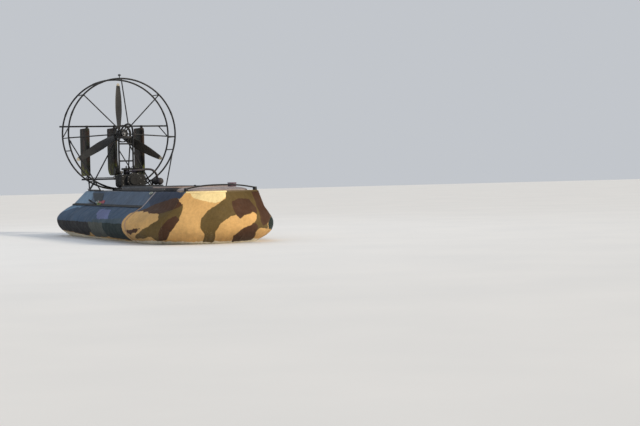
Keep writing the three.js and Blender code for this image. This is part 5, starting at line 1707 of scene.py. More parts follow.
@dataclass
class Guard:
    """The guard about the propeller: two hoops, crossbars, spokes and the lamp on top."""

    crossbars: tuple[float, ...] = (-3.6, 45, 90, 135, 183.6, 197, 238, 302, 343)
    spokes: tuple[float, ...] = (-3.6, 45, 135, 183.6)
    sleeves: tuple[float, ...] = (22, 112, 158, 248, 292)
    spider_ahead: float = 48
    lamp_ahead: float = -90

    def sleeved_hoop(self, ahead: float) -> list[bpy.types.Object]:
        """Makes a hoop, and the sleeves that join its lengths."""
        made = [hoop("hoop", spot(0, ahead, SHAFT_Z), FORWARD, HOOP_RADIUS, HOOP_TUBE, 168)]
        for angle in self.sleeves:
            ends = [ringed(HOOP_RADIUS, angle + turn, ahead, SHAFT_Z) for turn in (-2.2, -1.1, 0, 1.1, 2.2)]
            made.append(tube(f"sleeve_{angle}", ends, HOOP_TUBE + 1.6, 3, 4))
        return made

    def build(self) -> None:
        """Makes the hoops with all that is welded to them."""
        fitted("guard_hoop_front_tube", self.sleeved_hoop(0), FRAME_BLACK, "guard_hoop_front")
        back = self.sleeved_hoop(BACK_HOOP)
        seams = []
        for angle in self.crossbars:
            near, far = ringed(HOOP_RADIUS, angle, 0, SHAFT_Z), ringed(HOOP_RADIUS, angle, BACK_HOOP, SHAFT_Z)
            way = (far - near).normalized()
            back.append(rod(f"crossbar_{angle}", near + way * 0.0129, far, 8, 16))
            seams += [(near + way * 0.0140, way, 8.6), (far - way * 0.0125, way, 8.6)]
        fitted("guard_hoop_back_tube", back, FRAME_BLACK, "guard_hoop_back")
        seams += self.spider()
        show(smooth(beads("guard_welds", seams)), FRAME_BLACK, "craft")
        self.lamp()

    def spider(self) -> list[tuple[Vector, Vector, float]]:
        """Makes the spokes and the ring that carries them, and gives the places of their welds."""
        seams = []
        middle = spot(0, self.spider_ahead, SHAFT_Z)
        section = [(45.4, -8), (66, -8), (68, -6), (68, 6), (66, 8), (45.4, 8), (45.4, -8)]
        parts = [spun("spider_ring", section, middle, FORWARD, 64)]
        for angle in self.spokes:
            start = ringed(62, angle, self.spider_ahead, SHAFT_Z)
            end = ringed(HOOP_RADIUS - 12.9, angle, 2, SHAFT_Z)
            parts.append(rod(f"spoke_{angle}", start, end, 9, 18))
            way = (end - start).normalized()
            seams += [(start + way * 0.006, way, 9.6), (end - way * 0.002, way, 9.6)]
        fitted("guard_spokes_frame", parts, FRAME_BLACK, "guard_spokes")
        rim = [(ringed(57, 22.5 + 45 * i, self.spider_ahead + 8, SHAFT_Z), FORWARD) for i in range(8)]
        bolted("spider_bolts", rim, 5)
        return seams

    def lamp(self) -> None:
        """Makes the small lamp on its stem."""
        foot = spot(0, self.lamp_ahead, SHAFT_Z + HOOP_RADIUS + 5)
        ground = spot(0, self.lamp_ahead, 0)
        stem = rod("stem", foot, spot(0, self.lamp_ahead, 2334), 6.5, 18)
        clip = hoop("clip", spot(0, self.lamp_ahead, SHAFT_Z + HOOP_RADIUS + 12), UP, 8, 3, 24, 8)
        cup = [(0, 2328), (8, 2328), (9, 2333), (21, 2338), (23, 2341), (23, 2345), (0, 2345)]
        base = spun("base", cup, ground, UP, 32)
        fitted("top_light_stem", [stem, clip, base], FRAME_BLACK, "top_light")
        dome = [(0, 2345.2), (21, 2345.2), (21.5, 2350), (19, 2356), (13, 2360), (6, 2361.6), (0, 2362)]
        show(smooth(spun("top_light_lens", dome, ground, UP, 32), 50), LAMP_SMOKED, "craft")


@dataclass
class Pylon:
    """The arch that carries the shaft, its bars and saddle, and the bearings."""

    leg: float = 106
    ahead: float = 150
    shoulder: tuple[tuple[float, float, float], ...] = (
        (106, 150, 650.6), (106, 150, 780), (106, 150, 900), (106, 150, 1080),
        (106, 150, 1260), (105, 166, 1400), (92, 208, 1500), (58, 262, 1580),
    )
    crown: tuple[float, float, float] = (0, 292, 1612)
    bearing_places: tuple[float, float] = (62, -78)

    def at(self, x: float, z: float) -> Vector:
        """Gives a point between the legs."""
        return spot(x, self.ahead, z)

    def build(self) -> None:
        """Makes the arch, its plates and the two bearings."""
        path = [spot(-x, ahead, z) for x, ahead, z in self.shoulder] + [spot(*self.crown)]
        path += [spot(*point) for point in reversed(self.shoulder)]
        parts = [tube("arch", path, 13, 6, 5)]
        parts += [rod(f"bar_{z}", self.at(-self.leg, z), self.at(self.leg, z), 11, 20) for z in (1080, 1330)]
        parts.append(rod("brace", self.at(-self.leg, 1240), self.at(63.6, 960), 8, 16))
        parts.append(rod("tie", self.at(self.leg, 960), self.at(0, 960), 9, 16))
        saddle = block("saddle", spot(-self.leg, self.ahead + 22, 1407), spot(self.leg, 56.6, 1438.6), 4)
        slot = [block(f"window_{side}", spot(side * 58 - 24, 140, 1380), spot(side * 58 + 24, 78, 1460), 6)
                for side in (-1, 1)]
        parts.append(cut(saddle, *slot))
        stay_end = ringed(HOOP_RADIUS - 12, 90, 4, SHAFT_Z)
        parts.append(rod("stay", spot(*self.crown), stay_end, 9, 18))
        for side in (-1, 1):
            parts.append(block(f"foot_{side}", spot(side * self.leg - 40, self.ahead - 50, ON_DECK),
                               spot(side * self.leg + 40, self.ahead + 50, 658.3), 2))
            gusset = [self.at(side * self.leg, 658), self.at(side * (self.leg - 34), 658),
                      self.at(side * self.leg, 712)]
            parts.append(plate(f"gusset_{side}", [p + Vector((0, -0.003, 0)) for p in gusset],
                               Vector((0, 0.006, 0)), 1))
        fitted("pylon_frame", parts, FRAME_BLACK, "pylon")
        seams = [(self.at(side * (self.leg - 13), z), ACROSS, 11.4) for z in (1080, 1330) for side in (-1, 1)]
        seams.append((self.at(self.leg - 13, 960), ACROSS, 9.4))
        seams += [(self.at(side * self.leg, 659.5), UP, 13.4) for side in (-1, 1)]
        show(smooth(beads("pylon_welds", seams)), FRAME_BLACK, "craft")
        feet = [(spot(side * self.leg + x, self.ahead + y, 658.3), UP)
                for side in (-1, 1) for x in (-28, 28) for y in (-37, 37)]
        feet += [(spot(side * 94, 120, 1438.6), UP) for side in (-1, 1)]
        bolted("pylon_bolts", feet, 7)
        for ahead, node in zip(self.bearing_places, ("bearing_front", "bearing_rear")):
            self.bearing(ahead, node)

    @staticmethod
    def bearing(ahead: float, node: str) -> None:
        """Makes a bearing: a cast ring with a bright race, a seal and a grease nipple."""
        middle = spot(0, ahead, SHAFT_Z)
        cast = [(30, -20), (33, -22), (41, -22), (44.7, -18), (44.7, -9), (42, -7), (42, 7), (44.7, 9),
                (44.7, 18), (41, 22), (33, 22), (30, 20), (30, -20)]
        ring = spun("ring", cast, middle, FORWARD, 56)
        stem = [(0, 41), (4, 41), (4, 44), (2.4, 45.5), (2.8, 48), (0, 49)]
        nipple = spun("nipple", stem, middle, Vector((0.75, 0, 0.66)), 16)
        fitted(node + "_housing", [ring, nipple], FRAME_BLACK, node)
        race = [(16.6, -18), (20, -20.5), (22, -19), (24, -16), (29.6, -17), (29.6, 17), (24, 16), (22, 19),
                (20, 20.5), (16.6, 18), (16.6, -18)]
        show(smooth(spun(node + "_race", race, middle, FORWARD, 48), 40), BARE_STEEL, "craft")


@dataclass
class Struts:
    """The strut frame on each side that stays the guard to the deck."""

    foot: tuple[float, float] = (490, -100)
    fore_foot: tuple[float, float] = (490, 470)
    foot_z: float = 662.3

    def build(self) -> None:
        """Makes both frames with their pads, clamps and bolts."""
        for name, side in (("port", 1), ("starboard", -1)):
            low, high = (302, -5) if side > 0 else (238, 185)
            foot = spot(side * self.foot[0], self.foot[1], self.foot_z)
            fore = spot(side * self.fore_foot[0], self.fore_foot[1], self.foot_z)
            lift = UP * 0.003
            ends = [(foot, fore, 10), (foot, self.hoop_end(low, 0, foot), 10),
                    (foot, self.hoop_end(low, BACK_HOOP, foot), 10), (foot, spot(side * 52, -72, 1446), 10),
                    (fore, self.hoop_end(high, 0, fore), 9)]
            parts, clamps, heads = [], [], []
            for index, (start, end, radius) in enumerate(ends):
                parts.append(rod(f"strut_{index}", start + lift, end, radius, 18))
            for place in (foot, fore):
                corner = Vector((place.x - side * 0.045, place.y - 0.04, ON_DECK / 1000))
                parts.append(block("pad", corner, Vector((place.x, place.y + 0.04, 0.6621)), 2))
                heads += [(Vector((place.x - side * 0.035, place.y + y, 0.6622)), UP) for y in (-0.03, 0.03)]
            for start, end, _ in (ends[1], ends[2], ends[4]):
                way = (start - end).normalized()
                clamps.append(rod("eye", end, end + way * 0.055, 12.5, 18, 2))
                across = way.cross(Vector((0, 1, 0))).normalized()
                heads.append((end + way * 0.03 + across * 0.0125, across))
            fitted(f"guard_strut_{name}_frame", [*parts, *clamps], FRAME_BLACK, f"guard_strut_{name}")
            bolted(f"strut_bolts_{name}", heads, 5.5)

    @staticmethod
    def hoop_end(angle: float, ahead: float, start: Vector) -> Vector:
        """Gives the point just short of a hoop's tube on the way from a start."""
        middle = ringed(HOOP_RADIUS, angle, ahead, SHAFT_Z)
        return middle + (start - middle).normalized() * (HOOP_TUBE + 0.2) / 1000


# Propeller, shaft, pulleys and belt


@dataclass
class Drive:
    """The propeller with its shaft, and the belt drive from the engine.

    Attributes:
        blade: the blade's sections. Columns: radius, chord, thickness, pitch in degrees.
    """

    ahead: float = -170
    blades: int = 3
    blade: tuple[tuple[float, float, float, float], ...] = (
        (40, 70, 34, 50), (150, 120, 24, 44), (330, 138, 17, 30), (540, 112, 12, 21), (750, 52, 6, 15),
    )
    pulley_ahead: float = -10
    driven_radius: float = 122
    drive_radius: float = 58
    belt_wide: float = 46

    def blade_sections(self) -> list[list[Vector]]:
        """Gives the sections of the upright blade, rounded at its tip."""
        table = np.array(self.blade)
        sections = []
        radii = [40, 60, 90, 120, 160, 210, 270, 330, 400, 470, 540, 610, 670, 710, 732, 742, 747, 749.5]
        for radius in radii:
            chord, thick, pitch = (self.eased(table, radius, column) for column in (1, 2, 3))
            tip = math.sqrt(max(0.0, 1 - max(0, (radius - 700) / 50) ** 2)) if radius > 700 else 1
            chord, thick = chord * (0.25 + 0.75 * tip), thick * (0.2 + 0.8 * tip)
            lean = math.radians(pitch)
            loop = []
            for step in range(24):
                turn = math.tau * step / 24
                back = -0.5 + (1 - math.cos(turn)) / 2
                half = 0.62 * math.sqrt(max(back + 0.5, 0)) * (1 - (back + 0.5)) ** 0.8 + 0.03
                across = back * chord
                deep = math.copysign(half, math.sin(turn)) * thick * (1.1 if math.sin(turn) > 0 else 0.6)
                if abs(math.sin(turn)) < 1e-6:
                    deep = 0
                x = across * math.cos(lean) - deep * math.sin(lean)
                y = across * math.sin(lean) + deep * math.cos(lean)
                loop.append(Vector((x, y, radius)) / 1000)
            sections.append(loop)
        return sections

    @staticmethod
    def eased(table: np.ndarray, radius: float, column: int) -> float:
        """Reads a column at a radius along a smooth curve through its rows."""
        fine = np.linspace(table[0, 0], table[-1, 0], 60)
        straight = np.interp(fine, table[:, 0], table[:, column])
        soft = np.convolve(np.pad(straight, 4, "edge"), np.ones(9) / 9, "valid")
        return float(np.interp(radius, fine, soft))

    def build(self) -> None:
        """Makes the propeller, its shaft, both pulleys and the belt."""
        self.propeller()
        middle = spot(0, 0, SHAFT_Z)
        turned = [(0, -124.5), (15, -124.5), (16, -123), (16, 92), (14.5, 96), (0, 96)]
        shaft = spun("shaft", turned, middle, FORWARD, 40)
        collar = ((16.2, -6), (24, -6), (25, -4), (25, 4), (24, 6), (16.2, 6), (16.2, -6))
        collars = [spun("collar", [(radius, at + on) for radius, on in collar], middle, FORWARD, 36)
                   for at in (32, -48)]
        fitted("prop_shaft_steel", [shaft, *collars], BARE_STEEL, "prop_shaft", "propeller_unit")
        self.driven()
        self.drive()
        self.belt()

    def propeller(self) -> None:
        """Makes the blades on their hub, the spinner and the hub's bolts."""
        blade = lofted("blade", self.blade_sections())
        axis = spot(0, self.ahead, SHAFT_Z)
        moves = [Matrix.Translation(axis) @ Matrix.Rotation(math.tau * i / self.blades, 4, "Y")
                 for i in range(self.blades)]
        blades = copies("propeller_blades", blade, moves)
        turned = [(0, -44.8), (56, -44.8), (60, -42), (62, -36), (62, -20), (59, -18), (59, 18), (62, 20),
                  (62, 36), (60, 42), (56, 44.8), (0, 44.8)]
        hub = spun("hub", turned, axis, FORWARD, 56)
        whole_prop = joined("propeller_turned", blades, hub)
        reach = whole_prop.data.attributes.new("reach", "FLOAT", "POINT")
        for vertex in whole_prop.data.vertices:
            offset = vertex.co - axis
            reach.data[vertex.index].value = math.hypot(offset.x, offset.z)
        show(smooth(whole_prop, 40), PROP_SKIN, "propeller_unit", "propeller")
        nose = [(0, -104), (14, -101), (27, -92), (36, -76), (41, -58), (43, -46), (0, -46)]
        show(smooth(spun("propeller_spinner", nose, axis, FORWARD, 48), 50), FRAME_BLACK, "propeller_unit")
        ring = [(ringed(50, 30 + 60 * i, self.ahead + 44.8, SHAFT_Z), FORWARD) for i in range(6)]
        bolted("propeller_bolts", ring, 7, "propeller_unit")

    def rim_profile(self, radius: float, inner: float) -> list[tuple[float, float]]:
        """Gives a belt rim's section, with flanges and grooves."""
        half = self.belt_wide / 2 + 4
        profile = [(inner, -half), (radius + 3, -half), (radius + 3, -half + 2.4), (radius, -half + 3.4)]
        for step in range(6):
            at = -half + 6 + step * 8.2
            profile += [(radius, at), (radius - 2, at + 1), (radius - 2, at + 2.6), (radius, at + 3.6)]
        return profile + [(radius, half - 3.4), (radius + 3, half - 2.4), (radius + 3, half), (inner, half),
                          (inner, -half)]

    def driven(self) -> None:
        """Makes the large pulley: grooved rim, webbed arms and hub."""
        middle = spot(0, self.pulley_ahead, SHAFT_Z)
        rim = spun("rim", self.rim_profile(self.driven_radius, self.driven_radius - 11), middle, FORWARD, 72)
        turned = [(16.5, -30), (30, -30), (34, -26), (34, 26), (30, 30), (16.5, 30), (16.5, -30)]
        hub = spun("hub", turned, middle, FORWARD, 48)
        section = ((1, 0.7), (0.7, 1), (-0.7, 1), (-1, 0.7), (-1, -0.7), (-0.7, -1), (0.7, -1), (1, -0.7))
        arms = []
        for step in range(6):
            turn = math.tau * step / 6
            out = Vector((math.cos(turn), 0, math.sin(turn)))
            side = Vector((-math.sin(turn), 0, math.cos(turn)))
            rows = []
            for reach, wide, deep in ((28, 26, 30), (50, 17, 24), (80, 14, 22), (104, 18, 28), (114, 28, 34)):
                rows.append([middle + (out * reach + side * x * wide / 2 - FORWARD * y * deep / 2) / 1000
                             for x, y in section])
            arms.append(lofted(f"arm_{step}", rows))
        fitted("driven_pulley_wheel", [rim, hub, *arms], FRAME_BLACK, "driven_pulley", "propeller_unit")

    def drive(self) -> None:
        """Makes the small pulley on its stub shaft."""
        middle = spot(0, self.pulley_ahead, CRANK_Z)
        wheel = spun("wheel", self.rim_profile(self.drive_radius, 14), middle, FORWARD, 60)
        face = spun("face", [(0, -30), (17, -30), (19, -28), (19, -20), (0, -20)], middle, FORWARD, 32)
        stub = rod("stub", spot(0, self.pulley_ahead, CRANK_Z), spot(0, 83.8, CRANK_Z), 14.9, 32)
        fitted("drive_pulley_wheel", [wheel, face, stub], FRAME_BLACK, "drive_pulley", "drive_pulley")
        nuts = [(ringed(38, 60 * i, self.pulley_ahead - self.belt_wide / 2 - 4, CRANK_Z), -FORWARD)
                for i in range(6)]
        bolted("drive_pulley_bolts", nuts, 5, "drive_pulley")

    def belt(self) -> None:
        """Makes the ribbed belt round both pulleys."""
        lower, upper, drop = self.drive_radius + 1.3, self.driven_radius + 1.3, SHAFT_Z - CRANK_Z
        lean = math.asin((upper - lower) / drop)
        path = []
        for radius, z, first, sweep in ((upper, SHAFT_Z, -lean, math.pi + 2 * lean),
                                        (lower, CRANK_Z, math.pi + lean, math.pi - 2 * lean)):
            path += [(radius, z, first + sweep * i / 44) for i in range(45)]

        def place(extra: float, across: float, at: int) -> Vector:
            """Gives a point of the belt."""
            radius, z, turn = path[at % len(path)]
            return spot((radius + extra) * math.cos(turn), self.pulley_ahead + across,
                        z + (radius + extra) * math.sin(turn))

        half = self.belt_wide / 2 - 0.5
        section = [(0, -half), (0, half), (1.2, half), (5.5, half + 0.5), (7.6, half - 1.5)]
        section += [(7.6 - 1.6 * (i % 2), half - 5 - i * 3.6) for i in range(11)]
        section += [(7.6, -half + 1.5), (5.5, -half - 0.5), (1.2, -half)]
        loops = [[place(extra, across, at) for extra, across in section + section[:1]]
                 for at in range(len(path) + 1)]
        show(smooth(outward(draped("drive_belt_ribbed", np.array(loops)))), RUBBER, "craft", "drive_belt")


# Rudders


@dataclass
class Rudders:
    """The three rudders, their bars and the tie rod."""

    spacing: float = 420
    fore: float = -345
    chord: float = 455
    thick: float = 58
    bottom: float = 872
    top: float = 1580
    section: tuple[tuple[float, float], ...] = ((0, 0.3), (0.03, 0.75), (0.12, 1), (0.35, 0.95), (0.7, 0.55),
                                                (1, 0.12))

    def edges(self, z: float, heel: tuple[float, float]) -> tuple[float, float, float]:
        """Gives the rudder's front, back and fullness at a height.

        Args:
            z: the height.
            heel: length and height of the curve that cuts the heel away.

        Returns:
            The front edge, the back edge and a share of the full thickness.
        """
        aft = self.fore - self.chord
        back = aft
        if z < self.bottom + heel[1]:
            share = 1 - (z - self.bottom) / heel[1]
            back = aft + heel[0] * (1 - math.sqrt(max(0, 1 - share ** 2)))
        back += max(0, z - (self.top - 14))
        drop = max(0, z - (self.top - 55)) / 55
        front = self.fore - 50 * (1 - math.sqrt(max(0, 1 - drop ** 2)))
        near_end = min(z - self.bottom, self.top - z)
        full = 1 if near_end > 8 else 0.45 + 0.55 * math.sqrt(1 - (1 - max(near_end, 0) / 8) ** 2)
        return front, back, full

    def blade(self, name: str, x: float, heel: tuple[float, float]) -> bpy.types.Object:
        """Makes a rudder's skin as one closed aerofoil."""
        heights = [0, 1, 3, 6, 9, 20, 35, 50, 70, 90, 105, 130, 200, 300, 400, 500, 600, 650, 665, 680, 690,
                   697, 701, 704, 706.5, 708]
        stations = [0.0, 0.004, 0.012, 0.03, 0.06, 0.1, 0.16, 0.24, 0.34, 0.46, 0.58, 0.7, 0.82, 0.92, 1.0]
        table = np.array(self.section)
        loops = []
        for rise in heights:
            z = self.bottom + rise
            front, back, full = self.edges(z, heel)
            sides = []
            for share in stations:
                if share > 0.03:
                    thick = float(np.interp(share, table[:, 0], table[:, 1]))
                else:
                    thick = 0.78 * math.sqrt(share / 0.03) + 0.02
                sag = 1 - 0.02 * math.sin(rise / 177 * math.pi) ** 2 if 0.1 < share < 0.9 else 1
                sides.append((thick * full * sag * self.thick / 2, front + (back - front) * share))
            loop = [spot(x + half, ahead, z) for half, ahead in sides]
            loop += [spot(x - half, ahead, z) for half, ahead in reversed(sides)]
            loops.append(loop)
        return lofted(name, loops)

    def build(self) -> None:
        """Makes the rudders, the bars that carry them and the rod that ties them."""
        for name, place in (("port", 1), ("centre", 0), ("starboard", -1)):
            self.rudder(name, place)
        self.bars()
        ahead, z = PIVOT_AHEAD - 90, 842
        joint = [(0, 834), (8, 834.5), (9, 838), (9, 846), (7, 848), (7, 851.7), (0, 851.7)]
        parts = [rod("tie", spot(-432, ahead, z), spot(432, ahead, z), 6, 18, 1.5)]
        for place in (-1, 0, 1):
            parts.append(spun("joint", joint, spot(place * self.spacing, ahead, 0), UP, 24))
            if place:
                parts.append(rod("locknut", spot(place * 402, ahead, z), spot(place * 396, ahead, z),
                                 9.5, 6, 1))
        fitted("rudder_tie_rod_steel", parts, BARE_STEEL, "rudder_tie_rod", "tie_rod")

    def rudder(self, name: str, place: int) -> None:
        """Makes one rudder with its pin, horn, rivets and end plates."""
        x = place * self.spacing
        heel = (80, 105) if place else (160, 130)
        skin = self.blade(f"rudder_{name}_skin", x, heel)
        show(smooth(skin, 44), RUDDER_SKIN, f"rudder_{name}", f"rudder_{name}")
        pin = rod("pin", spot(x, PIVOT_AHEAD, 832.6), spot(x, PIVOT_AHEAD, 1592.6), 8.8, 24, 1)
        edge = [(16, -14), (16, 12), (9, 96), (5, 100)]
        edge += [(-wide, back) for wide, back in reversed(edge)]
        horn = plate("horn", [spot(x + wide, PIVOT_AHEAD - back, 852) for wide, back in edge], UP * 0.006, 1)
        lugs = [block("lug", spot(x - 17, PIVOT_AHEAD + 22, z), spot(x + 17, PIVOT_AHEAD - 30, z + 9), 3)
                for z in (858.2, 1581)]
        aft = self.fore - self.chord - 0.5
        bead = rod("bead", spot(x, aft, self.bottom + heel[1] + 6), spot(x, aft, self.top - 22), 3.6, 12)
        fitted(f"rudder_{name}_fittings", [pin, horn, *lugs, bead], FRAME_BLACK, body=f"rudder_{name}")
        rows = [(spot(x + side * (self.thick / 2 - 0.5), self.fore - 66, z), Vector((side, 0, 0)))
                for side in (-1, 1) for z in range(900, 1560, 62)]
        rows += [(spot(x + side * (self.thick * 0.33), self.fore - 285, z), Vector((side, 0, 0)))
                 for side in (-1, 1) for z in range(1010, 1560, 62)]
        head = [(0, 0), (4.2, 0), (3.4, 1.2), (1.4, 1.9), (0, 2)]
        riveted(f"rudder_{name}_rivets", head, rows, 10, FRAME_BLACK, f"rudder_{name}")

    def bars(self) -> None:
        """Makes the top and bottom bars with their stubs, diagonals and bearings."""
        for node, z, half in (("rudder_bar_top", 1605, 834), ("rudder_bar_bottom", 820, 518)):
            reach = math.sqrt(HOOP_RADIUS ** 2 - (SHAFT_Z - z) ** 2)
            seams = []
            parts = [rod("bar", spot(-half, PIVOT_AHEAD, z), spot(half, PIVOT_AHEAD, z), 12, 24, 2)]
            for side in (-1, 1):
                x = side * min(half - 10, reach)
                parts.append(rod("stub", spot(x, BACK_HOOP - 12.8, z), spot(x, PIVOT_AHEAD, z), 10, 20))
                seams.append((spot(x, PIVOT_AHEAD + 13, z), FORWARD, 10.2))
                if z > 1000:
                    start = spot(side * 690, PIVOT_AHEAD, z)
                    end = ringed(HOOP_RADIUS - 13, -2 if side > 0 else 182, BACK_HOOP - 6, SHAFT_Z)
                    parts.append(rod(f"diagonal_{side}", start, end, 8, 18))
                    seams.append((start + (end - start).normalized() * 0.013, end - start, 8.4))
            for place in (-1, 0, 1):
                at = place * self.spacing
                parts.append(rod(f"bush_{place}", spot(at - 19, PIVOT_AHEAD, z),
                                 spot(at + 19, PIVOT_AHEAD, z), 14.5, 24, 1.5))
            fitted(node + "_tube", parts, FRAME_BLACK, node)
            show(smooth(beads(node + "_welds", seams)), FRAME_BLACK, "craft")


# Engine


@dataclass
class Engine:
    """The two-cylinder engine on its bed, with intake and exhaust."""

    barrel_x: float = 62
    barrel_ahead: float = 350

    def build(self) -> None:
        """Makes the engine from its bed up."""
        self.bed()
        self.crankcase()
        self.cylinders()
        self.intake()
        self.exhaust()

    def bed(self) -> None:
        """Makes the bed's channel rails and ties, with rubber mounts."""
        parts = []
        for side in (-1, 1):
            rail = block(f"rail_{side}", spot(side * 172 - 20, 560, ON_DECK),
                         spot(side * 172 + 20, 60, 695.3), 3)
            hollow = block("hollow", spot(side * 172 + side * 2, 552, 656),
                           spot(side * 172 + side * 30, 68, 689.6), 2)
            parts.append(cut(rail, hollow))
        parts += [block(f"tie_{at}", spot(-153, at + 30, ON_DECK), spot(153, at, 680.3), 3)
                  for at in (215, 470)]
        fitted("engine_bed_rails", parts, FRAME_BLACK, "engine_bed")
        heads = [(spot(side * 186, at, 695.4), UP) for side in (-1, 1) for at in (80, 180, 510, 545)]
        bolted("engine_bed_bolts", heads, 7)

    @staticmethod
    def section(half: float, low: float, high: float, corner: float, ahead: float) -> list[Vector]:
        """Gives a rounded upright section of the case."""
        return [spot(x, ahead, z) for x, z in round_cornered(half, low, high, corner, 5)]

    def crankcase(self) -> None:
        """Makes the case with ribs, the power take-off and the flywheel cover."""
        rows = [(180, 200), (185.5, 206), (186, 214), (186, 340), (189, 341), (189, 349), (186, 350),
                (186, 476), (185, 484), (179, 490)]
        sections = []
        for half, at in rows:
            inward = max(186 - half, 0)
            sections.append(self.section(half, 695.7 + inward, 880 - inward, 42, at))
        case = lofted("case", sections)
        nose = lofted("nose", [self.section(half, 715 + (80 - half), 870 - (80 - half), 30, at)
                               for half, at in ((74, 86), (79, 91), (80, 97), (80, 205))])
        boss = spun("boss", [(15.6, 66), (50, 66), (55.5, 70), (55.5, 90), (15.6, 90), (15.6, 66)],
                    spot(0, 0, CRANK_Z), FORWARD, 48)
        cover = spun("cover", [(0, 484), (108, 484), (108, 520), (106, 532), (98, 537.6), (74, 537.6),
                               (70, 535), (70, 551), (66, 556.6), (30, 556.6), (26, 553), (0, 553)],
                     spot(0, 0, CRANK_Z), FORWARD, 64)
        ribs = [block(f"rib_{i}", spot(-186.5, 232 + i * 36, 720), spot(186.5, 238 + i * 36, 858), 1.5)
                for i in range(3)]
        fitted("engine_case", [case, nose, boss, cover, *ribs], ENGINE_CAST, "engine_crankcase")
        slots = [rod("slot", ringed(52, turn, 537.9, CRANK_Z), ringed(92, turn, 537.9, CRANK_Z), 4, 10, 1)
                 for turn in range(0, 360, 30)]
        fitted("engine_cover_slots", slots, DECK_TRIM)
        heads = [(ringed(100, 15 + 45 * i, 536.6, CRANK_Z), FORWARD) for i in range(8)]
        heads += [(spot(x, 490, z), FORWARD) for x in (-160, 160) for z in (722, 788, 854)]
        heads += [(spot(side * 168, at, 880), UP) for side in (-1, 1) for at in (225, 300, 400, 470)]
        bolted("engine_case_bolts", heads, 6)

    def cylinders(self) -> None:
        """Makes the finned barrels, the head and the plugs."""
        parts = []
        for x in (-self.barrel_x, self.barrel_x):
            profile = [(0, 880.4), (50, 880.4), (50, 886), (42, 887)]
            for fin in range(8):
                at = 889 + fin * 7.1
                profile += [(42, at), (55.5, at + 0.6), (56, at + 1.6), (55.5, at + 2.4), (42, at + 3)]
            parts.append(spun(f"barrel_{x}", profile + [(42, 947.5), (0, 947.5)],
                              spot(x, self.barrel_ahead, 0), UP, 40))
            parts.append(rod(f"plug_seat_{x}", spot(x, self.barrel_ahead, 965),
                             spot(x, self.barrel_ahead, 984), 12, 6, 1))
        parts.append(block("head", spot(-120, self.barrel_ahead - 62, 946.4),
                           spot(120, self.barrel_ahead + 62, 960), 4))
        parts += [block(f"fin_{i}", spot(-118 + i * 11.3, self.barrel_ahead - 60, 958),
                        spot(-115 + i * 11.3, self.barrel_ahead + 60, 974), 1)
                  for i in range(21)]
        fitted("engine_barrels", parts, ENGINE_CAST, "engine_cylinders")
        cap = [(0, 984), (8, 984), (9, 990), (9, 1002), (7, 1007.5), (0, 1008)]
        caps = [spun("cap", cap, spot(x, self.barrel_ahead, 0), UP, 20)
                for x in (-self.barrel_x, self.barrel_x)]
        drape = ((1, 2, 1001), (0.9, 34, 1004), (0.6, 84, 976), (0.4, 118, 918), (0.35, 124, 880))
        leads = [tube("lead", [spot(x * share, self.barrel_ahead - back, z) for share, back, z in drape],
                      3.6, 6, 2)
                 for x in (-self.barrel_x, self.barrel_x)]
        fitted("engine_plug_leads", [*caps, *leads], RUBBER, angle=50)
        nuts = [(spot(side * 62 + dx, self.barrel_ahead + dy, 974), UP) for side in (-1, 1)
                for dx in (-40, 40) for dy in (-46, 46)]
        bolted("engine_head_bolts", nuts, 5)

    def intake(self) -> None:
        """Makes the intake pipe, the carburettor and the drum filter."""
        def at(x: float, z: float = 912) -> Vector:
            """Gives a point on the intake's line."""
            return spot(x, self.barrel_ahead, z)

        low, high = spot(-160, self.barrel_ahead + 25, 889), spot(-128, self.barrel_ahead - 25, 935)
        parts = [rod("pipe", at(-114), at(-186), 15.5, 24), block("carburettor", low, high, 5)]
        parts.append(spun("bowl", [(0, 874), (14, 874), (18, 879), (18, 890), (0, 890)],
                          spot(-144, self.barrel_ahead, 0), UP, 28))
        parts += [hoop(f"clip_{x}", at(x), ACROSS, 16.5, 2.2, 32, 8) for x in (-122, -166)]
        fitted("engine_carburettor", parts, ALLOY, "engine_intake")
        profile = [(0, 172), (50, 172), (53.5, 175), (53.5, 181), (50, 182)]
        pleats = [(50.5 if i % 2 else 47, 184 + i * 2) for i in range(23)]
        end = [(50, 231), (53.5, 232), (53.5, 237), (50, 240), (0, 240)]
        drum = spun("intake_filter", [*profile, *pleats, *end], at(0, 930), -ACROSS, 48)
        show(smooth(drum), ENGINE_CAST, "craft")

    def exhaust(self) -> None:
        """Makes the pipes, the silencer with its bands and the tail pipe."""
        port = [(62, 395, 915), (72, 440, 922), (130, 470, 940), (225, 462, 952), (320, 430, 930),
                (378, 395, 868), (400, 380, 800)]
        starboard = [(-62, 395, 915), (-52, 440, 920), (0, 472, 930), (70, 480, 938), (150, 470, 942)]
        pipes = [tube(f"pipe_{i}", [spot(*point) for point in path], 15.8, 8, 5)
                 for i, path in enumerate((port, starboard))]
        flanges = [rod(f"flange_{x}", spot(x, 392, 915), spot(x * 1.02, 410, 916), 24, 24, 2)
                   for x in (62, -62)]
        can = [(0, -150), (24, -150), (34, -146), (46, -130), (47.6, -126), (47.6, -112), (49, -111),
               (49, -103), (47.6, -102), (47.6, 102), (49, 103), (49, 111), (47.6, 112), (47.6, 126),
               (46, 130), (34, 146), (24, 150), (0, 150)]
        silencer = spun("silencer", can, spot(400, 380, 775), FORWARD, 56)
        feet = []
        for ahead in (290, 470):
            feet.append(block(f"leg_{ahead}", spot(394, ahead - 13, 650.6), spot(406, ahead + 13, 745), 2))
            feet.append(block(f"sole_{ahead}", spot(376, ahead - 18, ON_DECK), spot(424, ahead + 18, 656), 2))
            feet.append(hoop(f"strap_{ahead}", spot(400, ahead, 775), FORWARD, 48.6, 2.2, 56, 8))
        tail = tube("tail", [spot(400, 245, 775), spot(400, 205, 775), spot(400, 172, 775)], 17.6, 4, 5)
        mouth = rod("mouth", spot(400, 150, 775), spot(400, 185, 775), 15.2, 24)
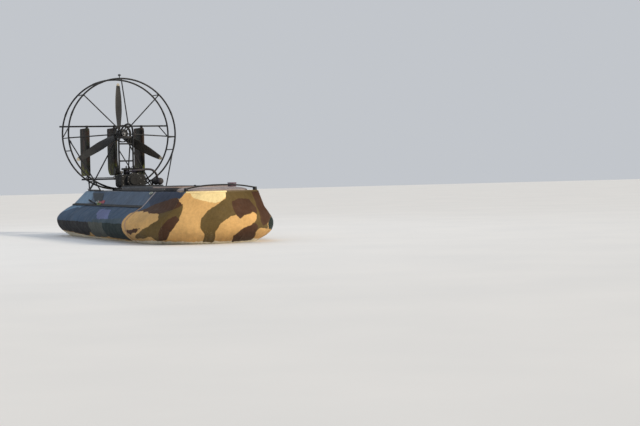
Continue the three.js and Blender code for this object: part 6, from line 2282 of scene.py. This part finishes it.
        fitted("engine_exhaust_pipes", [*pipes, *flanges, silencer, *feet, cut(tail, mouth)], SHADED_HOT_STEEL,
               "engine_exhaust", angle=36)
        clamps = [(spot(320, 430, 930), spot(330, 425, 920)), (spot(150, 469, 943), spot(170, 467, 946))]
        rings = [hoop("clamp", place, beyond - place, 17, 2.4, 32, 8) for place, beyond in clamps]
        fitted("exhaust_clamps", rings, BARE_STEEL)


# Lift fan


@dataclass
class Lift:
    """The lift fan in its duct, under a wire grille.

    Attributes:
        sections: the fan blade's sections, as radius, chord and pitch in degrees.
        wire_z: height of the grille's wires.
        grille_radius: length of the grille's arms.
        bolt_radius: the ring of bolts in the duct's lip.
        blades: how many blades the fan has.
    """

    sections: tuple[tuple[float, float, float], ...] = (
        (44, 84, 42), (90, 92, 36), (140, 96, 30), (190, 96, 25), (235, 90, 21), (258, 78, 19), (262, 60, 18),
    )
    wire_z: float = 723.4
    grille_radius: float = 284
    bolt_radius: float = 293
    blades: int = 6

    def around(self, radius: float, turn: float, z: float) -> Vector:
        """Gives a point on a level ring about the duct's middle."""
        return spot(radius * math.cos(turn), DUCT_AHEAD + radius * math.sin(turn), z)

    def build(self) -> None:
        """Makes the duct's lip, the grille, the fan and its mount."""
        base = spot(0, DUCT_AHEAD, 0)
        lip = [(275.2, 650.5), (297, 650.5), (299, 654), (290, 658), (289, 700), (291, 710), (288, 716),
               (282, 717.8), (277, 716), (275.2, 708), (275.2, 650.5)]
        rolled = spun("fan_duct_lip_rolled", lip, base, UP, 112)
        show(smooth(rolled, 40), FRAME_BLACK, "craft", "fan_duct_lip")
        wires = [hoop(f"wire_{radius}", spot(0, DUCT_AHEAD, self.wire_z), UP, radius, 3.2, 96, 8)
                 for radius in range(60, 284, 37)]
        wires += [rod(f"arm_{i}", self.around(self.grille_radius, math.pi * i / 6, self.wire_z),
                      self.around(-self.grille_radius, math.pi * i / 6, self.wire_z), 4, 10)
                  for i in range(6)]
        wires.append(spun("centre", [(0, 718.8), (30, 719), (32, 723), (30, 728), (0, 728.3)], base, UP, 32))
        fitted("fan_grille_wires", wires, FRAME_BLACK, "fan_grille")
        bolted("fan_lip_bolts", [(self.around(self.bolt_radius, math.tau * i / 8, 654.6), UP)
                                 for i in range(8)], 5)
        self.fan(base)
        arms = [block("stay_x", spot(-273.4, DUCT_AHEAD - 12, 470), spot(273.4, DUCT_AHEAD + 12, 494), 4),
                block("stay_y", spot(-12, DUCT_AHEAD - 273.4, 470), spot(12, DUCT_AHEAD + 273.4, 494), 4),
                spun("spindle", [(0, 466), (40, 466), (44, 470), (44, 492), (30, 498), (22, 504), (22, 529.6),
                                 (0, 529.6)], base, UP, 40)]
        fitted("fan_mount_frame", arms, FRAME_BLACK, "fan_mount")

    def fan(self, base: Vector) -> None:
        """Makes the fan: curved blades on a hub, about the upright line through the base point."""
        rows = []
        for radius, chord, lean in self.sections:
            turn = math.radians(lean)
            loop = []
            for step in range(16):
                angle = math.tau * step / 16
                x, z = chord / 2 * math.cos(angle), 3.2 * math.sin(angle) - 7 * (math.cos(angle) ** 2 - 0.5)
                rise = x * math.sin(turn) * 0.6 + z * math.cos(turn)
                loop.append(Vector((x * math.cos(turn) - z * math.sin(turn), radius, 560 + rise)) / 1000)
            rows.append(loop)
        blade = lofted("fan_blade", rows)
        moves = [Matrix.Translation(base) @ Matrix.Rotation(math.tau * i / self.blades, 4, "Z")
                 for i in range(self.blades)]
        hub = spun("fan_hub", [(0, 530.5), (52, 530.5), (57, 535), (58, 545), (58, 575), (54, 586),
                               (40, 589.8), (0, 589.8)], base, UP, 48)
        fan = joined("lift_fan_moulded", copies("fan_blades", blade, moves), hub)
        reach = fan.data.attributes.new("reach", "FLOAT", "POINT")
        reach.data.foreach_set("value", [0.0] * len(fan.data.vertices))
        show(smooth(fan, 40), PROP_SKIN, "lift_fan", "lift_fan")


# Cockpit


@dataclass
class Cockpit:
    """Seats, console and steering bar.

    Attributes:
        helm: the middle of the console's sloping panel, as ahead and height.
        lean: the panel's slope in radians.
        seat_half: half the width of the seat's cushion and back.
        cushion: the cushion's side view.
        back: the back's side view.
        console_side: the console's side view.
        channels: where the sewn channels run across the seat, in metres.
        voxel: the pads' voxel size before they are blown up, in metres.
        swell_limit: how far a pad's surface may move as it is blown up, in metres.
        dials: places on the panel, across and forwards, with each dial's radius.
        switches: places of the switches across the panel.
    """

    helm: tuple[float, float] = (3240, 614)
    lean: float = math.atan2(108, 120)
    seat_half: float = 350
    cushion: Outline = ((2290, 232.4), (2730, 232.4), (2730, 310), (2290, 310))
    back: Outline = ((2200, 232.4), (2285, 232.4), (2205, 640), (2120, 640))
    console_side: Outline = ((3120, 170.4), (3430, 170.4), (3430, 640), (3300, 668), (3180, 560))
    channels: tuple[float, ...] = (-0.175, 0.0, 0.175)
    voxel: float = 0.012
    swell_limit: float = 0.014
    dials: tuple[tuple[float, float, float], ...] = ((-88, 34, 26), (88, 34, 26), (-88, -32, 19),
                                                     (88, -32, 19))
    switches: tuple[float, ...] = (-48, -24, 24, 48)

    def helm_point(self, x: float, up: float, fore: float = 0) -> Vector:
        """Gives a point above the console's sloping panel."""
        return spot(x, self.helm[0] - up * math.sin(self.lean) + fore * math.cos(self.lean),
                    self.helm[1] + up * math.cos(self.lean) + fore * math.sin(self.lean))

    @staticmethod
    def drawn_in(corners: Outline, share: float) -> list[tuple[float, float]]:
        """Moves a side view's corners a share of the way to their middle."""
        middle = [sum(column) / len(corners) for column in zip(*corners)]
        return [(a + (middle[0] - a) * share, z + (middle[1] - z) * share) for a, z in corners]

    def pad(self, name: str, node: str, corners: Outline) -> None:
        """Makes a padded seat part with piping and sewn channels.

        Args:
            name: the piece's name.
            node: the solid that it stands for.
            corners: the side view's corners, as ahead and height.
        """
        half = self.seat_half
        side = [spot(-half + 12, a, z) for a, z in self.drawn_in(corners, 0.07)]
        piece = plate(name, side, ACROSS * ((2 * half - 24) / 1000), 16, 3)
        self.blown(piece)
        self.sewn(piece, corners)
        smooth(piece, 60)
        show(piece, SEAT_VINYL, "craft", node)
        rim = []
        for x in (-half + 11, half - 11):
            path = [spot(x, a, z) for a, z in self.drawn_in(corners, 0.06)]
            rim.append(tube(f"{name}_piping_{x:.0f}", path, 3.4, 5, 2, closed=True, soft=False))
        piping = joined(name + "_piping", *rim)
        show(smooth(piping, 60), SEAT_VINYL, "craft")

    def blown(self, piece: bpy.types.Object) -> None:
        """Blows a pad up with cloth, held to a modest swell, and applies it."""
        worked(piece, "REMESH", mode="VOXEL", voxel_size=self.voxel)
        rest = [vertex.co.copy() for vertex in piece.data.vertices]
        picked(piece)
        cloth = piece.modifiers.new("Cloth", "CLOTH")
        cloth.settings.use_pressure = True
        cloth.settings.uniform_pressure_force = 4
        cloth.settings.effector_weights.gravity = 0
        cloth.settings.quality = 3
        scene = bpy.context.scene
        for step in range(1, 21):
            scene.frame_set(step)
        bpy.ops.object.modifier_apply(modifier=cloth.name)
        scene.frame_set(1)
        for vertex, start in zip(piece.data.vertices, rest):
            moved = vertex.co - start
            if moved.length > self.swell_limit:
                vertex.co = start + moved.normalized() * self.swell_limit
        worked(piece, "SUBSURF", levels=1, render_levels=1)

    def sewn(self, piece: bpy.types.Object, corners: Outline) -> None:
        """Presses the sewn channels in and keeps the pad within its solid's space."""
        ends = [spot(side * self.seat_half, a, z) for a, z in corners for side in (-1, 1)]
        low, high = (Vector(pick(end[axis] for end in ends) for axis in range(3)) for pick in (min, max))
        middle = (low + high) / 2
        for vertex in piece.data.vertices:
            channel = sum(bell(vertex.co.x - at, 0.009) for at in self.channels)
            pull = Vector((0, middle.y - vertex.co.y, middle.z - vertex.co.z))
            vertex.co += pull.normalized() * 0.007 * channel
            vertex.co += vertex.normal * 0.0012 * noise.noise(vertex.co * 26)
            vertex.co = Vector(min(max(c, l + 0.0005), h - 0.0005) for c, l, h in zip(vertex.co, low, high))

    def build(self) -> None:
        """Makes the seats, the console and the bar."""
        base = block("seat_base_moulding", spot(-360, 2740, 170.4), spot(360, 2200, 231.9), 8, 3)
        hollow = block("hollow", spot(-330, 2760, 180), spot(330, 2728, 222), 4)
        show(smooth(cut(base, hollow)), TUB_MOULDING, "craft", "seat_base")
        self.pad("seat_cushion_padded", "seat_cushion", self.cushion)
        self.pad("seat_back_padded", "seat_back", self.back)
        self.console()
        self.steering()

    def console(self) -> None:
        """Makes the console with its panel, dials, switches and throttle."""
        side = [spot(-130, a, z) for a, z in self.console_side]
        body = plate("helm_console_moulding", side, ACROSS * 0.26, 10, 3)
        show(smooth(body), TUB_MOULDING, "craft", "helm_console")
        way = Vector((0, math.sin(self.lean), math.cos(self.lean)))
        section = ((-3, 0), (2, 0), (3, 3), (1, 6), (-2, 6), (-3, 3), (-3, 0))
        rims, marks, discs = [], [], []
        for x, fore, radius in self.dials:
            centre = self.helm_point(x, 0, fore)
            rims.append(spun("rim", [(radius + out, rise) for out, rise in section], centre, way, 40))
            face = [(0, 0), (radius - 2.6, 0), (radius - 2.6, 3), (0, 3.4)]
            discs.append(spun("dial", face, centre, way, 32))
            marks += self.dial_marks(centre + way * 0.0033, way, radius)
        fitted("console_dial_rims", rims, BARE_STEEL)
        fitted("console_dials", discs, FRAME_BLACK)
        fitted("console_dial_marks", marks, PALE_TRIM)
        made = [rod(f"switch_{x}", self.helm_point(x, 0, -44), self.helm_point(x, 16, -50), 3, 12, 1)
                for x in self.switches]
        made += [spun(f"nut_{x}", [(0, 0), (7, 0), (7, 3), (0, 3)], self.helm_point(x, 0, -44), way, 6)
                 for x in self.switches]
        fitted("console_switches", made, BARE_STEEL)
        lever = tube("lever", [spot(131, 3230, 470), spot(140, 3222, 520), spot(150, 3200, 575)], 5, 5, 3)
        knob = spun("knob", [(0, -12), (9, -10), (13, -3), (13, 4), (9, 11), (0, 13)], spot(151, 3197, 584),
                    UP, 28)
        quadrant = rod("quadrant", spot(130.2, 3232, 470), spot(136, 3232, 470), 30, 40, 2)
        fitted("throttle_lever", [lever, knob, quadrant], FRAME_BLACK)

    @staticmethod
    def dial_marks(centre: Vector, way: Vector, radius: float) -> list[bpy.types.Object]:
        """Makes a dial's pointer and its ten marks.

        Args:
            centre: the middle of the dial's face.
            way: the direction that it faces.
            radius: the dial's radius in millimetres.

        Returns:
            The pieces.
        """
        pointer = (0.2, 0.7, 0.001, 0.9)
        ticks = [(0.72, 0.88, 0.0006, math.radians(-135 + 30 * i)) for i in range(10)]
        made = []
        for count, (inner, outer, half, turn) in enumerate([pointer, *ticks]):
            low = Vector((-half, radius * inner / 1000, 0))
            high = Vector((half, radius * outer / 1000, 0.0007))
            made.append(block(f"mark_{count}", low, high, 0.2))
            made[-1].data.transform(laid_at(centre, way) @ Matrix.Rotation(turn, 4, "Z"))
        return made

    def steering(self) -> None:
        """Makes the column, the bar and its grips."""
        column = rod("column", self.helm_point(0, 0.4), self.helm_point(0, 130), 13.8, 28, 1.5)
        collar = rod("collar", self.helm_point(0, 1), self.helm_point(0, 16), 22, 32, 3)
        boss = rod("boss", self.helm_point(0, 108), self.helm_point(0, 138), 19, 28, 3)
        path = [(-300, 150, -40), (-190, 138, -10), (-60, 125, 0), (0, 124, 0), (60, 125, 0), (190, 138, -10),
                (300, 150, -40)]
        bar = tube("bar", [self.helm_point(*point) for point in path], 10.8, 7, 4)
        fitted("steering_bar_tube", [column, collar, boss, bar], FRAME_BLACK, "steering_bar", "steering")
        grips = []
        for side in (-1, 1):
            start, end = self.helm_point(side * 208, 140, -15), self.helm_point(side * 300, 150, -40)
            way = (end - start).normalized()
            length = (end - start).length * 1000
            profile = [(0, 0), (15, 0), (17, 2), (17, 5), (14.4, 7)]
            for step in range(11):
                profile += [(14.4, 9 + step * 7), (15.4, 10.5 + step * 7), (15.4, 12.5 + step * 7),
                            (14.4, 14 + step * 7)]
            grips.append(spun(f"grip_{side}", [*profile, (15.6, length - 4), (14, length + 2),
                                               (0, length + 3)], start, way, 30))
        fitted("steering_grips", grips, RUBBER, body="steering", angle=40)


# Bow and deck


@dataclass
class Foredeck:
    """The crowned foredeck, the bow rail between its posts, the box and the deck's fittings.

    Attributes:
        levels: the foredeck's height, half width and fore end, from its foot up.
        aft: its after end.
        rail_ahead: the bow rail's place.
        rail_half: the port half of the rail's line, as across and height.
        strip_section: the edge strip's section, as millimetres out from the deck's edge and height.
        cleats_ahead: places of the pairs of cleats.
    """

    levels: tuple[tuple[float, float, float], ...] = (
        (ON_DECK, 402, 4092), (668, 400, 4090), (678, 384, 4070), (687, 358, 4040), (694, 328, 4008),
        (699, 292, 3970), (701.5, 250, 3930),
    )
    aft: float = 3494
    rail_ahead: float = 4110
    rail_half: Outline = ((0, 728), (130, 726), (246, 718), (331, 707), (395, 696), (428, 690), (445, 685),
                          (450, 679))
    strip_section: Outline = ((2.2, 634), (3.6, 634.4), (3.8, 650), (2.6, 653.4), (-0.5, 654.6), (-44, 654.6),
                              (-45, 653.4), (-45, 651.2), (1.2, 651.0), (2.0, 648.8))
    cleats_ahead: tuple[float, ...] = (3300, -200)

    def build(self) -> None:
        """Makes the foredeck and what stands on it."""
        cap = lofted("foredeck_moulding", [oblong(half, self.aft, fore, 40 + half / 4, z, 7)
                                           for z, half, fore in self.levels])
        show(smooth(rounded(cap, 5, 2, 28), 50), FOREDECK_SKIN, "craft", "foredeck_cap")
        rim = []
        for side in (-1, 1):
            way = Vector((side, 0, 0.25)).normalized()
            rim += [(spot(side * 391, ahead, 668) + way * 0.009, way) for ahead in range(3540, 3960, 84)]
        bolted("foredeck_screws", rim, 3.4)
        path = [(-x, z) for x, z in self.rail_half[:0:-1]] + list(self.rail_half)
        rail = tube("rail", [spot(x, self.rail_ahead, z) for x, z in path], 9, 6, 4)
        posts = [spun(f"post_{side}", [(0, 650.5), (32, 650.5), (32, 655), (26, 657), (25, 690), (23, 695),
                                       (0, 696.3)], spot(side * 450, self.rail_ahead, 0), UP, 36)
                 for side in (-1, 1)]
        fitted("bow_rail_tube", [rail, *posts], FRAME_BLACK, "bow_rail")
        box = block("foredeck_box_moulding", spot(206, 3905, 702), spot(286, 3800, 736), 5, 3)
        lid = block("lid", spot(204.5, 3906.5, 737), spot(287.5, 3798.5, 752), 5, 3)
        catch = block("catch", spot(238, 3906, 728), spot(254, 3909, 745), 1)
        fitted("foredeck_box_shell", [box, lid, catch], BOX_SHELL, "foredeck_box")
        self.edge_strip()
        self.cleats()

    def edge_strip(self) -> None:
        """Makes the strip that clamps the bow's cloth to the deck, in the hull's camouflage, with its screws.
        """
        first = PlanLine.seam_column() + PlanLine.BEND_STEPS + 2
        loops = []
        for reach, z in self.strip_section:
            base = drawn(DECK_LINE, WIDE_LINE, max(0, DECK_Z - z) / 50 * 0.113)
            line = grown(base, reach)[first:]
            loops.append(np.concatenate([line, line[:-1][::-1] * (-1, 1)]))
        sections = [[spot(*loop[at], z) for loop, (_, z) in zip(loops, self.strip_section)]
                    for at in range(0, len(loops[0]), 2)]
        strip = smooth(lofted("bow_edge_strip", sections), 40)
        Shell.patterned(strip)
        show(strip, HULL_SHELL, "craft")
        screw_line = grown(DECK_LINE, -12)
        places = [(spot(side * half, ahead, 654.6), UP) for half, ahead in screw_line[first + 3:-1:5]
                  for side in (-1, 1)]
        bolted("bow_edge_screws", places, 3.2)

    def cleats(self) -> None:
        """Makes the cleats along the deck's edges."""
        made = []
        for ahead in self.cleats_ahead:
            for x in (474, -474):
                horns = [spot(x, ahead + at, z) for at, z in ((-52, 682), (-26, 676), (26, 676), (52, 682))]
                made.append(tube("horns", horns, 5.5, 5, 3))
                made += [rod("leg", spot(x, ahead + at, 650.6), spot(x, ahead + at, 677), 5.5, 16, 1)
                         for at in (-16, 16)]
                made.append(block("base", spot(x - 11, ahead - 34, ON_DECK),
                                  spot(x + 11, ahead + 34, 654), 1.5))
        fitted("deck_cleats", made, ALLOY)


@dataclass
class FlareKit:
    """What is fixed on the sloping sides: the ribbed step mat, the handle, the webbing tag and lashed lines.

    Attributes:
        mat_corners: the mat's corners as metres along and height in millimetres.
        mat_ribs: how many ribs it has.
        handle: the stowed handle's ends, in the same way.
        tag_corners: the webbing tag's corners, in the same way.
        tag_cut: the webbing tag's width and length, in metres; not used.
    """

    mat_corners: Outline = ((-4.614, 623), (-4.048, 621), (-3.766, 510), (-4.148, 511))
    mat_ribs: int = 14
    handle: Outline = ((-4.457, 519), (-3.948, 471))
    tag_corners: Outline = ((-4.00, 523), (-3.66, 524), (-3.60, 486), (-3.86, 486))
    tag_cut: tuple[float, float] = (0.055, 0.30)

    @staticmethod
    def laid(name: str, corners: Outline, steps: tuple[int, int], lift: float, thick: float,
             shape: Callable[[float, float], float]) -> bpy.types.Object:
        """Lays a sheet on the sloping side between four corners.

        Args:
            name: the piece's name.
            corners: metres along and height in millimetres, in order round the sheet.
            steps: faces along and up.
            lift: millimetres from the side to the sheet's middle.
            thick: the sheet's thickness in millimetres.
            shape: the extra lift for shares across and up.

        Returns:
            The sheet with its thickness.
        """
        picked()
        bpy.ops.mesh.primitive_grid_add(x_subdivisions=steps[0], y_subdivisions=steps[1], size=1)
        piece = bpy.context.object
        first, second, third, fourth = (Vector(corner) for corner in corners)
        for vertex in piece.data.vertices:
            across, up = vertex.co.x + 0.5, vertex.co.y + 0.5
            lay = first.lerp(second, across).lerp(fourth.lerp(third, across), up)
            vertex.co = flare_spot(lay.x, lay.y, lift + shape(across, up))
        worked(piece, "SOLIDIFY", thickness=thick / 1000, offset=0, use_rim=True)
        return outward(named(name))

    def build(self) -> None:
        """Makes the mat and all that is tied near it."""
        ribs = math.tau * self.mat_ribs
        mat = self.laid("flare_step_mat", self.mat_corners, (4 * self.mat_ribs, 12), 3.4, 4.4,
                        lambda across, up: 1.7 * max(0.0, math.sin(across * ribs)) * (0.08 < up < 0.92))
        show(smooth(mat, 40), STEP_RUBBER, "craft")
        start, end = (flare_spot(along, z, 12.5) for along, z in self.handle)
        grip_end = start + (end - start).normalized() * 0.12
        parts = [rod("handle_shaft", start, end, 7, 20, 1.5), rod("handle_grip", start, grip_end, 11, 20, 2)]
        for share in (0.32, 0.86):
            middle = start.lerp(end, share)
            parts.append(hoop(f"clip_{share}", middle, end - start, 9.5, 2.6, 28, 8))
            parts.append(rod(f"clip_foot_{share}", flare_spot(*self.between_ends(share), 0.4), middle, 4, 12))
        fitted("stowed_handle", parts, RUBBER)
        tag = self.laid("flare_tag", self.tag_corners, (22, 8), 2.4, 2.4,
                        lambda across, up: 1.2 + 1.2 * noise.noise(Vector((across * 5, up * 3, 2))))
        show(smooth(tag, 50), RED_WEBBING, "craft")
        self.lashings()

    def between_ends(self, share: float) -> tuple[float, float]:
        """Gives the place on the side under the handle, a share of the way along it."""
        (first, low), (last, high) = self.handle
        return first + (last - first) * share, low + (high - low) * share

    @staticmethod
    def turns(name: str, along: float, z: float, wide: float, tall: float, count: int,
              thick: float) -> bpy.types.Object:
        """Lays a small hank of line on the side, in flat turns that lie on each other.

        Args:
            name: the piece's name.
            along: its middle, in metres along the widest line from the bow.
            z: its middle's height.
            wide: half its width.
            tall: half its height.
            count: how many turns it has.
            thick: the line's radius.

        Returns:
            The hank.
        """
        path = []
        steps = 12
        for step in range(count * steps + 1):
            turn = math.tau * step / steps
            share = step / (count * steps)
            grow = 0.72 + 0.28 * math.sin(share * math.pi * 5) ** 2
            rise = thick * (0.95 + 1.5 * share)
            path.append(flare_spot(along + wide * grow * math.cos(turn) / 1000,
                                   z + tall * grow * math.sin(turn), rise))
        return tube(name, path, thick, 3, 2)

    def lashings(self) -> None:
        """Makes the hanks of line: lime and pale ones by the mat, and a pale one at each forward seam."""
        show(smooth(self.turns("lime_line_hank", -3.80, 478, 88, 13, 4, 3.2), 60), LIME_ROPE, "craft")
        show(smooth(self.turns("pale_line_hank", -3.97, 502, 62, 15, 3, 3.0), 60), PALE_ROPE, "craft")
        made = [self.turns(f"seam_line_{side}", side * 1.84, 628, 60, 13, 4, 3.6) for side in (-1, 1)]
        fitted("seam_line_hanks", made, PALE_ROPE, angle=60)


# Room, light and camera


@dataclass(frozen=True)
class Light:
    """A soft lamp that faces the craft.

    Attributes:
        name: its name.
        kind: SUN or AREA.
        power: watts, or watts a square metre for a sun.
        colour: its linear colour.
        place: where it hangs, in metres.
        size: a side in metres, or the angle of a sun in radians.
    """

    name: str
    kind: str
    power: float
    colour: tuple[float, float, float]
    place: tuple[float, float, float]
    size: float

    AIM = Vector((0, -0.4, 0.8))

    def hang(self) -> None:
        """Puts the lamp into the scene."""
        light = bpy.data.lights.new(self.name, self.kind)
        light.energy, light.color = self.power, self.colour
        setattr(light, "angle" if self.kind == "SUN" else "size", self.size)
        lamp = bpy.data.objects.new(self.name, light)
        lamp.location = self.place
        lamp.rotation_euler = (self.AIM - Vector(self.place)).to_track_quat("-Z", "Y").to_euler()
        bpy.context.scene.collection.objects.link(lamp)


@dataclass
class Studio:
    """A pale floor, soft lights and the camera."""

    sky: float = 0.60
    sky_colour: Colour = (0.90, 0.94, 1.0, 1)
    lights: tuple[Light, ...] = (
        Light("key", "SUN", 2.9, (1, 0.88, 0.70), (6.8, -9.2, 5.9), 0.16),
        Light("fill", "AREA", 90, (0.62, 0.78, 1), (-9.5, -3.0, 5.0), 5.5),
        Light("top", "AREA", 90, (0.85, 0.92, 1), (0.5, 2.5, 8.0), 6),
    )
    floor_side: float = 120
    film_width: float = 36
    sight: float = 300

    def build(self) -> None:
        """Sets the room about the craft."""
        scene = bpy.context.scene
        picked()
        bpy.ops.mesh.primitive_plane_add(size=self.floor_side)
        floor = named("floor")
        floor.data.materials.append(self.floor_material())
        self.place_camera()
        for light in self.lights:
            light.hang()
        world = bpy.data.worlds.new("room")
        scene.world = world
        world.use_nodes = True
        backdrop = world.node_tree.nodes["Background"]
        Web(world.node_tree).fill(backdrop, Color=self.sky_colour, Strength=self.sky)
        scene.view_settings.view_transform = "Standard"

    def place_camera(self) -> None:
        """Sets the camera where the photo was taken from."""
        camera = bpy.data.objects.new("camera", bpy.data.cameras.new("camera"))
        bpy.context.scene.collection.objects.link(camera)
        camera.data.lens = FOCAL_PIXELS / FRAME_WIDTH * self.film_width
        camera.data.clip_end = self.sight
        yaw, pitch = math.radians(CAMERA_YAW), math.radians(CAMERA_PITCH)
        look = Vector((math.sin(yaw) * math.cos(pitch), math.cos(yaw) * math.cos(pitch), math.sin(pitch)))
        turn = look.to_track_quat("-Z", "Y").to_matrix().to_4x4()
        roll = Matrix.Rotation(math.radians(CAMERA_ROLL), 4, "Z")
        camera.matrix_world = Matrix.Translation(CAMERA_PLACE) @ turn @ roll
        bpy.context.scene.camera = camera

    @staticmethod
    def floor_material() -> bpy.types.Material:
        """Makes the pale matt floor."""
        made = bpy.data.materials.new("pale_floor")
        made.use_nodes = True
        web = Web(made.node_tree)
        shader = made.node_tree.nodes["Principled BSDF"]
        tone = web.blend(web.between(web.cloud(web.here(), 0.7, 4), 0.3, 0.7), (0.74, 0.745, 0.75, 1),
                         (0.78, 0.78, 0.78, 1))
        web.fill(shader, Base_Color=tone, Roughness=0.85)
        return made


STAYING = ("landing_skid_port", "landing_skid_starboard")


def main() -> None:
    """Builds the craft's looks, group by group, and then the room about it."""
    logging.basicConfig(level=logging.INFO, format="%(name)s: %(message)s")
    groups = (Studio, Skirt, Shell, Guard, Pylon, Struts, Drive, Rudders, Engine, Lift, Cockpit, Foredeck,
              FlareKit)
    for group in groups:
        log.info("building the %s", group.__name__)
        group().build()
    for node in STAYING:
        redress(node, SKID_WEAR)


if __name__ == "__main__":
    main()
